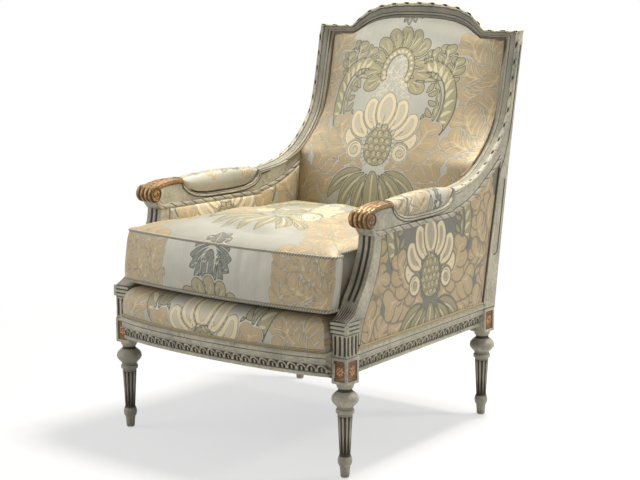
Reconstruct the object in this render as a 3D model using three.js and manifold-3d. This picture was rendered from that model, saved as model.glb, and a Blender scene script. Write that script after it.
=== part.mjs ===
// An upholstered bergere armchair with turned and fluted legs, scrolled arms and an arched crest.
// Millimetres, +Z up, the front faces -Y. Right means +X, the viewer's right from the front.
import * as THREE from 'three';
import { mergeVertices } from 'three/addons/utils/BufferGeometryUtils.js';
import Module from 'manifold-3d';

const wasm = await Module();
wasm.setup();
const { lerp, clamp } = THREE.MathUtils;

// Clearances
const seatGap = 0.3;
const weldDepth = 1;
const cutOverrun = 4;

// Plan of the four leg blocks
const blockWidth = 45;
const blockDepth = 48;
const frontBlockX = 351.5;
const frontBlockY = -332;
const rearBlockX = 310.5;
const rearBlockY = 332;

// Heights of the frame
const legHeight = 230.5;
const blockHeight = 63;
const flutedHeight = 57.5;
const capHeight = 29;
const railLift = 17.5;
const railHeight = 58;
const armTop = 640;
const armDepth = 73;
const shoulderTop = 1022;
const crownRise = 69;

// Turned legs and the glides under them
const legRadius = 32.5;
const fluteCount = 10;
const glideRadius = 9;
const glideThickness = 2.5;

// Details of the blocks above the legs
const panelMargin = 7.5;
const panelDepth = 3;
const rosetteRadius = 13;
const rosetteHeight = 2.4;
const rosettePetals = 8;
const flutedInset = 1.5;
const blockFluteCount = 5;
const blockFluteDepth = 2.4;
const capOverhang = 2.5;

// Arms, stumps and stiles
const armExtraWidth = 3;
const stileFootDepth = 57;
const stileTopDepth = 20;
const stileSag = 5;
const backReach = 122;
const grooveDepth = 5;
const innerFall = 7;
const scrollRadius = 22;
const scrollExtraWidth = 6;
const scrollSetback = 76;
const scrollDrop = 31;
const spiralDepth = 1.6;
const spiralWidth = 2.4;
const padSetback = 175;
const padLength = 293;
const scoopDepth = 44;
const sweepGap = 6;
const sweepStartDrop = 4;
const armUnderRise = 5;
const jointRise = 50;
const stumpFootSetback = 4;
const stumpFootDepth = 48;
const stumpTopSetback = 95;
const stumpTopDepth = 31;
const stumpToeRise = 14;
const stumpFluteDepth = 3;

// Crest rail
const crestDepth = 37;
const shoulderDepth = 24;
const innerRise = 49.5;

// Seat rails
const frontBow = 66;
const frontBowSetout = 8;
const railReach = 24;
const railEndReachShare = 0.35;
const frontRailInset = 4;
const sideRailThickness = 58;
const rearRailThickness = 38;
const rearRailInset = 6;
const lowerBackRailThickness = 20;
const lowerBackRailLift = 12;

// Joints of the frame
const tenonThickness = 11;
const tenonHeight = 36;
const tenonLength = 16;
const tenonRadius = 9;
const tenonReach = 16;
const crestTenonWidth = 18;
const crestTenonDepth = 6;
const crestTenonHeight = 9;
const crestTenonSetback = 3;
const dowelRadius = 5;
const dowelLength = 22;
const cornerBlockLeg = 66;
const cornerBlockHeight = 36;

// Upholstery
const deckHeight = 82;
const deckEdgeRound = 26;
const deckRoll = 8;
const deckRailMargin = 10;
const deckCoreMargin = 48;
const panelRecess = 4;
const panelThickness = 6;
const cavity = 3;
const sidePadBulge = 7;
const cornerLineSetin = 39;
const cornerLineDrop = 110;
const cornerLineSlope = 0.104;
const backFootSetin = 64;
const backPanelThickness = 4;
const backPanelRecess = 1;
const armPadCrown = 12;
const armPadBulge = 1;

// Seat cushion
const cushionUnderCrown = 15;
const boxingHeight = 125;
const cushionCrown = 29;
const cushionOverhang = 13;
const cushionFrontBow = 23;
const cushionLean = 19;
const earSetin = 43;
const cushionClearance = 4;
const cushionBulge = 6;
const cushionCornerRadius = 16;

// Webbing and dust cover under the seat
const webbingWidth = 50;
const webbingThickness = 1.6;
const webbingCount = 5;
const webbingGrip = 22;
const coverThickness = 1;
const coverGrip = 26;

// Places worked out from the sizes above
const blockTop = legHeight + blockHeight;
const capBase = blockTop + flutedHeight;
const capTop = capBase + capHeight;
const railBottom = legHeight + railLift;
const railTop = railBottom + railHeight;
const deckTop = railTop + deckHeight;
const armUnder = armTop - armDepth;
const jointBackHeight = armTop + jointRise;
const crestSeat = shoulderTop - crestDepth;
const innerShoulder = shoulderTop - shoulderDepth;
const frontOuterX = frontBlockX + blockWidth / 2;
const frontInnerX = frontBlockX - blockWidth / 2;
const rearOuterX = rearBlockX + blockWidth / 2;
const rearInnerX = rearBlockX - blockWidth / 2;
const frontFaceY = frontBlockY - blockDepth / 2;
const frontBackY = frontBlockY + blockDepth / 2;
const rearFrontY = rearBlockY - blockDepth / 2;
const rearFaceY = rearBlockY + blockDepth / 2;
const footBottom = glideThickness + seatGap;
const stileWidth = blockWidth;
const armWidth = blockWidth + armExtraWidth;
const scrollWidth = armWidth + scrollExtraWidth;
const scrollCentreY = frontBlockY + scrollSetback;
const scrollCentreZ = armTop - scrollDrop;
const padStartY = frontBlockY + padSetback;
const padEndY = padStartY + padLength;
const sweepStartY = padEndY + sweepGap;
const stumpFootY = frontFaceY + stumpFootSetback;
const stumpBackFootY = stumpFootY + stumpFootDepth;
const stumpFrontTopY = frontBlockY + stumpTopSetback;
const stumpBackTopY = stumpFrontTopY + stumpTopDepth;
const stumpToeHeight = railTop + stumpToeRise;
const frontBowStartY = frontBlockY - frontBowSetout;
const frontRailInnerY = frontBlockY + frontRailInset;
const lowerBackRailBottom = railTop + lowerBackRailLift;
const cornerLineY = rearBlockY - cornerLineSetin;
const cornerLineHeight = armTop - cornerLineDrop;
const backFootY = rearBlockY - backFootSetin;
const cushionLowWelt = deckTop + cushionUnderCrown;
const cushionHighWelt = cushionLowWelt + boxingHeight;
const cushionFrontCornerY = frontFaceY - cushionOverhang;
const cushionHalfWidth = frontOuterX - earSetin;

// Materials
function finish(colour, roughness, metalness) {
  return new THREE.MeshStandardMaterial({ color: colour, roughness, metalness });
}
const paintedWood = finish(0xb9b7a6, 0.55, 0);
const plainWood = finish(0xa68a63, 0.7, 0);
const damask = finish(0xb4b0a0, 0.45, 0);
const webbingCloth = finish(0x8a7a5c, 0.9, 0);
const coverCloth = finish(0x1f1f20, 0.95, 0);
const steel = finish(0x9a9a98, 0.4, 0.9);

const chair = new THREE.Group();

function addPiece(name, geometry, material) {
  const mesh = new THREE.Mesh(geometry, material);
  mesh.name = name;
  chair.add(mesh);
}

// Closed bodies lofted through rings of points

function signedVolume(positions, index) {
  let total = 0;
  const a = new THREE.Vector3();
  const b = new THREE.Vector3();
  const c = new THREE.Vector3();
  for (let i = 0; i < index.length; i += 3) {
    a.fromArray(positions, index[i] * 3);
    b.fromArray(positions, index[i + 1] * 3);
    c.fromArray(positions, index[i + 2] * 3);
    total += a.dot(b.cross(c));
  }
  return total;
}

// Turns a ring into flat points, seen along its widest facing axis
function flatten(ring) {
  const normal = new THREE.Vector3();
  ring.forEach((p, i) => {
    const q = ring[(i + 1) % ring.length];
    normal.x += (p.y - q.y) * (p.z + q.z);
    normal.y += (p.z - q.z) * (p.x + q.x);
    normal.z += (p.x - q.x) * (p.y + q.y);
  });
  const size = [Math.abs(normal.x), Math.abs(normal.y), Math.abs(normal.z)];
  const drop = size.indexOf(Math.max(...size));
  const keep = [0, 1, 2].filter((axis) => axis !== drop);
  return ring.map((p) => new THREE.Vector2(p.getComponent(keep[0]), p.getComponent(keep[1])));
}

// Closes an end ring; one with points on straight edges is closed by a fan round its middle
function closeEnd(ring, start, reversed, positions, index) {
  const flat = flatten(ring);
  let faces = THREE.ShapeUtils.triangulateShape(flat, []);
  const faceArea = (face) => THREE.ShapeUtils.area(face.map((i) => flat[i]));
  const covered = faces.reduce((sum, face) => sum + faceArea(face), 0);
  if (covered * THREE.ShapeUtils.area(flat) < 0) {
    faces = faces.map(([a, b, c]) => [a, c, b]);
  }
  if (faces.length !== ring.length - 2) {
    const middle = ring.reduce((sum, p) => sum.add(p), new THREE.Vector3()).divideScalar(ring.length);
    const added = positions.length / 3 - start;
    positions.push(middle.x, middle.y, middle.z);
    faces = ring.map((_, i) => [i, (i + 1) % ring.length, added]);
  }
  faces.forEach(([a, b, c]) => {
    const order = reversed ? [a, c, b] : [a, b, c];
    index.push(...order.map((i) => i + start));
  });
}

function loft(rings) {
  const count = rings[0].length;
  const positions = rings.flat().flatMap((p) => [p.x, p.y, p.z]);
  const index = [];
  for (let r = 0; r < rings.length - 1; r += 1) {
    for (let i = 0; i < count; i += 1) {
      const a = r * count + i;
      const b = r * count + (i + 1) % count;
      index.push(a, b, b + count, a, b + count, a + count);
    }
  }
  closeEnd(rings[0], 0, true, positions, index);
  closeEnd(rings.at(-1), (rings.length - 1) * count, false, positions, index);
  if (signedVolume(positions, index) < 0) {
    for (let i = 0; i < index.length; i += 3) {
      [index[i], index[i + 1]] = [index[i + 1], index[i]];
    }
  }
  const geometry = new THREE.BufferGeometry();
  geometry.setAttribute('position', new THREE.Float32BufferAttribute(positions, 3));
  geometry.setIndex(index);
  geometry.computeVertexNormals();
  return geometry;
}

function box(lowX, highX, lowY, highY, lowZ, highZ) {
  const geometry = new THREE.BoxGeometry(highX - lowX, highY - lowY, highZ - lowZ);
  geometry.translate((lowX + highX) / 2, (lowY + highY) / 2, (lowZ + highZ) / 2);
  return geometry;
}

function peg(radius, from, to, sides) {
  const axis = new THREE.Vector3().subVectors(to, from);
  const geometry = new THREE.CylinderGeometry(radius, radius, axis.length(), sides);
  const up = new THREE.Vector3(0, 1, 0);
  geometry.applyQuaternion(new THREE.Quaternion().setFromUnitVectors(up, axis.clone().normalize()));
  geometry.translate((from.x + to.x) / 2, (from.y + to.y) / 2, (from.z + to.z) / 2);
  return geometry;
}

function mirrored(geometry) {
  const copy = geometry.clone();
  copy.scale(-1, 1, 1);
  const index = copy.index.array;
  for (let i = 0; i < index.length; i += 3) {
    [index[i], index[i + 1]] = [index[i + 1], index[i]];
  }
  copy.computeVertexNormals();
  return copy;
}

// Joining and cutting

function toSolid(geometry) {
  const bare = geometry.clone();
  bare.deleteAttribute('normal');
  bare.deleteAttribute('uv');
  const merged = mergeVertices(bare);
  return new wasm.Manifold(new wasm.Mesh({
    numProp: 3,
    vertProperties: new Float32Array(merged.attributes.position.array),
    triVerts: new Uint32Array(merged.index.array),
  }));
}

function toGeometry(solid) {
  const mesh = solid.getMesh();
  const geometry = new THREE.BufferGeometry();
  geometry.setAttribute('position', new THREE.Float32BufferAttribute(mesh.vertProperties, 3));
  geometry.setIndex([...mesh.triVerts]);
  geometry.computeVertexNormals();
  return geometry;
}

function combine(first, added, removed) {
  let solid = toSolid(first);
  added.forEach((geometry) => {
    solid = solid.add(toSolid(geometry));
  });
  removed.forEach((geometry) => {
    solid = solid.subtract(toSolid(geometry));
  });
  return toGeometry(solid);
}

// Curves of the frame, in the side view (y, z)

function scaledPoints(shares, low, high) {
  return shares.map(([y, z]) => new THREE.Vector2(lerp(low[0], high[0], y), lerp(low[1], high[1], z)));
}

// Reads a curve whose z always rises at the height z
function readY(points, z) {
  const next = clamp(points.findIndex((p) => p.y > z), 1, points.length - 1);
  const high = z >= points.at(-1).y ? points.length - 1 : next;
  const a = points[high - 1];
  const b = points[high];
  return lerp(a.x, b.x, (z - a.y) / (b.y - a.y));
}

function alongSide(y) {
  return clamp((y - frontFaceY) / (rearFrontY - frontFaceY), 0, 1);
}

function outerFaceX(y) {
  return lerp(frontOuterX, rearOuterX, alongSide(y));
}

function innerFaceX(y) {
  return outerFaceX(y) - lerp(armWidth, stileWidth, alongSide(y));
}

function stileShare(z) {
  return (z - blockTop) / (shoulderTop - blockTop);
}

function stileBackY(z) {
  const share = stileShare(z);
  return rearFaceY + backReach * share - 4 * stileSag * share * (1 - share);
}

function stileFrontY(z) {
  return stileBackY(z) - lerp(stileFootDepth, stileTopDepth, stileShare(z));
}

// The front edge that sweeps from the arm pad up to the crest, joined half way
const sweepShares = [
  [0, 0], [0.12, 0.014], [0.22, 0.029], [0.322, 0.05], [0.44, 0.09], [0.586, 0.168], [0.68, 0.242],
  [0.742, 0.298], [0.814, 0.381], [0.868, 0.464], [0.906, 0.564], [0.945, 0.71], [1, 1],
];
const sweepUnderShares = [
  [0, 0], [0.172, 0.076], [0.345, 0.178], [0.513, 0.331], [0.676, 0.517], [0.848, 0.746], [1, 1],
];
const sweepSteps = 20;
const sweepTop = [stileFrontY(crestSeat), crestSeat - seatGap];
const sweepPoints = new THREE.SplineCurve(
  scaledPoints(sweepShares, [sweepStartY, armTop - sweepStartDrop], sweepTop),
).getPoints(sweepSteps);
const armSweep = sweepPoints.slice(0, sweepSteps / 2 + 1);
const stileSweep = sweepPoints.slice(sweepSteps / 2);
const armSweepUnder = new THREE.SplineCurve(scaledPoints(
  sweepUnderShares,
  [sweepStartY, armUnder + armUnderRise],
  [stileFrontY(jointBackHeight), jointBackHeight],
)).getPoints(sweepSteps / 2);

// Front and back edges of the curved stump under the arm
const stumpFrontShares = [
  [0, 0], [0.191, 0.064], [0.33, 0.15], [0.443, 0.251], [0.591, 0.364], [0.704, 0.476],
  [0.852, 0.658], [0.965, 0.84], [1, 1],
];
const stumpBackShares = [
  [0, 0], [0.041, 0.05], [0.173, 0.222], [0.255, 0.284], [0.347, 0.349], [0.561, 0.475],
  [0.735, 0.602], [0.867, 0.732], [0.959, 0.866], [1, 1],
];
const stumpFront = scaledPoints(stumpFrontShares, [stumpFootY, capTop], [stumpFrontTopY, armUnder]);
const stumpBack = scaledPoints(stumpBackShares, [stumpBackFootY, railTop], [stumpBackTopY, armUnder]);

// Section of the moulded frame face: place across from the outer edge, groove and inward fall
const faceMouldingShares = [
  [0, 1, 0], [0.03, 0.35, 0], [0.09, 0, 0], [0.2, 0, 0], [0.26, 0.35, 0], [0.28, 0.9, 0.1],
  [0.32, 0.6, 0.15], [0.62, 0.6, 0.35], [0.64, 1, 0.4], [0.67, 0.5, 0.4], [0.78, 0.5, 0.5],
  [0.81, 1, 0.6], [0.86, 1, 0.9], [1, 1, 1],
];

// A ring across an arm or stile, from its moulded front edge to its back edge
function mouldedRing(front, back, fallShare) {
  const inward = new THREE.Vector2().subVectors(back, front).normalize();
  const face = faceMouldingShares.map(([across, groove, fall]) => {
    const drop = groove * grooveDepth + fall * innerFall * fallShare;
    const y = front.x + inward.x * drop;
    const z = front.y + inward.y * drop;
    return new THREE.Vector3(lerp(outerFaceX(y), innerFaceX(y), across), y, z);
  });
  const inner = new THREE.Vector3(innerFaceX(back.x), back.x, back.y);
  const outer = new THREE.Vector3(outerFaceX(back.x), back.x, back.y);
  return [...face, inner, outer];
}

// A flat side-view outline made solid between two depths behind the outer face
function sideSlab(outline, outerInset, innerDepth) {
  const ring = (depthAt) => outline.map((p) => (
    new THREE.Vector3(outerFaceX(p.x) - depthAt(p.x), p.x, p.y)
  ));
  return loft([ring(() => outerInset), ring(innerDepth)]);
}

// Turned legs

// Height, radius and flute depth of the turning, each as a share
const turningShares = [
  [0, 0.325, 0], [0.104, 0.388, 0], [0.132, 0.478, 0], [0.165, 0.532, 0], [0.2, 0.508, 0],
  [0.226, 0.431, 0], [0.245, 0.4, 0], [0.262, 0.405, 1], [0.63, 0.545, 1], [0.652, 0.55, 0],
  [0.674, 0.56, 0], [0.687, 0.675, 0], [0.72, 0.675, 0], [0.73, 0.6, 0], [0.752, 0.63, 0],
  [0.774, 0.77, 0], [0.8, 0.923, 0], [0.83, 1, 0], [0.87, 0.923, 0], [0.9, 0.738, 0],
  [0.93, 0.508, 0], [0.965, 0.615, 0], [1, 0.677, 0],
];
const fluteDepthShare = 0.075;

function turnedLeg() {
  const steps = fluteCount * 2;
  const ring = (height, radius, fluteDepth) => Array.from({ length: steps }, (_, i) => {
    const angle = (i / steps) * Math.PI * 2;
    const r = radius - (i % 2) * fluteDepth;
    return new THREE.Vector3(Math.cos(angle) * r, Math.sin(angle) * r, height);
  });
  const rings = turningShares.map(([height, radius, flute]) => ring(
    lerp(footBottom, legHeight, height),
    radius * legRadius,
    flute * fluteDepthShare * legRadius,
  ));
  const neckRadius = turningShares.at(-1)[1] * legRadius;
  rings.push(ring(legHeight + weldDepth, neckRadius, 0));
  return loft(rings);
}

// A raised flower of petals that stands on the floor of a block's panel
function rosette() {
  const steps = rosettePetals * 2;
  const ring = (share, height) => Array.from({ length: steps }, (_, i) => {
    const angle = (i / steps) * Math.PI * 2;
    const r = rosetteRadius * share * (i % 2 ? rosetteDipShare : 1);
    return new THREE.Vector3(Math.cos(angle) * r, Math.sin(angle) * r, height);
  });
  return loft([
    ring(1, -weldDepth),
    ring(1, 0),
    ring(rosetteCrestShare, rosetteHeight),
    ring(rosetteEyeShare, rosetteHeight * rosetteEyeHeightShare),
  ]);
}
const rosetteDipShare = 0.72;
const rosetteCrestShare = 0.68;
const rosetteEyeShare = 0.22;
const rosetteEyeHeightShare = 0.55;

// The panel and its flower on the block face that looks along +X
const panelLow = legHeight + panelMargin;
const panelHigh = blockTop - panelMargin;

function outerPanelCut() {
  const reach = blockWidth / 2;
  const halfWide = blockDepth / 2 - panelMargin;
  return box(reach - panelDepth, reach + cutOverrun, -halfWide, halfWide, panelLow, panelHigh);
}

function outerRosette() {
  const flower = rosette();
  flower.rotateY(Math.PI / 2);
  flower.translate(blockWidth / 2 - panelDepth, 0, legHeight + blockHeight / 2);
  return flower;
}

function frontPanelCut() {
  const reach = blockDepth / 2;
  const halfWide = blockWidth / 2 - panelMargin;
  return box(-halfWide, halfWide, -reach - cutOverrun, panelDepth - reach, panelLow, panelHigh);
}

function frontRosette() {
  const flower = rosette();
  flower.rotateX(Math.PI / 2);
  flower.translate(0, panelDepth - blockDepth / 2, legHeight + blockHeight / 2);
  return flower;
}

// One fluted face of the upper block, as steps along it and into it
function flutedEdge(length) {
  const pitch = length / blockFluteCount;
  const points = [];
  for (let i = 0; i < blockFluteCount; i += 1) {
    const start = i * pitch;
    fluteShares.forEach(([along, depth]) => {
      points.push([start + along * pitch, depth * blockFluteDepth]);
    });
  }
  return points;
}
const fluteShares = [[0.22, 0], [0.34, 1], [0.66, 1], [0.78, 0]];

// The fluted part above the front block, with flutes on its front and outer faces
function flutedBlock() {
  const halfX = blockWidth / 2 - flutedInset;
  const halfY = blockDepth / 2 - flutedInset;
  const front = flutedEdge(halfX * 2).map(([along, depth]) => [along - halfX, depth - halfY]);
  const outer = flutedEdge(halfY * 2).map(([along, depth]) => [halfX - depth, along - halfY]);
  const corners = [[-halfX, -halfY], ...front, [halfX, -halfY], ...outer, [halfX, halfY], [-halfX, halfY]];
  const ring = (z) => corners.map(([x, y]) => new THREE.Vector3(x, y, z));
  return loft([ring(blockTop - weldDepth), ring(capBase + weldDepth)]);
}

// Three reeds round the top of the front leg
const reedShares = [[0, 0], [0.12, 0.8], [0.5, 1], [0.88, 0.8]];
const reedCount = 3;

function reededCap() {
  const reedHeight = capHeight / reedCount;
  const ring = (z, overhang) => {
    const halfX = blockWidth / 2 - flutedInset + overhang;
    const halfY = blockDepth / 2 - flutedInset + overhang;
    return [[-halfX, -halfY], [halfX, -halfY], [halfX, halfY], [-halfX, halfY]].map(
      ([x, y]) => new THREE.Vector3(x, y, z),
    );
  };
  const rings = [];
  for (let i = 0; i < reedCount; i += 1) {
    reedShares.forEach(([height, out]) => {
      rings.push(ring(capBase + (i + height) * reedHeight, out * (capOverhang + flutedInset)));
    });
  }
  rings.push(ring(capTop, 0));
  return loft(rings);
}

// Mortises for the rail tenons, in the block's own frame
function tenonBox(lowX, highX, lowY, highY, clearance) {
  const middle = railBottom + railHeight / 2;
  const half = tenonHeight / 2 + clearance;
  return box(lowX, highX, lowY, highY, middle - half, middle + half);
}

function legBlock() {
  const halfX = blockWidth / 2;
  const halfY = blockDepth / 2;
  return box(-halfX, halfX, -halfY, halfY, legHeight, blockTop);
}

function frontLeg() {
  const stumpSocket = peg(
    tenonRadius + seatGap,
    new THREE.Vector3(0, 0, capTop - tenonReach - seatGap),
    new THREE.Vector3(0, 0, capTop + cutOverrun),
    pegSides,
  );
  const leg = combine(
    combine(legBlock(), [], [outerPanelCut(), frontPanelCut()]),
    [turnedLeg(), flutedBlock(), reededCap(), outerRosette(), frontRosette()],
    [stumpSocket, frontRailMortise(), sideRailMortise(-1)],
  );
  leg.translate(frontBlockX, frontBlockY, 0);
  return leg;
}
const pegSides = 16;

// Where the front rail's tenon lies across the block, from the block's centre
const frontTenonY = -blockDepth / 2 + panelMargin + tenonThickness / 2;

function frontRailMortise() {
  const half = tenonThickness / 2 + seatGap;
  const reach = -blockWidth / 2;
  return tenonBox(
    reach - cutOverrun, reach + tenonLength + seatGap * 2, frontTenonY - half, frontTenonY + half, seatGap,
  );
}

// The side rail's mortise opens towards the other leg of the same side
function sideRailMortise(side) {
  const half = tenonThickness / 2 + seatGap;
  const mouth = -side * (blockDepth / 2 + cutOverrun);
  const floor = -side * (blockDepth / 2 - tenonLength - seatGap * 2);
  return tenonBox(-half, half, Math.min(mouth, floor), Math.max(mouth, floor), seatGap);
}

function rearRailMortise() {
  const half = tenonThickness / 2 + seatGap;
  const reach = -blockWidth / 2;
  return tenonBox(
    reach - cutOverrun, reach + tenonLength + seatGap * 2, rearTenonY - half, rearTenonY + half, seatGap,
  );
}
const rearTenonY = blockDepth / 2 - rearRailInset - rearRailThickness / 2;

// The raked stile that rises from the rear block to the joint with the arm
const stileCoreShares = [0, 0.06, 0.15, 0.3, 0.45, 0.6, 0.8, 1];

function stileCore() {
  const ring = (z, front) => [
    new THREE.Vector3(rearInnerX, front, z),
    new THREE.Vector3(rearOuterX, front, z),
    new THREE.Vector3(rearOuterX, stileBackY(z), z),
    new THREE.Vector3(rearInnerX, stileBackY(z), z),
  ];
  const flareBase = railTop + seatGap;
  const flareTop = flareBase + stileFlare;
  const coreTop = jointBackHeight + stileCoreLap;
  const upper = stileCoreShares.map((share) => {
    const z = lerp(flareTop, coreTop, share);
    return ring(z, stileFrontY(z));
  });
  return loft([ring(blockTop - weldDepth, rearFrontY), ring(flareBase, rearFrontY), ...upper]);
}
const stileFlare = 8;
const stileCoreLap = 40;

// The moulded upper stile: its first ring is the slanted face that the arm butts against
function mouldedStile() {
  const joint = new THREE.Vector2(stileFrontY(jointBackHeight), jointBackHeight);
  const slant = new THREE.Vector2().subVectors(joint, stileSweep[0]);
  const reach = stileBackY(jointBackHeight) - stileSweep[0].x - stileSlantEase;
  const lowBack = stileSweep[0].y + slant.y * (reach / slant.x);
  const rings = stileSweep.map((front, i) => {
    const z = lerp(lowBack, crestSeat - seatGap, i / (stileSweep.length - 1));
    return mouldedRing(front, new THREE.Vector2(stileBackY(z), z), 1);
  });
  return loft(rings);
}
const stileSlantEase = 6;

function crestTenon(clearance) {
  const middle = (rearInnerX + rearOuterX) / 2;
  const half = crestTenonWidth / 2 + clearance;
  const back = stileBackY(crestSeat) - crestTenonSetback;
  return box(
    middle - half, middle + half, back - crestTenonDepth - clearance, back + clearance,
    crestSeat - cutOverrun, crestSeat + crestTenonHeight + clearance,
  );
}

// The dowel that crosses the slanted joint between the arm and the stile
function armDowel(clearance) {
  const front = stileSweep[0];
  const back = new THREE.Vector2(stileFrontY(jointBackHeight), jointBackHeight);
  const across = new THREE.Vector2().subVectors(back, front).normalize();
  const along = new THREE.Vector2(-across.y, across.x);
  const middleY = (front.x + back.x) / 2;
  const middleZ = (front.y + back.y) / 2;
  const x = (rearInnerX + rearOuterX) / 2;
  const half = dowelLength / 2 + clearance;
  return peg(
    dowelRadius + clearance,
    new THREE.Vector3(x, middleY - along.x * half, middleZ - along.y * half),
    new THREE.Vector3(x, middleY + along.x * half, middleZ + along.y * half),
    pegSides,
  );
}

function rearLeg() {
  const lower = combine(combine(legBlock(), [], [outerPanelCut()]), [turnedLeg(), outerRosette()], []);
  const mortises = [rearRailMortise(), sideRailMortise(1)];
  [lower, ...mortises].forEach((geometry) => geometry.translate(rearBlockX, rearBlockY, 0));
  return combine(lower, [stileCore(), mouldedStile(), crestTenon(0)], [armDowel(seatGap), ...mortises]);
}

// Arm stumps

const stumpSectionShares = [
  [0, 0], [0.14, 0], [0.18, 1], [0.3, 1], [0.34, 0], [0.4, 0], [0.44, 1], [0.56, 1], [0.6, 0],
  [0.66, 0], [0.7, 1], [0.82, 1], [0.86, 0], [1, 0],
];
const stumpHeightShares = [0, 0.06, 0.13, 0.22, 0.33, 0.45, 0.6, 0.8, 1];
const stumpFluteStartShare = 0.2;
const stumpFluteFullShare = 0.3;

function stumpHeights() {
  return stumpHeightShares.map((share) => lerp(capTop + seatGap, armUnder - seatGap, share));
}

// Heights of the toe that runs down behind the leg's reeded cap
function toeHeights() {
  return stumpToeShares.map((share) => lerp(stumpToeHeight, capTop + seatGap + weldDepth, share));
}

function armStump() {
  const rings = stumpHeightShares.map((share, i) => {
    const z = stumpHeights()[i];
    const fadeLength = stumpFluteFullShare - stumpFluteStartShare;
    const fade = clamp((share - stumpFluteStartShare) / fadeLength, 0, 1);
    const frontY = readY(stumpFront, z);
    const backY = readY(stumpBack, z);
    const face = stumpSectionShares.map(([across, groove]) => {
      const y = frontY + groove * fade * stumpFluteDepth;
      return new THREE.Vector3(lerp(outerFaceX(y), innerFaceX(y), across), y, z);
    });
    return [
      ...face,
      new THREE.Vector3(innerFaceX(backY), backY, z),
      new THREE.Vector3(outerFaceX(backY), backY, z),
    ];
  });
  const toeFrontY = frontBackY + capOverhang + seatGap;
  const toeBack = toeHeights().map((z) => new THREE.Vector2(readY(stumpBack, z), z));
  const toeFront = [toeBack[0].y, toeBack.at(-1).y].map((z) => new THREE.Vector2(toeFrontY, z));
  const toe = [toeFront[0], ...toeBack, toeFront[1]];
  const toeSlab = sideSlab(toe, 0, (y) => outerFaceX(y) - innerFaceX(y));
  const foot = peg(
    tenonRadius,
    new THREE.Vector3(frontBlockX, frontBlockY, capTop - tenonReach),
    new THREE.Vector3(frontBlockX, frontBlockY, capTop + seatGap + weldDepth),
    pegSides,
  );
  return combine(loft(rings), [toeSlab, foot, stumpPeg(0)], []);
}
const stumpToeShares = [0, 0.5, 1];

// The round tenon at the top of the stump
function stumpPeg(clearance) {
  const y = (stumpFrontTopY + stumpBackTopY) / 2;
  const x = (outerFaceX(y) + innerFaceX(y)) / 2;
  return peg(
    tenonRadius + clearance,
    new THREE.Vector3(x, y, armUnder - cutOverrun),
    new THREE.Vector3(x, y, armUnder + tenonReach + clearance),
    pegSides,
  );
}

// Arms

// Depth of the bed for the arm pad along its length
const scoopShares = [
  [0, 0], [0.04, 0.35], [0.1, 0.68], [0.19, 0.91], [0.32, 1], [0.66, 1], [0.82, 0.93],
  [0.92, 0.76], [0.975, 0.5], [1, 0.12],
];

function armTopZ(y) {
  const share = (y - padStartY) / (padEndY - padStartY);
  if (share <= 0 || share >= 1) {
    return armTop;
  }
  const next = scoopShares.findIndex(([along]) => along > share);
  const [lowAlong, lowDepth] = scoopShares[next - 1];
  const [highAlong, highDepth] = scoopShares[next];
  return armTop - scoopDepth * lerp(lowDepth, highDepth, (share - lowAlong) / (highAlong - lowAlong));
}

// Reeded roll at the front of the arm, turned about a crosswise axis
const rollReedShares = [[0, 0.86], [0.04, 1], [0.2, 1], [0.25, 0.9], [0.3, 1], [0.46, 1], [0.5, 0.9]];
const rollSteps = 18;

function scrollRoll() {
  const half = rollReedShares.map(([along, radius]) => [along * scrollWidth, radius * scrollRadius]);
  const rest = half.slice(0, -1).reverse().map(([along, radius]) => [scrollWidth - along, radius]);
  const rings = [...half, ...rest].map(([along, radius]) => Array.from({ length: rollSteps }, (_, i) => {
    const angle = (i / rollSteps) * Math.PI * 2;
    const x = outerFaceX(scrollCentreY) + scrollExtraWidth / 2 - along;
    const y = scrollCentreY + Math.cos(angle) * radius;
    return new THREE.Vector3(x, y, scrollCentreZ + Math.sin(angle) * radius);
  }));
  return loft(rings);
}

// The sunk spiral on the outer or inner end of the roll
const spiralTurnShare = 1.35;
const spiralSteps = 20;
const spiralOuterShare = 0.72;
const spiralInnerShare = 0.14;

function scrollSpiral(endX, side) {
  const edge = (offset) => Array.from({ length: spiralSteps + 1 }, (_, i) => {
    const share = i / spiralSteps;
    const radius = lerp(spiralOuterShare, spiralInnerShare, share) * scrollRadius + offset;
    const angle = Math.PI / 2 + share * spiralTurnShare * Math.PI * 2;
    const y = scrollCentreY + Math.cos(angle) * radius;
    return new THREE.Vector2(y, scrollCentreZ + Math.sin(angle) * radius);
  });
  const outline = [...edge(spiralWidth / 2), ...edge(-spiralWidth / 2).reverse()];
  const ring = (x) => outline.map((p) => new THREE.Vector3(x, p.x, p.y));
  return loft([ring(endX + side * cutOverrun), ring(endX - side * spiralDepth)]);
}

function arm() {
  const rings = [];
  const station = (y, top, under) => {
    rings.push(mouldedRing(new THREE.Vector2(y, top), new THREE.Vector2(y, under), 0));
  };
  const neckY = stumpFrontTopY - seatGap;
  const rollReach = scrollRadius * rollTopShare;
  station(scrollCentreY, scrollCentreZ + rollReach, scrollCentreZ - rollReach);
  station(neckY, lerp(scrollCentreZ + scrollRadius, armTop, neckRiseShare), armUnder);
  station(stumpBackTopY, armTop, armUnder);
  scoopShares.forEach(([along, depth]) => {
    station(lerp(padStartY, padEndY, along), armTop - scoopDepth * depth, armUnder);
  });
  armSweep.forEach((front, i) => {
    rings.push(mouldedRing(front, armSweepUnder[i], i / (armSweep.length - 1)));
  });
  const outerEnd = outerFaceX(scrollCentreY) + scrollExtraWidth / 2;
  const spirals = [scrollSpiral(outerEnd, 1), scrollSpiral(outerEnd - scrollWidth, -1)];
  const trimmed = combine(loft(rings), [scrollRoll()], [...spirals, stumpPeg(seatGap), stileFaceCut()]);
  return combine(trimmed, [armDowel(0)], []);
}
const rollTopShare = 0.9;
const neckRiseShare = 0.45;

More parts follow.
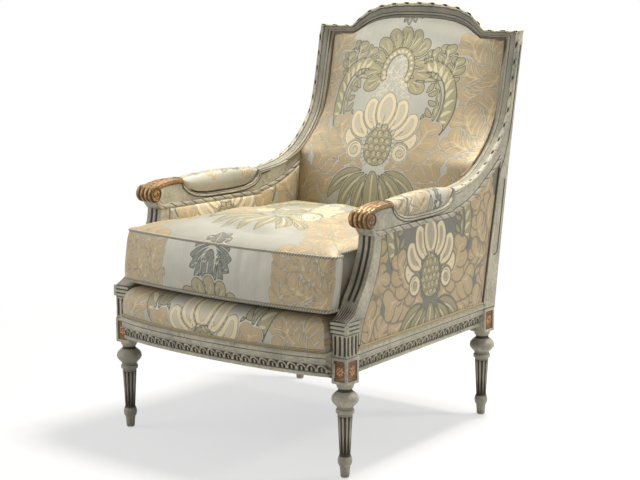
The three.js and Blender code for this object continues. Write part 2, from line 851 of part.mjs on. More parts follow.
// Takes the seat clearance off the slanted end of the arm
function stileFaceCut() {
  const front = stileSweep[0];
  const back = new THREE.Vector2(stileFrontY(jointBackHeight), jointBackHeight);
  const across = new THREE.Vector2().subVectors(back, front).normalize();
  const along = new THREE.Vector2(-across.y, across.x);
  const corner = (start, acrossBy, alongBy) => new THREE.Vector2(
    start.x + across.x * acrossBy + along.x * alongBy,
    start.y + across.y * acrossBy + along.y * alongBy,
  );
  const outline = [
    corner(front, -cutOverrun, -seatGap), corner(back, cutOverrun, -seatGap),
    corner(back, cutOverrun, cutOverrun), corner(front, -cutOverrun, cutOverrun),
  ];
  const span = stileWidth + cutOverrun;
  return sideSlab(outline, -cutOverrun, () => span);
}

// Crest rail

// Outer and inner edges of the right half, from the shoulder to the middle
const crestShares = [
  [0.86, 0, 0.94, 0], [0.672, 0, 0.752, 0], [0.636, 0.12, 0.695, 0.12], [0.592, 0.32, 0.639, 0.32],
  [0.541, 0.522, 0.576, 0.525], [0.465, 0.71, 0.497, 0.707], [0.375, 0.855, 0.403, 0.848],
  [0.255, 0.945, 0.271, 0.949], [0.126, 0.987, 0.135, 0.99], [0, 1, 0, 1],
];

function crestRing(outer, inner) {
  const face = faceMouldingShares.map(([across, groove, fall]) => {
    const x = lerp(outer.x, inner.x, across);
    const z = lerp(outer.y, inner.y, across);
    return new THREE.Vector3(x, stileFrontY(z) + groove * grooveDepth + fall * innerFall, z);
  });
  return [
    ...face,
    new THREE.Vector3(inner.x, stileBackY(inner.y), inner.y),
    new THREE.Vector3(outer.x, stileBackY(outer.y), outer.y),
  ];
}

function crestStations() {
  const ends = [
    [new THREE.Vector2(rearOuterX, crestSeat), new THREE.Vector2(rearInnerX, crestSeat)],
    [new THREE.Vector2(rearOuterX, shoulderTop), new THREE.Vector2(rearInnerX, innerShoulder)],
  ];
  const arch = crestShares.map(([outerX, outerZ, innerX, innerZ]) => [
    new THREE.Vector2(outerX * rearOuterX, shoulderTop + outerZ * crownRise),
    new THREE.Vector2(innerX * rearInnerX, innerShoulder + innerZ * innerRise),
  ]);
  return [...ends, ...arch];
}

function crestRail() {
  const right = crestStations();
  const flip = (p) => new THREE.Vector2(-p.x, p.y);
  const left = right.slice(0, -1).reverse().map(([outer, inner]) => [flip(outer), flip(inner)]);
  const rings = [...right, ...left].map(([outer, inner]) => crestRing(outer, inner));
  return combine(loft(rings), [], [crestTenon(seatGap), mirrored(crestTenon(seatGap))]);
}

// Seat rails

// Height and outward reach of the rail's moulding
const railMouldingShares = [
  [0, 0.14], [0.06, 0.22], [0.13, 0.2], [0.17, 0.08], [0.32, 0.16], [0.45, 0.36], [0.57, 0.62],
  [0.64, 0.72], [0.76, 0.74], [0.84, 0.96], [0.93, 1], [1, 0.84],
];

function bowShare(x) {
  return Math.sqrt(1 - (x / frontOuterX) ** 2);
}

function frontRailY(x, reachShare) {
  const bow = bowShare(x);
  const reach = railReach * lerp(railEndReachShare, 1, bow);
  return frontBowStartY - frontBow * bow - reach * reachShare + railReach * railSetShare;
}
const railSetShare = 0.12;

function frontRail() {
  const endX = frontInnerX - seatGap;
  const rings = Array.from({ length: frontRailSteps + 1 }, (_, i) => {
    const x = endX * Math.sin((i / frontRailSteps - 1 / 2) * Math.PI);
    const outer = railMouldingShares.map(([height, reach]) => (
      new THREE.Vector3(x, frontRailY(x, reach), railBottom + height * railHeight)
    ));
    const inner = [railTop, railBottom].map((z) => new THREE.Vector3(x, frontRailInnerY, z));
    return [...outer, ...inner];
  });
  const halfTenon = tenonThickness / 2;
  const y = frontBlockY + frontTenonY;
  const tenons = [1, -1].map((side) => {
    const root = endX - weldDepth;
    const tip = frontInnerX + tenonLength;
    const ends = [side * root, side * tip];
    return tenonBox(Math.min(...ends), Math.max(...ends), y - halfTenon, y + halfTenon, 0);
  });
  return combine(loft(rings), tenons, []);
}
const frontRailSteps = 16;

function sideRail() {
  const startY = frontBackY + seatGap;
  const endY = rearFrontY - seatGap;
  const ring = (y) => {
    const outer = railMouldingShares.map(([height, reach]) => new THREE.Vector3(
      outerFaceX(y) - railReach * (1 - reach) * sideReachShare,
      y,
      railBottom + height * railHeight,
    ));
    const innerX = outerFaceX(y) - sideRailThickness;
    return [...outer, new THREE.Vector3(innerX, y, railTop), new THREE.Vector3(innerX, y, railBottom)];
  };
  const half = tenonThickness / 2;
  const frontTenon = tenonBox(
    frontBlockX - half, frontBlockX + half, frontBackY - tenonLength, startY + weldDepth, 0,
  );
  const rearTenon = tenonBox(
    rearBlockX - half, rearBlockX + half, endY - weldDepth, rearFrontY + tenonLength, 0,
  );
  return combine(loft([ring(startY), ring(endY)]), [frontTenon, rearTenon], []);
}
const sideReachShare = 0.7;

function rearRail() {
  const back = rearFaceY - rearRailInset;
  const end = rearInnerX - seatGap;
  const board = box(-end, end, back - rearRailThickness, back, railBottom, railTop - rearRailDrop);
  const half = tenonThickness / 2;
  const y = rearBlockY + rearTenonY;
  const tip = rearInnerX + tenonLength;
  return combine(board, [tenonBox(-tip, tip, y - half, y + half, 0)], []);
}
const rearRailDrop = 3;

// The rail across the bottom of the back, above the rear seat rail
const lowerBackRailY = stileBackY(lowerBackRailBottom) - backPanelRecess - backPanelThickness - cavity;
const lowerBackRailFrontY = lowerBackRailY - lowerBackRailThickness;

function lowerBackRail() {
  const end = rearInnerX - seatGap;
  return box(-end, end, lowerBackRailFrontY, lowerBackRailY, lowerBackRailBottom, deckTop);
}

// Glue blocks in the corners between the rails, stepped round a leg that stands proud of the side rail
function cornerBlock(inX, inY, legX, legY, toMiddle) {
  const reachX = legX - cornerBlockLeg;
  const reachY = legY + toMiddle * cornerBlockLeg;
  const shoulder = legX - inX(legY) > seatGap ? [[legX, legY]] : [];
  const outline = [[reachX, inY], [legX, inY], ...shoulder, [inX(legY), legY], [inX(reachY), reachY]];
  const low = railBottom + (railHeight - cornerBlockHeight) / 2;
  const ring = (z) => outline.map(([x, y]) => new THREE.Vector3(x, y, z));
  return loft([ring(low), ring(low + cornerBlockHeight)]);
}

function sideRailInnerX(y) {
  return outerFaceX(y) - sideRailThickness;
}

// Upholstery

// Height at which the arm's underside meets a boundary behind it
function meetingHeight(rearY) {
  const high = armSweepUnder.findIndex((p) => p.x >= rearY(p.y));
  const a = armSweepUnder[high - 1];
  const b = armSweepUnder[high];
  const room = rearY(a.y) - a.x;
  return lerp(a.y, b.y, room / (room + b.x - rearY(b.y)));
}

// The side panel's outline between stump, rail, arm and a boundary behind it, drawn in by a margin
function sidePanelOutline(margin, rearY) {
  const base = railTop + margin;
  const top = armUnder - margin;
  const meeting = meetingHeight(rearY);
  const front = [...stumpHeights().reverse(), ...toeHeights().slice(0, -1).reverse(), base].map((z) => (
    new THREE.Vector2(readY(stumpBack, z) + margin, z)
  ));
  const rear = Array.from({ length: panelSteps + 1 }, (_, i) => {
    const z = lerp(base, meeting - margin * slopeEase, i / panelSteps);
    return new THREE.Vector2(rearY(z) - margin, z);
  });
  const under = armSweepUnder.filter((p) => p.y < meeting - slopeEase * 2).reverse().map((p) => (
    new THREE.Vector2(p.x, p.y - margin * slopeEase)
  ));
  return [...front, ...rear, ...under, new THREE.Vector2(padEndY, top)];
}
const panelSteps = 6;
const slopeEase = 2;

function outsideSidePanel() {
  const outline = sidePanelOutline(seatGap, stileFrontY);
  return sideSlab(outline, panelRecess, () => panelRecess + panelThickness);
}

// The line where the inside arm pad meets the inside back
function padCornerY(z) {
  return cornerLineY + (z - cornerLineHeight) * cornerLineSlope;
}

function insideSidePad() {
  const kept = sidePanelOutline(seatGap, padCornerY);
  const outerDepth = panelRecess + panelThickness + cavity;
  const middle = kept.reduce((sum, p) => sum.add(p), new THREE.Vector2()).divideScalar(kept.length);
  const ring = (depth, shrink, floor) => kept.map((p) => {
    const z = Math.max(lerp(p.y, middle.y, shrink), floor);
    const y = Math.max(lerp(p.x, middle.x, shrink), readY(stumpBack, z) + seatGap);
    return new THREE.Vector3(depth(y), y, z);
  });
  const deckFloor = deckTop + seatGap;
  const shoulderBulge = sidePadBulge * padShoulderShare;
  return loft([
    ring((y) => outerFaceX(y) - outerDepth, 0, 0),
    ring((y) => innerFaceX(y) + seatGap, 0, 0),
    ring((y) => innerFaceX(y), 0, deckFloor),
    ring((y) => innerFaceX(y) - shoulderBulge, padShoulderShrink, deckFloor + sidePadBulge),
    ring((y) => innerFaceX(y) - sidePadBulge, padMiddleShrink, deckFloor + sidePadBulge * 2),
  ]);
}
const padShoulderShare = 0.7;
const padShoulderShrink = 0.12;
const padMiddleShrink = 0.4;

// Centre line of the inside back: places between its foot and its head
const backCentreShares = [
  [0, 0], [0.02, 0.22], [0.1, 0.38], [0.265, 0.53], [0.49, 0.685], [0.735, 0.84], [0.9, 0.94], [1, 1],
];

function backEdgeY(z) {
  const sweep = z > armSweep[0].y ? readY(sweepPoints, Math.min(z, crestSeat)) : 0;
  const upper = z > crestSeat ? stileFrontY(z) : sweep;
  return Math.max(padCornerY(z), upper + grooveDepth + innerFall);
}

function crestInnerZ(x) {
  const inner = crestStations().map((pair) => pair[1]);
  const reach = Math.abs(x);
  const next = inner.findIndex((p) => p.x <= reach);
  if (next < 1) {
    return innerShoulder;
  }
  const a = inner[next - 1];
  const b = inner[next];
  return a.x === b.x ? b.y : lerp(a.y, b.y, (a.x - reach) / (a.x - b.x));
}

// A padded panel between the stiles, from a front and a back surface over one grid of points
function backGrid(bottom, columns, rows, front, back) {
  const end = rearInnerX - seatGap;
  const ringAt = (x) => {
    const top = crestInnerZ(x) - seatGap * slopeEase;
    const surface = (surfaceY) => rows.map((v) => {
      const z = lerp(bottom, top, v);
      return new THREE.Vector3(x, surfaceY(Math.abs(x) / end, z), z);
    });
    return [...surface(front), ...surface(back).reverse()];
  };
  return loft(columns.map(ringAt));
}

// Columns under each station of the crest rail, with others near the edges
function backColumns(edgeShares) {
  const end = rearInnerX - seatGap;
  const edges = edgeShares.map((share) => share * end);
  const half = [...edges, ...crestStations().slice(2).map((pair) => pair[1].x)];
  return [...half, ...half.slice(0, -1).reverse().map((x) => -x)];
}
const backRows = [0, 0.2, 0.36, 0.45, 0.53, 0.62, 0.74, 0.86, 0.96, 1];
const backRoundPower = 2.6;
const backEdgeShare = 0.975;

function insideBackPad() {
  const bottom = deckTop + seatGap;
  const headZ = innerShoulder + innerRise;
  const headY = stileFrontY(headZ) + grooveDepth + innerFall;
  const centre = new THREE.SplineCurve(
    scaledPoints(backCentreShares, [backFootY, bottom], [headY, headZ]),
  ).getPoints(backCentreShares.length * 3);
  const front = (u, z) => {
    const middle = Math.min(readY(centre, z), backEdgeY(z) - seatGap);
    return lerp(middle, backEdgeY(z), u ** backRoundPower);
  };
  const back = (u, z) => stileBackY(z) - backPanelRecess - backPanelThickness - seatGap;
  return backGrid(bottom, backColumns([1, backEdgeShare]), backRows, front, back);
}

function outsideBackPanel() {
  const bottom = railTop - rearRailDrop + seatGap;
  const front = (u, z) => stileBackY(z) - backPanelRecess - backPanelThickness;
  const back = (u, z) => stileBackY(z) - backPanelRecess;
  return backGrid(bottom, backColumns([1]), outsideRows, front, back);
}
const outsideRows = [0, 0.25, 0.5, 0.75, 1];

// The padded seat deck: its front follows the bowed rail, its sides the inner faces of the frame
function deckSideX(y) {
  return Math.min(innerFaceX(y), frontInnerX - capOverhang) - seatGap;
}

function deckRing(z, roll, inset) {
  const points = [];
  const frontX = deckSideX(frontFaceY) - inset;
  for (let i = 0; i <= deckFrontSteps; i += 1) {
    const x = frontX * Math.sin((i / deckFrontSteps - 1 / 2) * Math.PI);
    const bow = bowShare(x);
    points.push(new THREE.Vector3(x, frontRailY(x, 1) + deckRailMargin - roll * bow + inset, z));
  }
  deckSideShares.forEach((share) => {
    const y = lerp(frontBackY, stileNoseY - seatGap - weldDepth, share);
    points.push(new THREE.Vector3(deckSideX(y) - inset, y, z));
  });
  points.push(new THREE.Vector3(rearInnerX - seatGap - inset, stileNoseY - seatGap, z));
  const rearY = lowerBackRailFrontY - seatGap - inset;
  points.push(new THREE.Vector3(rearInnerX - seatGap - inset, rearY, z));
  const sides = points.slice(deckFrontSteps + 1);
  sides.reverse().forEach((p) => points.push(new THREE.Vector3(-p.x, p.y, z)));
  return points;
}
const deckFrontSteps = 14;
const stileNoseY = stileFrontY(railTop + seatGap + stileFlare);
const deckSideShares = [0, 0.5, 1];
// Height, forward roll and inset of each ring of the deck
const deckRingShares = [
  [0, 0, 0], [0.2, 0.8, 0], [0.5, 1, 0], [0.72, 0.6, 0.06], [0.88, 0.1, 0.3], [0.97, 0, 0.65], [1, 0, 1],
];

function seatDeck() {
  const rings = deckRingShares.map(([height, roll, inset]) => (
    deckRing(lerp(railTop + seatGap, deckTop, height), roll * deckRoll, inset * deckEdgeRound)
  ));
  const coreX = sideRailInnerX(rearFrontY) - deckCoreMargin;
  const coreY = rearFaceY - rearRailInset - rearRailThickness - deckCoreMargin;
  const core = box(
    -coreX, coreX, frontRailInnerY + deckCoreMargin, coreY, railBottom, railTop + seatGap + weldDepth,
  );
  return combine(loft(rings), [core], []);
}

// Pads set into the beds on the arms
const armPadSectionShares = [
  [-0.86, 0], [-1, 0.3], [-0.97, 0.6], [-0.8, 0.85], [-0.45, 0.97], [0, 1],
];
const armPadStationShares = [0.012, 0.04, 0.1, 0.19, 0.32, 0.5, 0.66, 0.82, 0.92, 0.975, 0.992];

function armPad() {
  const right = armPadSectionShares.slice(0, -1).reverse().map(([across, height]) => [-across, height]);
  const section = [...armPadSectionShares, ...right];
  const rings = armPadStationShares.map((share) => {
    const y = lerp(padStartY, padEndY, share);
    const centreX = (outerFaceX(y) + innerFaceX(y)) / 2;
    const endEase = Math.sqrt(Math.sin(share * Math.PI));
    const fullHalf = (outerFaceX(y) - innerFaceX(y)) / 2 + armPadBulge;
    const half = fullHalf * lerp(padEndWidthShare, 1, endEase);
    const low = armTopZ(y) + seatGap;
    const high = Math.max(armTop - sweepStartDrop + armPadCrown * endEase, low + weldDepth);
    return section.map(([across, height]) => (
      new THREE.Vector3(centreX + across * half, y, lerp(low, high, height))
    ));
  });
  return loft(rings);
}
const padEndWidthShare = 0.72;

// Loose seat cushion with ears in front of the stumps

function cushionBodyX(y) {
  return innerFaceX(y) - sidePadBulge - cushionClearance - cushionBulge;
}

// Right half of the plan, from the front middle round to the back middle; lean moves the front
function cushionHalfPlan(out, lean) {
  const points = [];
  const cornerY = cushionFrontCornerY;
  const bend = cushionHalfWidth - cushionCornerRadius;
  cushionBowShares.forEach((share) => {
    const x = share * bend;
    const y = cornerY - cushionFrontBow * (1 - share ** 2);
    points.push([x * (1 + out / cushionHalfWidth), y - out + lean]);
  });
  const earBackY = readY(stumpFront, cushionLowWelt) - cushionClearance - cushionBulge;
  for (let step = 1; step <= cushionCornerSteps; step += 1) {
    const angle = (step / cushionCornerSteps) * (Math.PI / 2);
    const x = bend + Math.sin(angle) * cushionCornerRadius;
    const y = cornerY + (1 - Math.cos(angle)) * cushionCornerRadius;
    points.push([x + out, y - out * Math.cos(angle) + lean]);
  }
  points.push([cushionHalfWidth + out, earBackY - earRound + lean]);
  points.push([cushionHalfWidth - earRound + out, earBackY + lean]);
  const neckY = earBackY + lean;
  points.push([cushionBodyX(neckY) + earRound, neckY]);
  points.push([cushionBodyX(neckY + earRound) + out, neckY + earRound]);
  const backY = backFootY - cushionClearance - cushionBulge;
  cushionSideShares.forEach((share) => {
    const y = lerp(neckY + earRound, backY - cushionCornerRadius * 2, share);
    points.push([cushionBodyX(y) + out, y]);
  });
  for (let step = 1; step <= cushionCornerSteps; step += 1) {
    const angle = (step / cushionCornerSteps) * (Math.PI / 2);
    const x = cushionBodyX(backY) - (1 - Math.cos(angle)) * cushionCornerRadius;
    const y = backY - (1 - Math.sin(angle)) * cushionCornerRadius;
    points.push([x + out * Math.cos(angle), y + out * Math.sin(angle)]);
  }
  points.push([0, backY + out]);
  return points;
}
const cushionBowShares = [0, 0.18, 0.36, 0.54, 0.72, 0.88, 1];
const cushionSideShares = [0.33, 0.66, 1];
const cushionCornerSteps = 3;
const earRound = 8;

function cushionRing(z, out, scale) {
  const leanShare = (z - cushionLowWelt) / (cushionHighWelt - cushionLowWelt);
  const half = cushionHalfPlan(out, cushionLean * clamp(leanShare, 0, 1));
  const middleY = (cushionFrontCornerY + backFootY) / 2;
  const place = ([x, y]) => new THREE.Vector3(x * scale, lerp(middleY, y, scale), z);
  const right = half.map(place);
  const left = half.slice(1, -1).reverse().map(([x, y]) => place([-x, y]));
  return [...right, ...left];
}

// Height, outward bulge and plan scale of the cushion's rings
const boxingShares = [[0.04, 0.45], [0.2, 0.9], [0.5, 1], [0.8, 0.9], [0.96, 0.45]];
const crownShares = [[0.97, 0.16], [0.9, 0.42], [0.78, 0.68], [0.6, 0.88], [0.38, 1]];
const underShares = [[0.9, 1], [0.97, 0.7]];

function seatCushion() {
  const floorZ = deckTop + seatGap;
  const under = underShares.map(([scale, drop]) => (
    cushionRing(lerp(cushionLowWelt, floorZ, drop), 0, scale)
  ));
  const boxing = boxingShares.map(([height, out]) => (
    cushionRing(lerp(cushionLowWelt, cushionHighWelt, height), out * cushionBulge, 1)
  ));
  const over = crownShares.map(([scale, rise]) => (
    cushionRing(cushionHighWelt + rise * cushionCrown, 0, scale)
  ));
  return loft([
    ...under,
    cushionRing(cushionLowWelt, 0, 1),
    ...boxing,
    cushionRing(cushionHighWelt, 0, 1),
    ...over,
  ]);
}

// Under the seat

// Straps run both ways under the rails, the long ones over the cross ones
function webbingStraps() {
  const crossHigh = railBottom - seatGap * 2 - webbingThickness;
  const longLow = railBottom - seatGap - webbingThickness;
  const startY = frontRailInnerY - webbingGrip;
  const endY = rearFaceY - rearRailInset - rearRailThickness + webbingGrip;
  const narrowX = sideRailInnerX(rearFrontY);
  const half = webbingWidth / 2;
  for (let i = 1; i <= webbingCount; i += 1) {
    const share = i / (webbingCount + 1);
    const x = lerp(-narrowX, narrowX, share);
    const y = lerp(frontBackY, rearFrontY, share);
    const reach = sideRailInnerX(y) + webbingGrip;
    const long = box(x - half, x + half, startY, endY, longLow, longLow + webbingThickness);
    const cross = box(-reach, reach, y - half, y + half, crossHigh - webbingThickness, crossHigh);
    addPiece(`webbing_long_${i}`, long, webbingCloth);
    addPiece(`webbing_cross_${i}`, cross, webbingCloth);
  }
}

function dustCover() {
  const high = railBottom - seatGap * 3 - webbingThickness * 2;
  const frontX = frontInnerX - seatGap;
  const rearX = rearInnerX - seatGap;
  const sideFrontX = sideRailInnerX(frontBackY) + coverGrip;
  const sideRearX = sideRailInnerX(rearFrontY) + coverGrip;
  const frontY = frontBackY + seatGap;
  const rearY = rearFrontY - seatGap;
  const half = [
    [frontX, frontRailInnerY - coverGrip], [frontX, frontY], [sideFrontX, frontY],
    [sideRearX, rearY], [rearX, rearY], [rearX, rearFrontY + coverGrip],
  ];
  const outline = [...half, ...half.slice().reverse().map(([x, y]) => [-x, y])];
  const ring = (z) => outline.map(([x, y]) => new THREE.Vector3(x, y, z));
  return loft([ring(high - coverThickness), ring(high)]);
}

function glide(x, y) {
  return peg(glideRadius, new THREE.Vector3(x, y, 0), new THREE.Vector3(x, y, glideThickness), pegSides);
}

// The whole chair

function addPair(name, geometry, material) {
  addPiece(`${name}_right`, geometry, material);
  addPiece(`${name}_left`, mirrored(geometry), material);
}

addPair('front_leg', frontLeg(), paintedWood);
addPair('rear_leg', rearLeg(), paintedWood);
addPair('arm_stump', armStump(), paintedWood);
addPair('arm', arm(), paintedWood);
addPiece('crest_rail', crestRail(), paintedWood);
addPiece('front_rail', frontRail(), paintedWood);
addPair('side_rail', sideRail(), paintedWood);
addPiece('rear_rail', rearRail(), paintedWood);
addPiece('lower_back_rail', lowerBackRail(), plainWood);
addPair('front_corner_block', cornerBlock(
  (y) => sideRailInnerX(y) - seatGap, frontRailInnerY + seatGap, frontInnerX - seatGap, frontBackY, 1,
), plainWood);
addPair('rear_corner_block', cornerBlock(
  (y) => sideRailInnerX(y) - seatGap, rearFaceY - rearRailInset - rearRailThickness - seatGap,
  sideRailInnerX(rearFrontY) - seatGap, rearFrontY - seatGap, -1,
), plainWood);
addPair('front_glide', glide(frontBlockX, frontBlockY), steel);
addPair('rear_glide', glide(rearBlockX, rearBlockY), steel);
addPiece('seat_deck', seatDeck(), damask);
addPiece('inside_back', insideBackPad(), damask);
addPiece('outside_back', outsideBackPanel(), damask);
addPair('inside_arm', insideSidePad(), damask);
addPair('outside_arm', outsideSidePanel(), damask);
addPair('arm_pad', armPad(), damask);
addPiece('seat_cushion', seatCushion(), damask);
webbingStraps();
addPiece('dust_cover', dustCover(), coverCloth);

// The origin is under the middle of the whole chair, on the floor
const extent = new THREE.Box3().setFromObject(chair);
chair.position.y = -(extent.min.y + extent.max.y) / 2;

export default chair;
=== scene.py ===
"""The visible surfaces of an upholstered bergere armchair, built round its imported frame.

Pieces are worked out in millimetres in the plan of the four leg blocks, and placed in metres.
"""
import math

import bmesh
import bpy
import numpy as np
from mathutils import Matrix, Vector


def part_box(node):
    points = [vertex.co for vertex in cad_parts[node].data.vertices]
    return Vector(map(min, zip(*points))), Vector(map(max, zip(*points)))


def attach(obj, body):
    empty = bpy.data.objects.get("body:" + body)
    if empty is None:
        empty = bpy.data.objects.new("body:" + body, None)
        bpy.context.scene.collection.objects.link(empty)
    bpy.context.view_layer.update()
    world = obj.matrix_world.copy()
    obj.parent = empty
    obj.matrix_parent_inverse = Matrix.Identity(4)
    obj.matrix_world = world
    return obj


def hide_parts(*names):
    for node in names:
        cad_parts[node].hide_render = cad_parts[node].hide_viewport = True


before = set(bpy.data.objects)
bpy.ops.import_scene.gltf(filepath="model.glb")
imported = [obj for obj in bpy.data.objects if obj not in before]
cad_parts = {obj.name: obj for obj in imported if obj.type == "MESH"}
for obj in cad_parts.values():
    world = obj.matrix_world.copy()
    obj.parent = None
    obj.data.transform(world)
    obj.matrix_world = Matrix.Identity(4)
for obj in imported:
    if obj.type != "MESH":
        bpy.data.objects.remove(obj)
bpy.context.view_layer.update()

bl_info = {
    "name": "Bergere Armchair",
    "version": (1, 0, 0),
    "blender": (4, 5, 0),
    "location": "3D View > Sidebar > Armchair",
    "description": "Builds the carved and upholstered surfaces of a bergere armchair",
    "category": "Mesh",
}

MILLIMETRES = 1000.0
TURN = 2 * math.pi

# Plan and heights of the wooden frame, in millimetres
SEAT_GAP = 0.3
BLOCK_WIDTH = 45.0
BLOCK_DEPTH = 48.0
FRONT_BLOCK = np.array((351.5, -332.0, 0.0))
REAR_BLOCK = np.array((310.5, 332.0, 0.0))
LEG_HEIGHT = 230.5
BLOCK_TOP = LEG_HEIGHT + 63.0
CAP_BASE = BLOCK_TOP + 57.5
CAP_TOP = CAP_BASE + 29.0
RAIL_BOTTOM = LEG_HEIGHT + 17.5
RAIL_HEIGHT = 58.0
RAIL_TOP = RAIL_BOTTOM + RAIL_HEIGHT
DECK_TOP = RAIL_TOP + 82.0
ARM_TOP = 640.0
ARM_UNDER = ARM_TOP - 73.0
SHOULDER_TOP = 1022.0
CROWN_RISE = 69.0
CREST_SEAT = SHOULDER_TOP - 37.0
INNER_SHOULDER = SHOULDER_TOP - 24.0
INNER_RISE = 49.5
JOINT_BACK_HEIGHT = ARM_TOP + 50.0
FRONT_OUTER_X = FRONT_BLOCK[0] + BLOCK_WIDTH / 2
FRONT_INNER_X = FRONT_BLOCK[0] - BLOCK_WIDTH / 2
REAR_OUTER_X = REAR_BLOCK[0] + BLOCK_WIDTH / 2
REAR_INNER_X = REAR_BLOCK[0] - BLOCK_WIDTH / 2
FRONT_FACE_Y = FRONT_BLOCK[1] - BLOCK_DEPTH / 2
FRONT_BACK_Y = FRONT_BLOCK[1] + BLOCK_DEPTH / 2
REAR_FRONT_Y = REAR_BLOCK[1] - BLOCK_DEPTH / 2
REAR_FACE_Y = REAR_BLOCK[1] + BLOCK_DEPTH / 2

# How far the block plan lies from the chair's own frame
GLIDE_LOW, GLIDE_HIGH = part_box("front_glide_right")
ROW_SHIFT = (GLIDE_LOW.y + GLIDE_HIGH.y) / 2 * MILLIMETRES - FRONT_BLOCK[1]

# Turned legs
LEG_RADIUS = 32.5
FLUTE_COUNT = 10
FOOT_BOTTOM = 2.8
LEG_STEPS_ROUND = 120
LEG_STEPS_BETWEEN = 6
FLUTE_DEPTH = 3.0
# The turning is darkened where it is this much thinner than its surroundings, and at its necks
HOLLOW_STEPS = 9
DARKENED_HOLLOW = 1.2
TURNING_NECKS = ((0.236, 0.018), (0.645, 0.012))
# Height, radius and flute depth of the turning, each as a share
TURNING_SHARES = [
    (0, 0.325, 0), (0.104, 0.388, 0), (0.132, 0.478, 0), (0.165, 0.532, 0), (0.2, 0.508, 0),
    (0.226, 0.431, 0), (0.245, 0.4, 0), (0.262, 0.405, 1), (0.63, 0.545, 1), (0.652, 0.55, 0),
    (0.674, 0.56, 0), (0.687, 0.675, 0), (0.72, 0.675, 0), (0.73, 0.6, 0), (0.752, 0.63, 0),
    (0.774, 0.77, 0), (0.8, 0.923, 0), (0.83, 1, 0), (0.87, 0.923, 0), (0.9, 0.738, 0),
    (0.93, 0.508, 0), (0.965, 0.615, 0), (1, 0.677, 0),
]

# Blocks above the legs
PANEL_MARGIN = 7.5
PANEL_DEPTH = 3.0
FRAME_STEP = 1.6
BLOCK_EDGE = 0.8
ROSETTE_RADIUS = 14.2
ROSETTE_HEIGHT = 2.9
ROSETTE_PETALS = 8
FLUTED_INSET = 1.5
BLOCK_FLUTES = 3
BLOCK_FLUTE_DEPTH = 2.6
CAP_OVERHANG = 2.5
CAP_REEDS = 3

# Arms, stumps and stiles
ARM_WIDTH = BLOCK_WIDTH + 3.0
STILE_WIDTH = BLOCK_WIDTH
STILE_FOOT_DEPTH = 57.0
STILE_TOP_DEPTH = 20.0
STILE_SAG = 5.0
BACK_REACH = 122.0
GROOVE_DEPTH = 5.0
INNER_FALL = 7.0
SCROLL_RADIUS = 22.0
SCROLL_WIDTH = ARM_WIDTH + 6.0
SCROLL_Y = FRONT_BLOCK[1] + 76.0
SCROLL_Z = ARM_TOP - 31.0
PAD_START_Y = FRONT_BLOCK[1] + 175.0
PAD_END_Y = PAD_START_Y + 293.0
SCOOP_DEPTH = 44.0
SWEEP_START_Y = PAD_END_Y + 6.0
SWEEP_START_DROP = 4.0
ARM_UNDER_RISE = 5.0
STUMP_FOOT_Y = FRONT_FACE_Y + 4.0
STUMP_BACK_FOOT_Y = STUMP_FOOT_Y + 48.0
STUMP_FRONT_TOP_Y = FRONT_BLOCK[1] + 95.0
STUMP_BACK_TOP_Y = STUMP_FRONT_TOP_Y + 31.0
STUMP_TOE_HEIGHT = RAIL_TOP + 14.0

# Seat rails
FRONT_BOW = 66.0
FRONT_BOW_START_Y = FRONT_BLOCK[1] - 8.0
RAIL_REACH = 24.0
RAIL_END_REACH_SHARE = 0.35
RAIL_SET_SHARE = 0.12
SIDE_REACH_SHARE = 0.7
FRONT_RAIL_INNER_Y = FRONT_BLOCK[1] + 4.0
SIDE_RAIL_THICKNESS = 58.0
RAIL_MOULDING_SHARES = [
    (0, 0.14), (0.06, 0.22), (0.13, 0.2), (0.17, 0.08), (0.32, 0.16), (0.45, 0.36), (0.57, 0.62),
    (0.64, 0.72), (0.76, 0.74), (0.84, 0.96), (0.93, 1), (1, 0.84),
]

# Upholstery
DECK_EDGE_ROUND = 44.0
DECK_ROLL = 8.0
DECK_RAIL_MARGIN = 10.0
PANEL_RECESS = 4.0
PANEL_THICKNESS = 6.0
CAVITY = 3.0
SIDE_PAD_BULGE = 7.0
CORNER_LINE_Y = REAR_BLOCK[1] - 39.0
CORNER_LINE_HEIGHT = ARM_TOP - 110.0
CORNER_LINE_SLOPE = 0.104
BACK_FOOT_Y = REAR_BLOCK[1] - 64.0
BACK_PANEL_THICKNESS = 4.0
BACK_PANEL_RECESS = 1.0
ARM_PAD_CROWN = 12.0
ARM_PAD_BULGE = 1.0
CUSHION_LOW_WELT = DECK_TOP + 15.0
CUSHION_HIGH_WELT = CUSHION_LOW_WELT + 125.0
CUSHION_CROWN = 34.0
CUSHION_CORNER_Y = FRONT_FACE_Y - 13.0
CUSHION_HALF_WIDTH = FRONT_OUTER_X - 43.0
CUSHION_BOW = 23.0
CUSHION_LEAN = 19.0
CUSHION_CLEARANCE = 4.0
CUSHION_BULGE = 6.0
CUSHION_CORNER = 16.0
EAR_ROUND = 8.0


# Curves


def lerp(low, high, share):
    return low + (high - low) * share


def smooth_step(values, low, high):
    share = np.clip((np.asarray(values, float) - low) / (high - low), 0, 1)
    return share * share * (3 - 2 * share)


def bump_at(values, centre, width):
    """A smooth hill of height one round a place."""
    return np.exp(-(((np.asarray(values, float) - centre) / width) ** 2))


def smooth_curve(points, count):
    """An even curve through points, the same one that the solids follow."""
    points = np.asarray(points, float)
    last = len(points) - 1
    place = np.linspace(0, last, count + 1)
    step = np.minimum(place.astype(int), last - 1)
    share = (place - step)[:, None]
    before, here = points[np.maximum(step - 1, 0)], points[step]
    after, beyond = points[step + 1], points[np.minimum(step + 2, last)]
    rise, fall = (after - before) / 2, (beyond - here) / 2
    cube = (2 * here - 2 * after + rise + fall) * share**3
    square = (3 * after - 3 * here - 2 * rise - fall) * share**2
    return cube + square + rise * share + here


def lengths_along(path):
    steps = np.linalg.norm(np.diff(path, axis=0), axis=1)
    return np.concatenate(([0.0], np.cumsum(steps)))


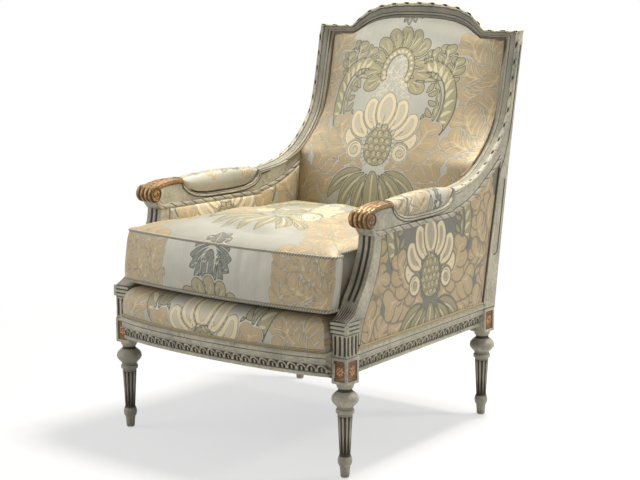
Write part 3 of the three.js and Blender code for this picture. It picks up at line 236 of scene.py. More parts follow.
def spaced(path, spacing):
    """The same path with points a given distance apart."""
    path = np.asarray(path, float)
    along = lengths_along(path)
    count = max(2, int(round(along[-1] / spacing)) + 1)
    wanted = np.linspace(0, along[-1], count)
    return np.column_stack([np.interp(wanted, along, column) for column in path.T])


def scaled(shares, low, high):
    shares = np.asarray(shares, float)
    return np.array(low) + (np.array(high) - np.array(low)) * shares


def unit(ways):
    return ways / np.linalg.norm(ways, axis=-1, keepdims=True)


def hump(away, half_width):
    """A half-round bump: one at its middle, zero from half_width on."""
    return np.sqrt(np.clip(1 - (away / half_width) ** 2, 0, 1))


def laid(x, y, z):
    """Points from their three coordinates, each spread over the others."""
    return np.stack(np.broadcast_arrays(x, y, z), axis=-1)


def between_lines(start, end, shares):
    """Points at shares of the way from each start to its end."""
    return start[:, None] + (end - start)[:, None] * np.asarray(shares)[None, :, None]


def along_side(y):
    return np.clip((np.asarray(y, float) - FRONT_FACE_Y) / (REAR_FRONT_Y - FRONT_FACE_Y), 0, 1)


def outer_x(y):
    return lerp(FRONT_OUTER_X, REAR_OUTER_X, along_side(y))


def inner_x(y):
    return outer_x(y) - lerp(ARM_WIDTH, STILE_WIDTH, along_side(y))


def stile_share(z):
    return (np.asarray(z, float) - BLOCK_TOP) / (SHOULDER_TOP - BLOCK_TOP)


def stile_back_y(z):
    share = stile_share(z)
    return REAR_FACE_Y + BACK_REACH * share - 4 * STILE_SAG * share * (1 - share)


def stile_front_y(z):
    return stile_back_y(z) - lerp(STILE_FOOT_DEPTH, STILE_TOP_DEPTH, stile_share(z))


SWEEP_SHARES = [
    (0, 0), (0.12, 0.014), (0.22, 0.029), (0.322, 0.05), (0.44, 0.09), (0.586, 0.168), (0.68, 0.242),
    (0.742, 0.298), (0.814, 0.381), (0.868, 0.464), (0.906, 0.564), (0.945, 0.71), (1, 1),
]
SWEEP_UNDER_SHARES = [
    (0, 0), (0.172, 0.076), (0.345, 0.178), (0.513, 0.331), (0.676, 0.517), (0.848, 0.746), (1, 1),
]
SWEEP_STEPS = 20
SWEEP = smooth_curve(
    scaled(
        SWEEP_SHARES,
        (SWEEP_START_Y, ARM_TOP - SWEEP_START_DROP),
        (float(stile_front_y(CREST_SEAT)), CREST_SEAT - SEAT_GAP),
    ),
    SWEEP_STEPS,
)
ARM_SWEEP = SWEEP[: SWEEP_STEPS // 2 + 1]
STILE_SWEEP = SWEEP[SWEEP_STEPS // 2 :]
ARM_SWEEP_UNDER = smooth_curve(
    scaled(
        SWEEP_UNDER_SHARES,
        (SWEEP_START_Y, ARM_UNDER + ARM_UNDER_RISE),
        (float(stile_front_y(JOINT_BACK_HEIGHT)), JOINT_BACK_HEIGHT),
    ),
    SWEEP_STEPS // 2,
)
STUMP_FRONT_SHARES = [
    (0, 0), (0.191, 0.064), (0.33, 0.15), (0.443, 0.251), (0.591, 0.364), (0.704, 0.476),
    (0.852, 0.658), (0.965, 0.84), (1, 1),
]
STUMP_BACK_SHARES = [
    (0, 0), (0.041, 0.05), (0.173, 0.222), (0.255, 0.284), (0.347, 0.349), (0.561, 0.475),
    (0.735, 0.602), (0.867, 0.732), (0.959, 0.866), (1, 1),
]
STUMP_FRONT = scaled(STUMP_FRONT_SHARES, (STUMP_FOOT_Y, CAP_TOP), (STUMP_FRONT_TOP_Y, ARM_UNDER))
STUMP_BACK = scaled(STUMP_BACK_SHARES, (STUMP_BACK_FOOT_Y, RAIL_TOP), (STUMP_BACK_TOP_Y, ARM_UNDER))


def read_y(curve, z):
    """The y of a rising curve at a height."""
    return np.interp(z, curve[:, 1], curve[:, 0])


# Face moulding of arms, stiles and crest: place across from the outer edge, groove and inward fall
FACE_MOULDING_SHARES = np.array([
    (0, 1, 0), (0.03, 0.35, 0), (0.09, 0, 0), (0.2, 0, 0), (0.26, 0.35, 0), (0.28, 0.9, 0.1),
    (0.32, 0.6, 0.15), (0.62, 0.6, 0.35), (0.64, 1, 0.4), (0.67, 0.5, 0.4), (0.78, 0.5, 0.5),
    (0.81, 1, 0.6), (0.86, 1, 0.9), (1, 1, 1),
])
FACE_QUIRK_SHARES = (0.285, 0.64, 0.815)
FACE_QUIRK_WIDTH_SHARE = 0.018
FACE_BANDS = ((0.3, 0.62, 0.34), (0.67, 0.79, 0.2), (0.84, 1.0, 0.3))
RIBBON_WIDTH_SHARE = 0.26
FACE_STEPS = 56
RIBBON_EYE_LENGTH = 8.5
RIBBON_EYE_SHARE = 0.085
RIBBON_EYE_DEPTH = 3.2
RIBBON_CUT_DEPTH = 1.1


def face_groove(across):
    return np.interp(across, FACE_MOULDING_SHARES[:, 0], FACE_MOULDING_SHARES[:, 1])


def face_fall(across):
    return np.interp(across, FACE_MOULDING_SHARES[:, 0], FACE_MOULDING_SHARES[:, 2])


def face_glaze(across):
    """Dark glaze left on the face moulding's quirks and flat bands."""
    glaze = sum(bump_at(across, at, FACE_QUIRK_WIDTH_SHARE) for at in FACE_QUIRK_SHARES)
    for low, high, strength in FACE_BANDS:
        glaze = np.maximum(glaze, strength * ((across > low) & (across < high)))
    return np.clip(glaze, 0, 1)


def ribbon_carving(along, across, pitch):
    """Depth cut into the carved ribbon, and how much dark glaze lies there."""
    phase = along / pitch
    from_eye = (phase - np.round(phase)) * pitch
    middle = RIBBON_WIDTH_SHARE / 2
    beside = (across - middle) / RIBBON_EYE_SHARE
    eye = np.clip(1.5 - np.hypot(from_eye / RIBBON_EYE_LENGTH, beside) * 1.5, 0, 1)
    lean = (across - middle) / middle
    strand = np.abs(np.sin(math.pi * (phase + lean * 0.28)))
    twist = np.clip(1 - strand * 4.5, 0, 1) * (1 - eye)
    inside = (across < RIBBON_WIDTH_SHARE) & (across > 0)
    depth = (eye * RIBBON_EYE_DEPTH + twist * RIBBON_CUT_DEPTH) * inside
    glaze = np.clip(eye * 1.1 + twist * 0.75, 0, 1) * inside
    return depth, glaze


# Making meshes


def in_frame(points):
    """Millimetres in the plan of the leg blocks, as metres in the chair's frame."""
    return (np.asarray(points, float) + (0.0, ROW_SHIFT, 0.0)) / MILLIMETRES


def leave_edit_mode():
    if bpy.context.mode != "OBJECT":
        bpy.ops.object.mode_set(mode="OBJECT")


def pick(piece):
    leave_edit_mode()
    bpy.ops.object.select_all(action="DESELECT")
    piece.select_set(True)
    bpy.context.view_layer.objects.active = piece


SMOOTH_ANGLE = math.radians(38)
MERGE_DISTANCE = 2e-6
FACING = 0.9


def set_field(mesh, name, values):
    values = np.asarray(values, np.float32)
    kind = "FLOAT" if values.ndim == 1 else "FLOAT_VECTOR"
    layer = mesh.attributes.get(name) or mesh.attributes.new(name, kind, "POINT")
    layer.data.foreach_set("value" if kind == "FLOAT" else "vector", values.ravel())


def turn_outwards():
    """Makes every face of the mesh in edit mode look outwards, and leaves edit mode."""
    bpy.ops.mesh.select_all(action="SELECT")
    bpy.ops.mesh.normals_make_consistent(inside=False)
    leave_edit_mode()


def sleeve(name, rings, fields=None, closed_ends=True, angle=SMOOTH_ANGLE):
    """A tube through rings of points: a grid laid round them, sewn along its seam and closed."""
    rings = np.asarray(rings, float)
    rings = np.concatenate((rings, rings[:, :1]), axis=1)
    along, around = rings.shape[:2]
    leave_edit_mode()
    bpy.ops.object.select_all(action="DESELECT")
    bpy.ops.mesh.primitive_grid_add(x_subdivisions=around - 1, y_subdivisions=along - 1)
    piece = bpy.context.object
    piece.name = name
    mesh = piece.data
    mesh.name = name
    mesh.vertices.foreach_set("co", in_frame(rings.reshape(-1, 3)).astype(np.float32).ravel())
    for field, values in (fields or {}).items():
        values = np.asarray(values, float)
        values = np.concatenate((values, values[:, :1]), axis=1)
        set_field(mesh, field, values.reshape(along * around, *values.shape[2:]))
    bpy.ops.object.mode_set(mode="EDIT")
    bpy.ops.mesh.select_all(action="SELECT")
    bpy.ops.mesh.remove_doubles(threshold=MERGE_DISTANCE)
    if closed_ends:
        bpy.ops.mesh.fill_holes(sides=0)
    turn_outwards()
    bpy.ops.object.shade_smooth_by_angle(angle=angle)
    return piece


def mirror_copy(piece, name):
    """A copy on the other side of the chair, with its own mesh."""
    pick(piece)
    bpy.ops.object.duplicate(linked=False)
    copy = bpy.context.object
    copy.name = name
    copy.data.name = name
    copy.scale = (-1, 1, 1)
    bpy.ops.object.transform_apply(location=False, rotation=False, scale=True)
    bpy.ops.object.mode_set(mode="EDIT")
    turn_outwards()
    return copy


def join(name, pieces):
    leave_edit_mode()
    bpy.ops.object.select_all(action="DESELECT")
    for piece in pieces:
        piece.select_set(True)
    bpy.context.view_layer.objects.active = pieces[0]
    if len(pieces) > 1:
        bpy.ops.object.join()
    joined = bpy.context.object
    joined.name = name
    joined.data.name = name
    return joined


def dress(piece, material):
    piece.data.materials.clear()
    piece.data.materials.append(material)
    return piece


def settle(piece, body, slot, *nodes):
    """Parents a finished piece to its body and hides the nodes it replaces."""
    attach(piece, body)
    if nodes:
        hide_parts(*nodes)
    return piece


def box_piece(name, low, high):
    """A block between two corners, in millimetres."""
    low = in_frame(low)
    high = in_frame(high)
    leave_edit_mode()
    bpy.ops.object.select_all(action="DESELECT")
    bpy.ops.mesh.primitive_cube_add(size=1, location=(low + high) / 2)
    piece = bpy.context.object
    piece.name = name
    piece.data.name = name
    piece.scale = high - low
    bpy.ops.object.transform_apply(location=True, rotation=True, scale=True)
    return piece


def select_facing(piece, direction):
    """Selects in edit mode the faces that look along a direction."""
    mesh = bmesh.from_edit_mesh(piece.data)
    for face in mesh.faces:
        face.select_set(face.normal.dot(direction) > FACING)
    mesh.select_flush_mode()
    bmesh.update_edit_mesh(piece.data)


# Shader maths


class Wire:
    """A socket of a material that takes part in sums."""

    def __init__(self, recipe, socket):
        self.recipe = recipe
        self.socket = socket

    def sum(self, operation, *values):
        return self.recipe.node("ShaderNodeMath", {"operation": operation}, dict(enumerate(values)))

    def __add__(self, other):
        return self.sum("ADD", self, other)

    __radd__ = __add__

    def __sub__(self, other):
        return self.sum("SUBTRACT", self, other)

    def __rsub__(self, other):
        return self.sum("SUBTRACT", other, self)

    def __mul__(self, other):
        return self.sum("MULTIPLY", self, other)

    __rmul__ = __mul__

    def __truediv__(self, other):
        return self.sum("DIVIDE", self, other)

    def __abs__(self):
        return self.sum("ABSOLUTE", self)

    def sine(self):
        return self.sum("SINE", self)

    def clipped(self):
        return self.recipe.node("ShaderNodeClamp", {}, {0: self})

    def most(self, other):
        return self.sum("MAXIMUM", self, other)

    def between(self, low, high):
        """Nought below low, one above high and even between them."""
        return ((self - low) / (high - low)).clipped()

    def part(self, axis):
        return self.recipe.node("ShaderNodeSeparateXYZ", {}, {0: self}, output=axis)


class Recipe:
    """The nodes of one material."""

    def __init__(self, name):
        self.material = bpy.data.materials.new(name)
        self.material.use_nodes = True
        self.tree = self.material.node_tree
        self.shader = self.tree.nodes["Principled BSDF"]
        self.output = self.tree.nodes["Material Output"]

    def feed(self, socket, value):
        if isinstance(value, Wire):
            self.tree.links.new(value.socket, socket)
        elif hasattr(value, "__len__") and len(socket.default_value) > len(value):
            socket.default_value = (*value, 1.0)
        else:
            socket.default_value = value

    def node(self, kind, settings, inputs, output=0):
        node = self.tree.nodes.new(kind)
        for key, value in settings.items():
            setattr(node, key, value)
        for key, value in inputs.items():
            self.feed(node.inputs[key], value)
        return Wire(self, node.outputs[output])

    def mix(self, factor, low, high):
        """One colour turning into another."""
        node = self.tree.nodes.new("ShaderNodeMix")
        node.data_type = "RGBA"
        sockets = [s for s in node.inputs if s.enabled]
        for socket, value in zip(sockets, (factor, low, high)):
            self.feed(socket, value)
        return Wire(self, next(s for s in node.outputs if s.enabled))

    def field(self, name, output="Fac"):
        return self.node("ShaderNodeAttribute", {"attribute_name": name}, {}, output=output)

    def noise(self, place, scale, detail=3.0, stretch=None):
        if stretch:
            place = self.node("ShaderNodeVectorMath", {"operation": "MULTIPLY"}, {0: place, 1: stretch})
        return self.node(
            "ShaderNodeTexNoise", {}, {"Vector": place, "Scale": scale, "Detail": detail},
        )

    def own_place(self):
        return self.node("ShaderNodeTexCoord", {}, {}, output="Object")

    def bump(self, height, strength, distance):
        return self.node(
            "ShaderNodeBump", {}, {"Height": height, "Strength": strength, "Distance": distance},
        )

    def finish(self, **sockets):
        for name, value in sockets.items():
            self.feed(self.shader.inputs[name.replace("_", " ").title().replace("Ior", "IOR")], value)
        return self.material


def size_of(name):
    """One of the armchair's settings, in millimetres."""
    return getattr(bpy.context.scene.armchair_sizes, name) * MILLIMETRES


# Finishes


def painted_wood(name, pale, base, dark, colours):
    """Old paint rubbed back on the crests and glazed dark in the hollows, gilded where it is marked."""
    recipe = Recipe(name)
    place_there = recipe.own_place()
    glaze = recipe.field("glaze")
    gild = recipe.field("gild")
    broad = recipe.noise(place_there, 14.0)
    fine = recipe.noise(place_there, 120.0, 5.0)
    specks = recipe.noise(place_there, 420.0, 2.0)
    grain = recipe.noise(place_there, 60.0, 4.0, (1.0, 1.0, 0.12))
    worn = (broad * 0.6 + fine * 0.7 + grain * 0.3 - 0.38).between(0.2, 0.62)
    paint = recipe.mix(worn, base, pale)
    dirt = (fine * 0.8 + specks * 0.6 - 0.28).between(0.52, 0.72)
    paint = recipe.mix(dirt * 0.45, paint, dark)
    hollow = (glaze * 1.25 + (fine - 0.5) * 0.5).between(0.12, 0.95)
    paint = recipe.mix(hollow, paint, colours.glaze)
    bright = (fine * 0.9 + broad * 0.4 - glaze * 0.8).between(0.45, 0.85)
    gold = recipe.mix(bright, colours.gilding_dark, colours.gilding)
    shown = (gild + (fine - 0.5) * 0.3).between(0.35, 0.65)
    height = fine * 0.5 + specks * 0.3 + grain * 0.4
    return recipe.finish(
        base_color=recipe.mix(shown, paint, gold),
        metallic=shown * 0.55,
        roughness=0.46 + worn * 0.16 + hollow * 0.15 - shown * 0.14,
        normal=recipe.bump(height, 0.35, 0.0006),
    )


def bronze(name, colours):
    """Chased metal of the rosettes, bright on the crests."""
    recipe = Recipe(name)
    place_there = recipe.own_place()
    fine = recipe.noise(place_there, 300.0, 4.0)
    broad = recipe.noise(place_there, 90.0)
    relief = recipe.field("glaze")
    tone = (fine * 1.1 + broad * 0.5 - relief * 0.4).between(0.45, 0.95)
    return recipe.finish(
        base_color=recipe.mix(tone, colours.bronze_dark, colours.bronze),
        metallic=0.45,
        roughness=0.45 - tone * 0.15,
        normal=recipe.bump(fine + broad, 0.8, 0.0012),
    )


def plain_wood(name):
    recipe = Recipe(name)
    place_there = recipe.own_place()
    grain = recipe.noise(place_there, 22.0, 6.0, (1.0, 9.0, 9.0))
    pores = recipe.noise(place_there, 150.0, 2.0, (1.0, 9.0, 9.0))
    tone = (grain * 0.8 + pores * 0.3).between(0.3, 0.8)
    return recipe.finish(
        base_color=recipe.mix(tone, (0.33, 0.22, 0.11), (0.56, 0.41, 0.24)),
        roughness=0.62 + pores * 0.2,
        normal=recipe.bump(grain + pores * 0.5, 0.4, 0.0008),
    )


def steel(name):
    recipe = Recipe(name)
    scratches = recipe.noise(recipe.own_place(), 600.0, 3.0, (1.0, 0.1, 1.0))
    return recipe.finish(
        base_color=recipe.mix(scratches, (0.42, 0.42, 0.41), (0.62, 0.62, 0.6)),
        metallic=0.9,
        roughness=0.32 + scratches * 0.2,
    )


def woven(name, low, high, pitch, roughness):
    """Plain woven cloth with crossing threads, by the piece's own place."""
    recipe = Recipe(name)
    place_there = recipe.own_place()
    turns = TURN / pitch
    over = (place_there.part(0) * turns).sine()
    under = (place_there.part(1) * turns).sine()
    weave = (over * under).between(-1.0, 1.0)
    slub = recipe.noise(place_there, 180.0, 3.0)
    tone = (weave * 0.5 + slub * 0.7).between(0.2, 0.95)
    return recipe.finish(
        base_color=recipe.mix(tone, low, high),
        roughness=roughness,
        normal=recipe.bump(weave + slub * 0.4, 0.6, 0.0006),
    )


SOFT_EDGE = 0.6
RIB_PITCH = 0.0011
HATCH_PITCH = 7.0
DYES = ("tan", "olive", "ivory", "slate", "lace", "vein", "line")


def shown_where(field, edge=SOFT_EDGE):
    return field.between(-edge, edge)


def outline_of(field, low, high):
    """One between two depths inside a shape's edge."""
    return field.between(low - 0.5, low + 0.2) * (1.0 - field.between(high - 0.2, high + 0.5))


def dimmed(colour, share):
    return tuple(part * share for part in colour)


def damask(name, colours, ground_shade_share=1.0):
    """Figured silk: satin ground, dyed leaves and petals, and a fine cross rib."""
    recipe = Recipe(name)
    depth = {}
    for letter, start in zip("abc", range(0, len(DYES), 3)):
        field = recipe.field(f"dyes_{letter}", "Vector")
        for axis, dye in enumerate(DYES[start : start + 3]):
            depth[dye] = field.part(axis)
    cloth = recipe.node("ShaderNodeUVMap", {"uv_map": "cloth"}, {})
    across, along = cloth.part(0), cloth.part(1)
    rib = (along * (TURN / RIB_PITCH)).sine() * 0.5 + 0.5
    threads = recipe.noise(cloth, 900.0, 2.0, (1.0, 0.15, 1.0))
    shots = recipe.noise(cloth, 260.0, 2.0, (1.0, 0.08, 1.0))
    soft = recipe.noise(cloth, 18.0, 2.0)
    lace = recipe.noise(cloth, 210.0, 1.0) - 0.5
    filigree = 1.0 - abs(lace).between(0.015, 0.05)
    hatch = ((across * 0.75 + along) * (TURN / HATCH_PITCH * MILLIMETRES)).sine().between(-0.35, 0.35)
    # Painted shade: the satin ground is dimmed by the given share on pieces turned away from the lamps
    grounds = [dimmed(colour, ground_shade_share) for colour in (colours.ground, colours.ground_light)]
    # Painted sheen: the ground turns toward its shining colour in random streaks
    ground = recipe.mix(soft * 0.6 + shots * 0.5, *grounds)
    # Painted sheen: the leaves turn toward their lit thread colour in random streaks
    leaf = recipe.mix(threads * 0.5 + soft * 0.6, colours.tan, colours.tan_light)
    band = recipe.mix((hatch * 0.2 + threads * 0.5).clipped(), colours.olive, colours.olive_light)
    petal = recipe.mix(threads * 0.6, colours.ivory, colours.tan_light)
    dark = recipe.mix(threads * 0.3 + filigree * 0.45, colours.slate, colours.ground_light)
    layers = (
        (shown_where(depth["tan"]) * 0.92, leaf),
        (outline_of(depth["tan"], 0.0, 1.3) * 0.28, colours.line),
        (shown_where(depth["olive"]) * 0.85, band),
        (depth["olive"].between(3.0, 5.0) * filigree * 0.4, colours.tan_light),
        (outline_of(depth["olive"], 0.0, 1.7) * 0.75, colours.line),
        (shown_where(depth["ivory"]), petal),
        (depth["ivory"].between(14.0, 15.5) * 0.6, ground),
        (outline_of(depth["ivory"], 12.6, 14.2) * 0.4, colours.line),
        (outline_of(depth["ivory"], 0.0, 1.6) * 0.7, colours.line),
        (shown_where(depth["slate"]) * 0.9, dark),
        (outline_of(depth["slate"], 0.0, 1.4) * 0.8, colours.slate),
        (shown_where(depth["lace"]) * 0.6, colours.ivory),
        (shown_where(depth["vein"]) * 0.42, colours.ivory),
        (shown_where(depth["line"]) * 0.6, colours.line),
    )
    colour = ground
    for share, dye in layers:
        colour = recipe.mix(share, colour, dye)
    figured = depth["tan"]
    for dye in DYES[1:5]:
        figured = figured.most(depth[dye])
    figured = shown_where(figured)
    height = rib * 0.5 + threads * 0.6 + figured * 1.2
    return recipe.finish(
        base_color=colour,
        roughness=0.38 + figured * 0.08 + threads * 0.08,
        metallic=0.3 - figured * 0.16,
        normal=recipe.bump(height, 0.3, 0.0004),
        sheen_weight=0.15,
        sheen_roughness=0.4,
    )


def braid(name, low, high):
    """Twisted trimming, with painted shade between its strands."""
    recipe = Recipe(name)
    glaze = recipe.field("glaze")
    fine = recipe.noise(recipe.own_place(), 700.0, 2.0)
    # Painted shade: the glaze field darkens the trimming between its strands
    tone = (1.05 - glaze * 1.1 + (fine - 0.5) * 0.5).between(0.1, 0.95)
    return recipe.finish(
        base_color=recipe.mix(tone, low, high),
        roughness=0.55,
        normal=recipe.bump(fine, 0.5, 0.0005),
        sheen_weight=0.2,
    )


MATERIALS = {}
# Painted shade: the outside panels keep this share of the satin ground's colour
OUTSIDE_GROUND_SHADE = 0.42
LEG_PAINT_SHARE = 0.8


def finishes(colours):
    """Makes every finish once."""
    if MATERIALS:
        return MATERIALS
    MATERIALS.update({
        "paint": painted_wood(
            "aged_paint", colours.paint_light, colours.paint, colours.paint_dark, colours,
        ),
        "leg_paint": painted_wood(
            "leg_paint", dimmed(colours.paint_light, LEG_PAINT_SHARE), colours.paint, colours.glaze, colours,
        ),
        "bronze": bronze("chased_bronze", colours),
        "plain_wood": plain_wood("hidden_wood"),
        "steel": steel("glide_steel"),
        "damask": damask("figured_silk", colours),
        "outer_damask": damask("figured_silk_outside", colours, OUTSIDE_GROUND_SHADE),
        "webbing": woven("jute_webbing", (0.2, 0.14, 0.07), (0.46, 0.36, 0.22), 0.004, 0.85),
        "lining": woven("black_lining", (0.01, 0.01, 0.012), (0.05, 0.05, 0.055), 0.0015, 0.9),
        "gimp": braid("pale_gimp", colours.glaze, colours.gimp),
        "gold_gimp": braid("gold_gimp", colours.glaze, colours.gimp_gold),
        "dark_gimp": braid("dark_gimp", colours.glaze, colours.gimp_dark),
        "welt": braid("welt_braid", colours.glaze, colours.welt),
    })
    return MATERIALS


# The figured pattern


NOWHERE = -30.0
STROKE_REACH = 12.0
LEAF_STEPS = 14
LOBE_STEPS = 6
STEM_STEPS = 16
STEM_SHARE = 0.19
LOBE_LEAN = 0.9
LOBE_CURL = 0.22
ARC_STEPS = 25
VEIN = 1.6
GAP = 3.4


class Cloth:
    """Cloth laid on a piece: each point's place on it in millimetres, and its depth in each dye."""

    def __init__(self, across, along):
        self.across = np.asarray(across, float)
        self.along = np.asarray(along, float)
        self.depths = {dye: np.full(self.across.shape, NOWHERE) for dye in DYES}

    def stroke(self, dye, path, half_widths, gap=0.0):
        """A line of changing width through points, with a gap kept clear round it."""
        path = np.asarray(path, float)
        half_widths = np.broadcast_to(np.asarray(half_widths, float), len(path))
        reach = half_widths.max() + STROKE_REACH
        low, high = path.min(0) - reach, path.max(0) + reach
        near = (self.across > low[0]) & (self.across < high[0])
        near &= (self.along > low[1]) & (self.along < high[1])
        if not near.any():
            return
        u, v = self.across[near], self.along[near]
        best = np.full(u.shape, NOWHERE)
        for start, end, wide, narrow in zip(path[:-1], path[1:], half_widths[:-1], half_widths[1:]):
            step = end - start
            size = max(step @ step, 1e-9)
            share = np.clip(((u - start[0]) * step[0] + (v - start[1]) * step[1]) / size, 0, 1)
            away = np.hypot(u - start[0] - step[0] * share, v - start[1] - step[1] * share)
            best = np.maximum(best, lerp(wide, narrow, share) - away)
        if gap:
            for other in DYES:
                self.depths[other][near] = np.minimum(self.depths[other][near], -best - gap)
        self.depths[dye][near] = np.maximum(self.depths[dye][near], best)

    def leaf(self, dye, start, end, width, curl=0.0, steps=LEAF_STEPS, gap=GAP, fullness=0.75):
        """A plain leaf from its stalk to its tip, bent sideways by curl."""
        path = bent_path(start, end, curl, steps)
        share = np.linspace(0, 1, steps + 1)
        self.stroke(dye, path, width / 2 * np.sin(math.pi * share**fullness) ** 0.8, gap)
        return path

    def acanthus(self, dye, start, end, width, curl=0.0, lobes=5, lit="vein"):
        """A feathered leaf: pairs of lobes that lean forward from its stem, with veins."""
        path = bent_path(start, end, curl, STEM_STEPS)
        way = unit(np.gradient(path, axis=0))
        share = np.linspace(0, 1, STEM_STEPS + 1)
        spacing = lengths_along(path)[-1] / lobes
        veins = []
        for i in range(lobes):
            along = (i + 0.3) / lobes
            at = int(round(along * STEM_STEPS))
            reach = width * 0.62 * math.sin(math.pi * lerp(0.26, 0.9, along)) ** 0.8
            for hand in (1, -1):
                across = np.array((-way[at, 1], way[at, 0])) * hand
                tip = path[at] + (across + way[at] * LOBE_LEAN) * reach
                wide = min(spacing * 1.7, reach * 1.3)
                bend = -hand * LOBE_CURL
                self.leaf(dye, path[at], tip, wide, bend, LOBE_STEPS, GAP, 1.1)
                veins.append(bent_path(path[at], lerp(path[at], tip, 0.75), bend, 4))
        self.stroke(dye, path, width * STEM_SHARE * (1 - 0.65 * share))
        self.leaf(dye, path[-6], path[-1] + way[-1] * width * 0.12, width * 0.36, 0.0, LOBE_STEPS, 0.0)
        for vein in veins:
            self.stroke(lit, vein, VEIN * 0.8)
        self.stroke(lit, path[:-2], VEIN)
        return path

    def spiral(self, dye, centre, radius, turns, start_angle, half_width, hand=1):
        share = np.linspace(0, 1, int(20 * turns) + 6)
        angle = start_angle + hand * TURN * turns * share
        reach = radius * (1 - 0.82 * share)
        path = angled(centre, (reach, reach), angle)
        self.stroke(dye, path, lerp(half_width, half_width * 0.6, share))

    def arc(self, dye, centre, radii, from_angle, to_angle, half_width, taper=0.0):
        """Part of an oval band, thinner towards its ends by taper."""
        share = np.linspace(0, 1, ARC_STEPS)
        angle = lerp(from_angle, to_angle, share)
        self.stroke(dye, angled(centre, radii, angle), half_width * (1 - taper * np.abs(2 * share - 1)))

    def disc(self, dye, centre, radius, gap=0.0):
        centre = np.array(centre, float)
        self.stroke(dye, [centre, centre + (0.01, 0.0)], radius, gap)

    def oval(self, dye, centre, radii, gap=0.0):
        """A tall round shape."""
        tall = radii[1] - radii[0]
        self.stroke(dye, [(centre[0], centre[1] - tall), (centre[0], centre[1] + tall)], radii[0], gap)

    def clear(self, centre, radii):
        """Takes every dye out from under an oval."""
        tall = radii[1] - radii[0]
        height = np.clip(self.along - centre[1], -tall, tall)
        away = np.hypot(self.across - centre[0], self.along - centre[1] - height) - radii[0]
        for dye in DYES:
            self.depths[dye] = np.minimum(self.depths[dye], away)


def bent_path(start, end, curl, steps):
    """A curve between two places, its middle pushed sideways by a share of its length."""
    start, end = np.array(start, float), np.array(end, float)
    step = end - start
    middle = (start + end) / 2 + np.array((-step[1], step[0])) * curl
    share = np.linspace(0, 1, steps + 1)[:, None]
    return (1 - share) ** 2 * start + 2 * share * (1 - share) * middle + share**2 * end


def angled(centre, radii, angle):
    """Places on an oval at one angle or at many."""
    return np.stack((centre[0] + np.cos(angle) * radii[0], centre[1] + np.sin(angle) * radii[1]), axis=-1)


def beside(centre, side, place_there):
    return (centre[0] + side * place_there[0], centre[1] + place_there[1])


# Wings beside the heart, drooping leaves under it and petals round it: stalk, tip, width, curl
WINGS = [
    ((40, -84), (178, -122), 70, 0.2), ((52, -60), (206, -46), 80, 0.22), ((62, -30), (150, 74), 66, -0.34),
]
DROOPING = [
    ((34, -76), (150, -160), 46, 0.3), ((24, -80), (106, -200), 46, 0.24), ((12, -80), (54, -224), 44, 0.14),
]
PETALS = [
    ((50, 4), (112, 38), 50, -0.24), ((40, 22), (98, 92), 56, -0.2), ((20, 38), (54, 130), 56, -0.1),
    ((0, 44), (0, 146), 62, 0.0),
]
OVAL_RADII = (44.0, 55.0)
SCALE_SPACING = 19.0
PETAL_SCROLL = (76.0, -14.0)
PETAL_FULLNESS = 1.35
CROWN_CENTRE = (0.0, 214.0)
CROWN_LOBES = 11
CROWN_SPAN = math.radians(232)
CROWN_ROOT = (52.0, 62.0)
CROWN_TIP = (106.0, 118.0)
CROWN_ARCH = (44.0, 54.0)
CROWN_BEADS = 15
CRESCENT_EYE = (112.0, 122.0)
CRESCENT_ENDS = (-math.radians(112), math.radians(104))
CRESCENT_RADII = (76.0, 106.0)
INNER_CRESCENT = (44.0, 70.0)
CRESCENT_LEAFLETS = 13


def heart(cloth, centre):
    """The lacy heart of the flower, with short stamens round it."""
    cloth.oval("olive", centre, OVAL_RADII, GAP)
    rows = int(OVAL_RADII[1] * 2 / SCALE_SPACING) + 1
    for row in range(rows):
        v = -OVAL_RADII[1] + (row + 0.7) * SCALE_SPACING
        half = OVAL_RADII[0] * math.sqrt(max(0.0, 1 - (v / (OVAL_RADII[1] + 8)) ** 2)) - 4
        shift = (row % 2) * SCALE_SPACING / 2
        for i in range(-3, 4):
            u = i * SCALE_SPACING + shift
            if abs(u) < half:
                spot = (centre[0] + u, centre[1] + v)
                cloth.arc("line", spot, (SCALE_SPACING / 2, SCALE_SPACING / 2), -0.3, math.pi + 0.3, 1.5)
                turned = math.pi * (row % 3) / 2
                cloth.spiral("lace", (spot[0], spot[1] + 1), 6.5, 0.9, turned, 1.7, 1 - 2 * (i % 2))
    for i in range(27):
        angle = math.pi / 2 + (i / 26 - 0.5) * math.radians(290)
        root = angled(centre, [r + 2 for r in OVAL_RADII], angle)
        tip = angled(centre, [r + 11 for r in OVAL_RADII], angle)
        cloth.stroke("line", [root, tip], 1.6)


def petals(cloth, centre):
    """Pale petals round the top of the heart, the lowest pair curled into scrolls."""
    for root, tip, width, curl in PETALS:
        for side in ((1, -1) if root[0] else (1,)):
            path = cloth.leaf(
                "ivory", beside(centre, side, root), beside(centre, side, tip), width, curl * side,
                fullness=PETAL_FULLNESS,
            )
            cloth.stroke("line", path[2:7], 1.5)
    for side in (1, -1):
        scroll = beside(centre, side, PETAL_SCROLL)
        cloth.disc("ivory", scroll, 25.0, GAP)
        cloth.spiral("line", scroll, 19.0, 1.5, math.pi * (0.5 + side * 0.1), 1.8, -side)


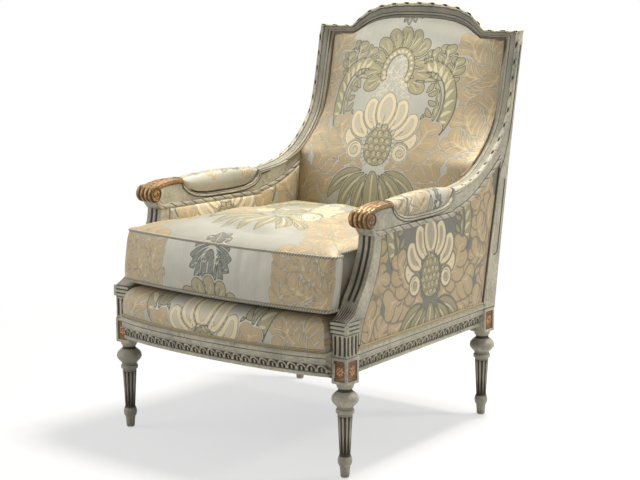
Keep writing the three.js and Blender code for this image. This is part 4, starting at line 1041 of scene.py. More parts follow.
def crown(cloth, centre):
    """Scalloped crown over a beaded arch, with lace inside it."""
    middle = beside(centre, 1, CROWN_CENTRE)
    for i in range(CROWN_LOBES):
        angle = math.pi / 2 + (i / (CROWN_LOBES - 1) - 0.5) * CROWN_SPAN
        root, tip = angled(middle, CROWN_ROOT, angle), angled(middle, CROWN_TIP, angle)
        cloth.leaf("olive", tip, root, 44.0)
        for lean in (-0.1, 0.0, 0.1):
            end = angled(middle, [r * 0.9 for r in CROWN_TIP], angle + lean)
            start = angled(middle, [r * 0.66 for r in CROWN_TIP], angle + lean * 0.4)
            cloth.stroke("vein" if lean else "line", [start, end], 1.6)
    start, end = math.pi / 2 - CROWN_SPAN / 2, math.pi / 2 + CROWN_SPAN / 2
    cloth.clear(middle, [radius + 4 for radius in CROWN_ARCH])
    for reach, half_width, dye in ((0, 10.0, "olive"), (-10, 1.6, "line"), (10, 1.6, "line")):
        cloth.arc(dye, middle, [radius + reach for radius in CROWN_ARCH], start, end, half_width)
    for share in np.linspace(0, 1, CROWN_BEADS):
        cloth.disc("lace", angled(middle, CROWN_ARCH, lerp(start, end, share)), 4.4)
    for row in range(11):
        height = 138 + row * 12.5
        reach = 46 * (1 - row / 12)
        for i in range(int(reach / 11) + 1):
            for side in ((1, -1) if i else (1,)):
                spot = beside(centre, side, (i * 14.0 + (row % 2) * 6.0, height))
                turned = math.pi / 2 * ((row + i) % 4)
                cloth.spiral("lace", spot, 7.0, 0.8, turned, 1.7, side)


# Each sprig under a crescent: its stalk and tip from the crescent's eye, and its width
CRESCENT_SPRIGS = [((8, 84), (-10, 150), 40), ((30, 76), (34, 166), 46), ((54, 58), (72, 132), 40)]


def crescents(cloth, centre):
    """Two crescents under the crown, with leaflets in them and curls on their inner sides."""
    low, high = CRESCENT_ENDS
    for side in (1, -1):
        eye = beside(centre, side, CRESCENT_EYE)
        ends = (low, high) if side > 0 else (math.pi - low, math.pi - high)
        for start, end, width in CRESCENT_SPRIGS:
            cloth.acanthus("olive", beside(eye, side, start), beside(eye, side, end), width, -0.1 * side, 3)
        cloth.arc("olive", eye, CRESCENT_RADII, *ends, 19.0, 0.3)
        for reach in (17, -15):
            cloth.arc("line", eye, [radius + reach for radius in CRESCENT_RADII], *ends, 1.7)
        for i in range(CRESCENT_LEAFLETS):
            angle = lerp(*ends, (i + 1) / (CRESCENT_LEAFLETS + 1))
            root, tip = angled(eye, (63.0, 93.0), angle), angled(eye, (89.0, 119.0), angle + side * 0.22)
            cloth.leaf("lace", root, tip, 10.0, 0.25 * side, LOBE_STEPS, 0.0)
        cloth.arc("olive", eye, INNER_CRESCENT, *ends, 9.0, 0.3)
        cloth.arc("vein", eye, INNER_CRESCENT, *ends, VEIN)
        cloth.spiral("olive", beside(eye, side, (-36, 50)), 24.0, 1.2, math.pi / 2, 7.0, side)
        cloth.spiral("olive", beside(eye, side, (-26, -50)), 17.0, 1.1, -math.pi / 2, 6.0, -side)
        for i in range(5):
            angle = lerp(-1.1, 1.2, i / 4)
            angle = angle if side > 0 else math.pi - angle
            root, tip = angled(eye, (40.0, 66.0), angle), angled(eye, (14.0, 34.0), angle + side * 0.4)
            cloth.leaf("olive", root, tip, 17.0, 0.25 * side, LOBE_STEPS)


def bouquet(cloth, centre):
    """The large flower of the repeat, about the middle of its heart."""
    crown(cloth, centre)
    crescents(cloth, centre)
    for side in (1, -1):
        for stalk, tip, width, curl in WINGS:
            start, end = beside(centre, side, stalk), beside(centre, side, tip)
            cloth.acanthus("tan", start, end, width, curl * side, 4)
        for stalk, tip, width, curl in DROOPING:
            start, end = beside(centre, side, stalk), beside(centre, side, tip)
            path = cloth.leaf("olive", start, end, width, curl * side)
            cloth.stroke("lace", path[1:-4], 2.2 * np.linspace(1.6, 0.6, len(path) - 5))
            for shift in (-1, 1):
                cloth.stroke("line", path[2:-3] + (shift * width * 0.22, 0), 1.5)
    path = cloth.leaf("olive", (centre[0], centre[1] - 70), (centre[0], centre[1] - 226), 50)
    cloth.stroke("lace", path[1:-4], 2.6)
    petals(cloth, centre)
    heart(cloth, centre)


# Each leaf of the small dark flower: angle off its axis and reach, for its lower and upper halves
SLATE_LOW = [(98, 52), (76, 64), (54, 74), (33, 82), (15, 86), (0, 92)]
SLATE_HIGH = [(70, 42), (42, 54), (14, 62)]
# Each scroll in a dark flower: its eye from the flower's heart, and its radius
SLATE_SCROLLS = [((24, 30), 16), ((16, -22), 11)]


def dark_flower(cloth, centre, size=1.0):
    """A small dark flower: a fan of leaves below and a curled one above."""
    for leaves, way in ((SLATE_HIGH, 1), (SLATE_LOW, -1)):
        for off, reach in leaves:
            for side in ((1, -1) if off else (1,)):
                angle = math.radians(off)
                tip = (side * math.sin(angle) * reach * size, way * math.cos(angle) * reach * size)
                path = cloth.leaf(
                    "slate", centre, (centre[0] + tip[0], centre[1] + tip[1]), 36 * size, 0.12 * side * way,
                )
                cloth.stroke("lace", path[4:-2], 1.7)
    for side in (1, -1):
        for spot, radius in SLATE_SCROLLS:
            eye = beside(centre, side, np.array(spot) * size)
            cloth.spiral("lace", eye, radius * size, 1.2, math.pi / 2, 1.8, -side)


# Each leaf of the tan spray: tip from its root, width and curl
SPRAY_LEAVES = [((14, 150), 84, -0.22), ((86, 104), 78, -0.28), ((108, 22), 74, -0.3), ((72, -62), 66, -0.25)]


def tan_spray(cloth, root, side, size=1.0):
    """Feathered leaves that fill the ground between the flowers."""
    for tip, width, curl in SPRAY_LEAVES:
        end = (root[0] + side * tip[0] * size, root[1] + tip[1] * size)
        cloth.acanthus("tan", root, end, width * size, curl * side)
    scroll = (root[0] + side * 34 * size, root[1] - 60 * size)
    cloth.spiral("tan", scroll, 30 * size, 1.2, math.pi / 2, 8.0 * size, side)


REPEAT_HEIGHT = 700.0
# Roots of the sprays beside each flower: across, height and size
SPRAY_ROOTS = [(300, 206, 1.0), (316, 14, 0.9), (300, -176, 0.9)]


def repeat(cloth, centre):
    """One whole repeat of the pattern round a flower."""
    u, v = centre
    for side in (1, -1):
        for across, height, size in SPRAY_ROOTS:
            tan_spray(cloth, (u + side * across, v + height), -side, size)
    cloth.clear((u, v + 90), (178.0, 254.0))
    bouquet(cloth, centre)
    dark_flower(cloth, (u, v + REPEAT_HEIGHT / 2 + 76), 0.95)
    dark_flower(cloth, (u, v - REPEAT_HEIGHT / 2 + 30), 0.95)


def lay_cloth(piece, cloth):
    """Writes the cloth's places and dyes on a piece."""
    mesh = piece.data
    for letter, start in zip("abc", range(0, len(DYES), 3)):
        values = [cloth.depths[dye] for dye in DYES[start : start + 3]]
        values += [np.full(len(mesh.vertices), NOWHERE)] * (3 - len(values))
        set_field(mesh, f"dyes_{letter}", np.stack(values, axis=1))
    layer = mesh.uv_layers.get("cloth") or mesh.uv_layers.new(name="cloth")
    corners = np.zeros(len(mesh.loops), np.int32)
    mesh.loops.foreach_get("vertex_index", corners)
    places = np.stack((cloth.across, cloth.along), axis=1)[corners] / MILLIMETRES
    layer.data.foreach_set("uv", places.astype(np.float32).ravel())
    layer.active_render = True
    mesh.uv_layers.active = layer


def plan_points(piece):
    """A piece's points in millimetres in the plan of the leg blocks."""
    count = len(piece.data.vertices)
    flat = np.zeros(count * 3, np.float32)
    piece.data.vertices.foreach_get("co", flat)
    return flat.reshape(-1, 3) * MILLIMETRES - (0.0, ROW_SHIFT, 0.0)


def set_plan_points(piece, points):
    piece.data.vertices.foreach_set("co", in_frame(points).astype(np.float32).ravel())
    piece.data.update()


PRESSURE = 4.0
SIMULATED_FRAMES = 20


def soften(piece, held, reach):
    """Blows a pad up as cloth held at its seams, each point free to move by its reach, and rounds it."""
    mesh = piece.data
    before = plan_points(piece)
    pick(piece)
    seams = piece.vertex_groups.new(name="seams")
    seams.add(np.flatnonzero(held).tolist(), 1.0, "REPLACE")
    bpy.ops.object.modifier_add(type="CLOTH")
    cloth = piece.modifiers[-1]
    cloth.settings.vertex_group_mass = "seams"
    cloth.settings.use_pressure = True
    cloth.settings.uniform_pressure_force = PRESSURE
    cloth.settings.effector_weights.gravity = 0
    scene = bpy.context.scene
    for step in range(1, SIMULATED_FRAMES + 1):
        scene.frame_set(step)
    bpy.ops.object.modifier_apply(modifier=cloth.name)
    scene.frame_set(1)
    piece.vertex_groups.clear()
    moved = plan_points(piece) - before
    size = np.linalg.norm(moved, axis=1)
    shortened = np.minimum(size, reach) / np.maximum(size, 1e-6)
    set_plan_points(piece, before + moved * shortened[:, None])
    pick(piece)
    bpy.ops.object.mode_set(mode="EDIT")
    bpy.ops.mesh.select_all(action="SELECT")
    bpy.ops.mesh.subdivide(number_cuts=1)
    bpy.ops.mesh.vertices_smooth(factor=0.5, repeat=2)
    leave_edit_mode()
    bpy.ops.object.shade_smooth_by_angle(angle=SMOOTH_ANGLE)


def read_field(mesh, name):
    column = np.zeros(len(mesh.vertices), np.float32)
    mesh.attributes[name].data.foreach_get("value", column)
    return column


# Turned legs and their blocks


def turning(name, centre):
    """The turned and fluted part of a leg."""
    shares = smooth_curve(TURNING_SHARES, (len(TURNING_SHARES) - 1) * LEG_STEPS_BETWEEN)
    height = lerp(FOOT_BOTTOM, LEG_HEIGHT, shares[:, 0])
    radius = shares[:, 1] * LEG_RADIUS
    fluted = np.clip(shares[:, 2], 0, 1)
    angle = np.linspace(0, TURN, LEG_STEPS_ROUND, endpoint=False)
    wave = np.cos(FLUTE_COUNT * angle + math.pi)
    groove = np.clip((wave + 0.3) / 1.3, 0, 1) ** 0.6
    reach = radius[:, None] - fluted[:, None] * FLUTE_DEPTH * groove
    x, y = centre[0] + np.cos(angle) * reach, centre[1] + np.sin(angle) * reach
    rings = laid(x, y, height[:, None])
    window = np.ones(HOLLOW_STEPS) / HOLLOW_STEPS
    padded = np.pad(radius, HOLLOW_STEPS // 2, mode="edge")
    hollow = np.clip((np.convolve(padded, window, "valid") - radius) / DARKENED_HOLLOW, 0, 1)
    neck = sum(bump_at(shares[:, 0], at, width) for at, width in TURNING_NECKS)
    glaze = np.clip(hollow + neck * 0.8, 0, 1)[:, None] + fluted[:, None] * groove * 0.85
    return sleeve(name, rings, {"glaze": np.clip(glaze, 0, 1)})


FLUTED_STEPS = 42
CAP_STEPS = 24
FLUTE_HALF = 0.26
FLUTED_WAIST = 0.9


def leg_block(name, centre, panels, materials):
    """A square block with sunk panels on the faces that look along the given directions."""
    half = np.array((BLOCK_WIDTH / 2, BLOCK_DEPTH / 2, 0))
    low = centre - half + (0, 0, LEG_HEIGHT)
    high = centre + half + (0, 0, BLOCK_TOP)
    piece = box_piece(name, low, high)
    pick(piece)
    bpy.ops.object.mode_set(mode="EDIT")
    for direction in panels:
        bpy.ops.mesh.select_mode(type="FACE")
        bpy.ops.mesh.select_all(action="DESELECT")
        select_facing(piece, Vector(direction))
        bpy.ops.mesh.inset(thickness=(PANEL_MARGIN - FRAME_STEP) / MILLIMETRES)
        bpy.ops.mesh.inset(thickness=FRAME_STEP / MILLIMETRES, depth=-FRAME_STEP / MILLIMETRES)
        bpy.ops.mesh.inset(
            thickness=SEAT_GAP / MILLIMETRES, depth=-(PANEL_DEPTH - FRAME_STEP) / MILLIMETRES,
        )
    bpy.ops.mesh.select_all(action="SELECT")
    bpy.ops.mesh.bevel(offset=BLOCK_EDGE / MILLIMETRES, segments=2)
    leave_edit_mode()
    bpy.ops.object.shade_smooth_by_angle(angle=SMOOTH_ANGLE)
    points = plan_points(piece) - centre
    depth = np.zeros(len(points))
    for direction in panels:
        axis = int(abs(direction[1]) > 0)
        sign = direction[axis]
        other = 1 - axis
        inside = np.abs(points[:, other]) < half[other] - PANEL_MARGIN + FRAME_STEP + BLOCK_EDGE / 2
        sunk = half[axis] - sign * points[:, axis]
        depth = np.where(inside & (sunk > BLOCK_EDGE) & (sunk < PANEL_DEPTH * 2), sunk, depth)
    set_field(piece.data, "glaze", np.clip(depth / PANEL_DEPTH * 1.2, 0, 1))
    piece.data.materials.append(materials["paint"])
    piece.data.materials.append(materials["bronze"])
    floor = []
    centre_there = in_frame(centre)
    for face in piece.data.polygons:
        for direction in panels:
            axis = int(abs(direction[1]) > 0)
            reach = (face.center[axis] - centre_there[axis]) * direction[axis] * MILLIMETRES
            if abs(reach - half[axis] + PANEL_DEPTH) < SEAT_GAP and abs(face.normal[axis]) > FACING:
                floor.append(face.index)
    for index in floor:
        piece.data.polygons[index].material_index = 1
    return piece


def rosette(name, centre, direction):
    """A chased flower on the floor of a panel."""
    share = np.concatenate(([0.02], np.linspace(0.08, 1, 15)))[:, None]
    angle = np.linspace(0, TURN, 64, endpoint=False)[None, :]
    lobe = np.abs(np.cos(ROSETTE_PETALS / 2 * angle))
    radius = share * ROSETTE_RADIUS * lerp(1.0, 0.7 + 0.3 * lobe, share)
    crest = bump_at(share, 0.6, 0.26) * (0.35 + 0.65 * lobe)
    boss = bump_at(share, 0.0, 0.2)
    height = ROSETTE_HEIGHT * np.maximum(crest * 0.8, boss) * smooth_step(1.02 - share, 0, 0.12)
    across, up = np.cos(angle) * radius, np.sin(angle) * radius
    glaze = np.clip(1 - height / ROSETTE_HEIGHT * 1.3, 0, 1)
    axis = int(abs(direction[1]) > 0)
    reach = (BLOCK_WIDTH, BLOCK_DEPTH)[axis] / 2 - PANEL_DEPTH
    rings = np.zeros((*height.shape, 3))
    rings[..., axis] = centre[axis] + direction[axis] * (reach + height)
    rings[..., 1 - axis] = centre[1 - axis] + across
    rings[..., 2] = LEG_HEIGHT + (BLOCK_TOP - LEG_HEIGHT) / 2 + up
    return sleeve(name, rings, {"glaze": glaze})


def square_outline(steps):
    """Points round the upper block's plan, with each one's face, place along it and way inwards."""
    share = np.arange(steps) / steps
    half = (BLOCK_WIDTH / 2 - FLUTED_INSET, BLOCK_DEPTH / 2 - FLUTED_INSET)
    corners = np.array([(-1, -1), (1, -1), (1, 1), (-1, 1)], float) * half
    points = between_lines(corners, np.roll(corners, -1, axis=0), share).reshape(-1, 2)
    ways = np.array([(0, 1), (-1, 0), (0, -1), (1, 0)], float)
    sides = len(corners)
    return points, np.repeat(np.arange(sides), steps), np.tile(share, sides), np.repeat(ways, steps, axis=0)


def stacked_plans(plans, centre, height):
    """Rings from plans round a centre, each at its own height."""
    x, y = np.moveaxis(plans + centre[:2], -1, 0)
    return laid(x, y, height[:, None])


def fluted_block(name, centre):
    """The upper block with three flutes in each seen face."""
    outline, faces, along, inward = square_outline(FLUTED_STEPS)
    share = np.linspace(0, 1, 30)
    height = lerp(BLOCK_TOP - 0.5, CAP_BASE + 0.5, share)
    phase = (along * BLOCK_FLUTES) % 1.0
    hollow = hump(phase - 0.5, FLUTE_HALF) * (faces < 2)
    ends = smooth_step(share, 0.07, 0.15) * (1 - smooth_step(share, 0.85, 0.93))
    waist = FLUTED_WAIST * np.sin(math.pi * share)
    cut = ends[:, None] * hollow * BLOCK_FLUTE_DEPTH + waist[:, None]
    rings = stacked_plans(outline[None] + inward[None] * cut[..., None], centre, height)
    rims = bump_at(share, 0.0, 0.05) + bump_at(share, 1.0, 0.06)
    glaze = np.clip(ends[:, None] * hollow + rims[:, None] * 0.7, 0, 1)
    return sleeve(name, rings, {"glaze": glaze})


def reeded_cap(name, centre):
    """Three reeds round the top of a front leg, ending at a post on its corner."""
    outline, faces, along, inward = square_outline(CAP_STEPS)
    share = np.linspace(0, 1, 40)
    height = lerp(CAP_BASE, CAP_TOP, share)
    reed = np.abs(np.sin(math.pi * CAP_REEDS * share)) ** 0.55
    full = CAP_OVERHANG + FLUTED_INSET
    post = ((faces == 0) & (along > 0.88)) | ((faces == 1) & (along < 0.1))
    out = np.where(post, full, reed[:, None] * full * 0.85 + full * 0.1)
    out = out * smooth_step(share, 0.0, 0.06)[:, None]
    plan = outline[None] - inward[None] * out[..., None]
    corner = np.sign(outline)[None] * out[..., None] * (np.abs(inward[None]) < 0.5)
    edge = (np.minimum(along, 1 - along) < 0.5 / CAP_STEPS)[None, :, None]
    rings = stacked_plans(plan + corner * edge, centre, height)
    glaze = np.where(post, 0.0, (1 - reed[:, None]) * 1.1) * np.ones_like(out)
    return sleeve(name, rings, {"glaze": np.clip(glaze, 0, 1)})


FRONTWARD = (0.0, -1.0, 0.0)
OUTWARD = (1.0, 0.0, 0.0)


def settle_pair(right, node, finish, slot):
    """Hands over a right-hand piece and its mirrored twin, each in place of its own node."""
    left = mirror_copy(right, f"{node}_left_{finish}")
    for piece, side in ((right, "right"), (left, "left")):
        settle(piece, "frame", slot, f"{node}_{side}")


def build_front_legs(materials):
    parts = [
        dress(turning("front_turning", FRONT_BLOCK), materials["leg_paint"]),
        leg_block("front_block", FRONT_BLOCK, (FRONTWARD, OUTWARD), materials),
        dress(fluted_block("front_fluted", FRONT_BLOCK), materials["paint"]),
        dress(reeded_cap("front_cap", FRONT_BLOCK), materials["paint"]),
        dress(rosette("front_flower_front", FRONT_BLOCK, FRONTWARD), materials["bronze"]),
        dress(rosette("front_flower_side", FRONT_BLOCK, OUTWARD), materials["bronze"]),
    ]
    settle_pair(join("front_leg_right_carved", parts), "front_leg", "carved", "painted_wood")


STILE_PANEL_LOW = 436.0
STILE_PANEL_HIGH = 990.0
STILE_PANEL_SHARE = 0.27
STILE_PANEL_DEPTH = 1.5
STILE_SIDE_STEPS = 40


def stile_side(y, z):
    """Sunk panel on the side of a stile: how deep it is, and its glaze."""
    front = np.where(z > SWEEP[0, 1], np.minimum(stile_front_y(z), read_y(SWEEP, z)), stile_front_y(z))
    back = stile_back_y(z)
    middle = (front + back) / 2
    half = (back - front) * STILE_PANEL_SHARE
    end = STILE_PANEL_LOW + half
    low = np.where(z < end, half - np.hypot(y - middle, z - end), half - np.abs(y - middle))
    below_top = z < STILE_PANEL_HIGH
    inside = smooth_step(low, -0.2, 1.0) * below_top
    rim = bump_at(low, 0.5, 1.0) * below_top * (z > STILE_PANEL_LOW - 6)
    back_line = bump_at(back - y, 0.0, 1.4) * 0.8
    return inside * STILE_PANEL_DEPTH, np.clip(rim * 0.95 + inside * 0.12 + back_line, 0, 1)


def moulded_rings(front, back, fall_share, along, carved=True, side_steps=STILE_SIDE_STEPS):
    """Rings across a moulded member from its face to its back, with their glaze."""
    across = np.linspace(0, 1, FACE_STEPS)
    inward = unit(back - front)
    fall = np.asarray(fall_share, float).reshape(-1, 1)
    drop = face_groove(across)[None] * GROOVE_DEPTH + face_fall(across)[None] * INNER_FALL * fall
    glaze = np.broadcast_to(face_glaze(across), drop.shape).copy()
    if carved:
        depth, dark = ribbon_carving(along[:, None], across[None], size_of("ribbon_pitch"))
        drop = drop + depth
        glaze = np.maximum(glaze, dark)
    y = front[:, :1] + inward[:, :1] * drop
    z = front[:, 1:] + inward[:, 1:] * drop
    face = laid(lerp(outer_x(y), inner_x(y), across[None]), y, z)
    share = np.linspace(0, 1, side_steps + 1)[1:]
    few = np.linspace(0, 1, 5)[1:]
    inner = between_lines(face[:, -1, 1:], back, few)
    outer = between_lines(back, face[:, 0, 1:], share)[:, :-1]
    cut, dark = stile_side(outer[..., 0], outer[..., 1])
    if not carved:
        cut, dark = cut * 0, dark * 0
    rings = np.concatenate((
        face,
        laid(inner_x(inner[..., 0]), inner[..., 0], inner[..., 1]),
        laid(outer_x(back[:, :1]), back[:, :1], back[:, 1:]),
        laid(outer_x(outer[..., 0]) - cut, outer[..., 0], outer[..., 1]),
    ), axis=1)
    shades = np.concatenate((glaze, np.zeros((len(front), len(few) + 1)), dark), axis=1)
    return rings, shades


JOINT_INSET = 0.6


def stile_joint_low():
    """Height of the slanted joint at the back of the stile."""
    joint = np.array((float(stile_front_y(JOINT_BACK_HEIGHT)), JOINT_BACK_HEIGHT))
    slant = joint - STILE_SWEEP[0]
    reach = float(stile_back_y(JOINT_BACK_HEIGHT)) - STILE_SWEEP[0][0] - 6.0
    return STILE_SWEEP[0][1] + slant[1] * (reach / slant[0])


def stile_lower(name):
    """The raked stile from its block to the joint with the arm."""
    height = np.linspace(BLOCK_TOP - 0.5, JOINT_BACK_HEIGHT + 40, 150)
    front = np.where(height < RAIL_TOP + SEAT_GAP, REAR_FRONT_Y, stile_front_y(height))
    flare = smooth_step(height, RAIL_TOP, RAIL_TOP + 8.0)
    front = lerp(REAR_FRONT_Y, front, flare)
    back = stile_back_y(height)
    share = np.linspace(0, 1, STILE_SIDE_STEPS)
    side_y = front[:, None] + (back - front)[:, None] * share
    side_z = height[:, None]
    cut, dark = stile_side(side_y, side_z)
    hidden = smooth_step(height, stile_joint_low() - 2.0, stile_joint_low() + 2.0)[:, None] * JOINT_INSET
    outer = laid(REAR_OUTER_X - cut - hidden, side_y - share * hidden, side_z)
    inner_share = np.linspace(1, 0, 4)
    inner_y = front[:, None] + (back - front)[:, None] * inner_share - inner_share * hidden
    inner = laid(REAR_INNER_X + hidden, inner_y, side_z)
    glaze = np.concatenate((dark, np.zeros(inner_y.shape)), axis=1)
    foot_line = bump_at(height, BLOCK_TOP + 1.5, 1.6)[:, None]
    return sleeve(name, np.concatenate((outer, inner), axis=1), {"glaze": np.clip(glaze + foot_line, 0, 1)})


def stile_upper(name):
    """The moulded stile from the slanted joint to the crest rail."""
    low_back = stile_joint_low()
    share = np.linspace(0, 1, 130)
    place_there = share * (len(STILE_SWEEP) - 1)
    steps = np.arange(len(STILE_SWEEP))
    front = np.stack([np.interp(place_there, steps, STILE_SWEEP[:, i]) for i in range(2)], axis=1)
    height = lerp(low_back, CREST_SEAT - SEAT_GAP, share)
    back = np.stack((stile_back_y(height), height), axis=1)
    along = lengths_along(front) + SWEEP_RUN
    rings, glaze = moulded_rings(front, back, np.ones(len(front)), along)
    return sleeve(name, rings, {"glaze": glaze})


SWEEP_RUN = float(lengths_along(ARM_SWEEP)[-1])


def build_rear_legs(materials):
    parts = [
        dress(turning("rear_turning", REAR_BLOCK), materials["leg_paint"]),
        leg_block("rear_block", REAR_BLOCK, (OUTWARD,), materials),
        dress(rosette("rear_flower", REAR_BLOCK, OUTWARD), materials["bronze"]),
        dress(stile_lower("rear_stile_low"), materials["paint"]),
        dress(stile_upper("rear_stile_high"), materials["paint"]),
    ]
    leg = join("rear_leg_right_carved", parts)
    settle_pair(leg, "rear_leg", "carved", "painted_wood")


# Stumps and arms

STUMP_FLUTE_DEPTH = 2.2
STUMP_FLUTE_START = 0.19
STUMP_REEDS = 3
STUMP_REED_HALF = 0.34
STUMP_EDGE = 0.08
STUMP_STEPS = 110
STUMP_ACROSS = 64
STUMP_SIDE_STEPS = 12
STUMP_LEAF_ENDS = (0.1, 0.2)
STUMP_LEAF_DEPTH = 1.8
STUMP_FAN = (7, 6)
STUMP_DARKENING_DEPTH = 2.0
STUMP_CURVE_STEPS = 80
STUMP_FLUTE_EASE = 0.05
TOE_STEPS = 24
TOE_LAP = 2.0
TOE_GLAZE = 0.25


def stump_post(name):
    """The curved post under the arm, reeded in front above a spray of leaves."""
    height = np.linspace(CAP_TOP + SEAT_GAP, ARM_UNDER - SEAT_GAP, STUMP_STEPS)
    share = ((height - height[0]) / (height[-1] - height[0]))[:, None]
    front, back = [
        read_y(smooth_curve(curve, STUMP_CURVE_STEPS), height)[:, None] for curve in (STUMP_FRONT, STUMP_BACK)
    ]
    across = np.linspace(0, 1, STUMP_ACROSS)
    reeds = hump((across * STUMP_REEDS) % 1.0 - 0.5, STUMP_REED_HALF)
    edge = (across > STUMP_EDGE) & (across < 1 - STUMP_EDGE)
    rounded = smooth_step(share, STUMP_FLUTE_START, STUMP_FLUTE_START + STUMP_FLUTE_EASE)
    flute = rounded * (1 - reeds)[None] * edge * STUMP_FLUTE_DEPTH
    fan_across, fan_up = STUMP_FAN
    fan = np.abs(np.sin(math.pi * (across[None] * fan_across + (share - STUMP_LEAF_ENDS[0]) * fan_up)))
    leafy = (1 - smooth_step(share, *STUMP_LEAF_ENDS)) * (1 - fan) * STUMP_LEAF_DEPTH
    y = front + flute + leafy
    height = height[:, None]
    face = laid(lerp(outer_x(y), inner_x(y), across[None]), y, height)
    inner_y = front + (back - front) * np.linspace(0, 1, STUMP_SIDE_STEPS)[None, 1:]
    outer_y = inner_y[:, ::-1]
    inner = laid(inner_x(inner_y), inner_y, height)
    outer = laid(outer_x(outer_y), outer_y, height)
    # The flutes and the carved leaves are darkened by their depth
    darkening = np.clip(flute / STUMP_FLUTE_DEPTH + leafy / STUMP_DARKENING_DEPTH, 0, 1)
    glaze = np.concatenate((darkening, np.zeros((len(height), 2 * inner_y.shape[1]))), axis=1)
    return sleeve(name, np.concatenate((face, inner, outer), axis=1), {"glaze": glaze})


def stump_toe(name):
    """The toe of the post that runs down behind the leg's cap to the rail."""
    height = np.linspace(STUMP_TOE_HEIGHT, CAP_TOP + TOE_LAP, TOE_STEPS)
    far = read_y(smooth_curve(STUMP_BACK, STUMP_CURVE_STEPS), height)
    near = np.full(TOE_STEPS, FRONT_BACK_Y + CAP_OVERHANG + SEAT_GAP)
    corners = [(near, outer_x), (far, outer_x), (far, inner_x), (near, inner_x)]
    rings = np.stack([laid(side(y), y, height) for y, side in corners], axis=1)
    return sleeve(name, rings, {"glaze": np.full((TOE_STEPS, len(corners)), TOE_GLAZE)})


def build_stumps(materials):
    parts = [stump_post("stump_post"), stump_toe("stump_toe")]
    for part in parts:
        dress(part, materials["paint"])
    stump = join("arm_stump_right_carved", parts)
    settle_pair(stump, "arm_stump", "carved", "painted_wood")


SCOOP_SHARES = np.array([
    (0, 0), (0.04, 0.35), (0.1, 0.68), (0.19, 0.91), (0.32, 1), (0.66, 1), (0.82, 0.93),
    (0.92, 0.76), (0.975, 0.5), (1, 0.12),
])
ARM_STEP = 2.5
ARM_SIDE_STEPS = 44
BEAD_WIDTH = 6.4
BEAD_HEIGHT = 2.4
BAND_SINK = 1.0
RIBBON_HEIGHT = 12.0
RIBBON_RISE = 1.8
GOLD_HEIGHT = 11.0
GOLD_LAP = 3
ROLL_SHARE = 0.9
QUIRK_GAP = 0.6
RIBBON_TURN = 1.15
RIBBON_LEAN = 0.55
RIBBON_THIN = 0.35
NECK_ENDS = (SCROLL_Y + 8, SCROLL_Y + 26)


def arm_top_z(y):
    """Top of the arm with the bed for its pad."""
    share = (y - PAD_START_Y) / (PAD_END_Y - PAD_START_Y)
    bed = np.interp(share, SCOOP_SHARES[:, 0], SCOOP_SHARES[:, 1])
    bed = np.where((share <= 0) | (share >= 1), 0.0, bed)
    front = [SCROLL_Y, STUMP_FRONT_TOP_Y, STUMP_BACK_TOP_Y]
    middle = lerp(SCROLL_Z + SCROLL_RADIUS, ARM_TOP, 0.45)
    rise = np.interp(y, front, [SCROLL_Z + SCROLL_RADIUS * ROLL_SHARE, middle, ARM_TOP])
    return rise - SCOOP_DEPTH * bed


def arm_under_z(y):
    low = SCROLL_Z - SCROLL_RADIUS * ROLL_SHARE
    return np.interp(y, [SCROLL_Y, STUMP_FRONT_TOP_Y - SEAT_GAP], [low, ARM_UNDER])


def gap_to(path, points):
    """Distance of each point from a line through points, and how far along the line it lies."""
    flat = points.reshape(-1, 2)
    runs = lengths_along(path)
    best = np.full(len(flat), np.inf)
    place_there = np.zeros(len(flat))
    for start, end, run in zip(path[:-1], path[1:], runs[:-1]):
        step = end - start
        size = max(float(step @ step), 1e-9)
        share = np.clip(((flat - start) @ step) / size, 0, 1)
        gap = np.linalg.norm(flat - start - share[:, None] * step, axis=1)
        closer = gap < best
        best = np.where(closer, gap, best)
        place_there = np.where(closer, run + share * math.sqrt(size), place_there)
    return best.reshape(points.shape[:-1]), place_there.reshape(points.shape[:-1])


def arm_side(points, top, under, sweeping):
    """Beads under the top edge, a plain band and a ribbon along the lower edge: rise and glaze."""
    below, _ = gap_to(top, points)
    above, along = gap_to(under, points)
    y = points[..., 0]
    in_gold = y < PAD_START_Y + GOLD_LAP
    gold_zone = in_gold & (below < GOLD_HEIGHT)
    beads = np.zeros_like(below)
    for i in range(2):
        beads += hump(below - BEAD_WIDTH * (i + 0.5) - QUIRK_GAP, BEAD_WIDTH / 2) * BEAD_HEIGHT
    in_bed = smooth_step(y, PAD_START_Y - 4, PAD_START_Y + 2) * (1 - sweeping)
    rise = beads * in_bed - BAND_SINK
    rise = np.where(gold_zone, 1.0, rise)
    phase = along / size_of("ribbon_pitch") * RIBBON_TURN
    lean = (above / RIBBON_HEIGHT - 0.5) * RIBBON_LEAN
    strand = np.abs(np.sin(math.pi * (phase + lean)))
    body = hump(above - RIBBON_HEIGHT / 2, RIBBON_HEIGHT / 2)
    ribbon = RIBBON_RISE * body * (RIBBON_THIN + (1 - RIBBON_THIN) * np.clip(strand * 2.2, 0, 1))
    rise = np.where(above < RIBBON_HEIGHT, ribbon, rise)
    quirks = bump_at(below, BEAD_WIDTH + QUIRK_GAP, 0.9) * in_bed
    quirks += bump_at(below, BEAD_WIDTH * 2 + 1.6, 1.3) * in_bed
    quirks += bump_at(below, GOLD_HEIGHT + QUIRK_GAP, 1.1) * in_gold
    slit = np.clip(1 - strand * 3.2, 0, 1) * (above < RIBBON_HEIGHT)
    edge = bump_at(above, RIBBON_HEIGHT + 0.4, 1.0)
    glaze = np.clip(quirks + slit * 0.9 + edge * 0.9, 0, 1)
    return rise, glaze, gold_zone.astype(float)


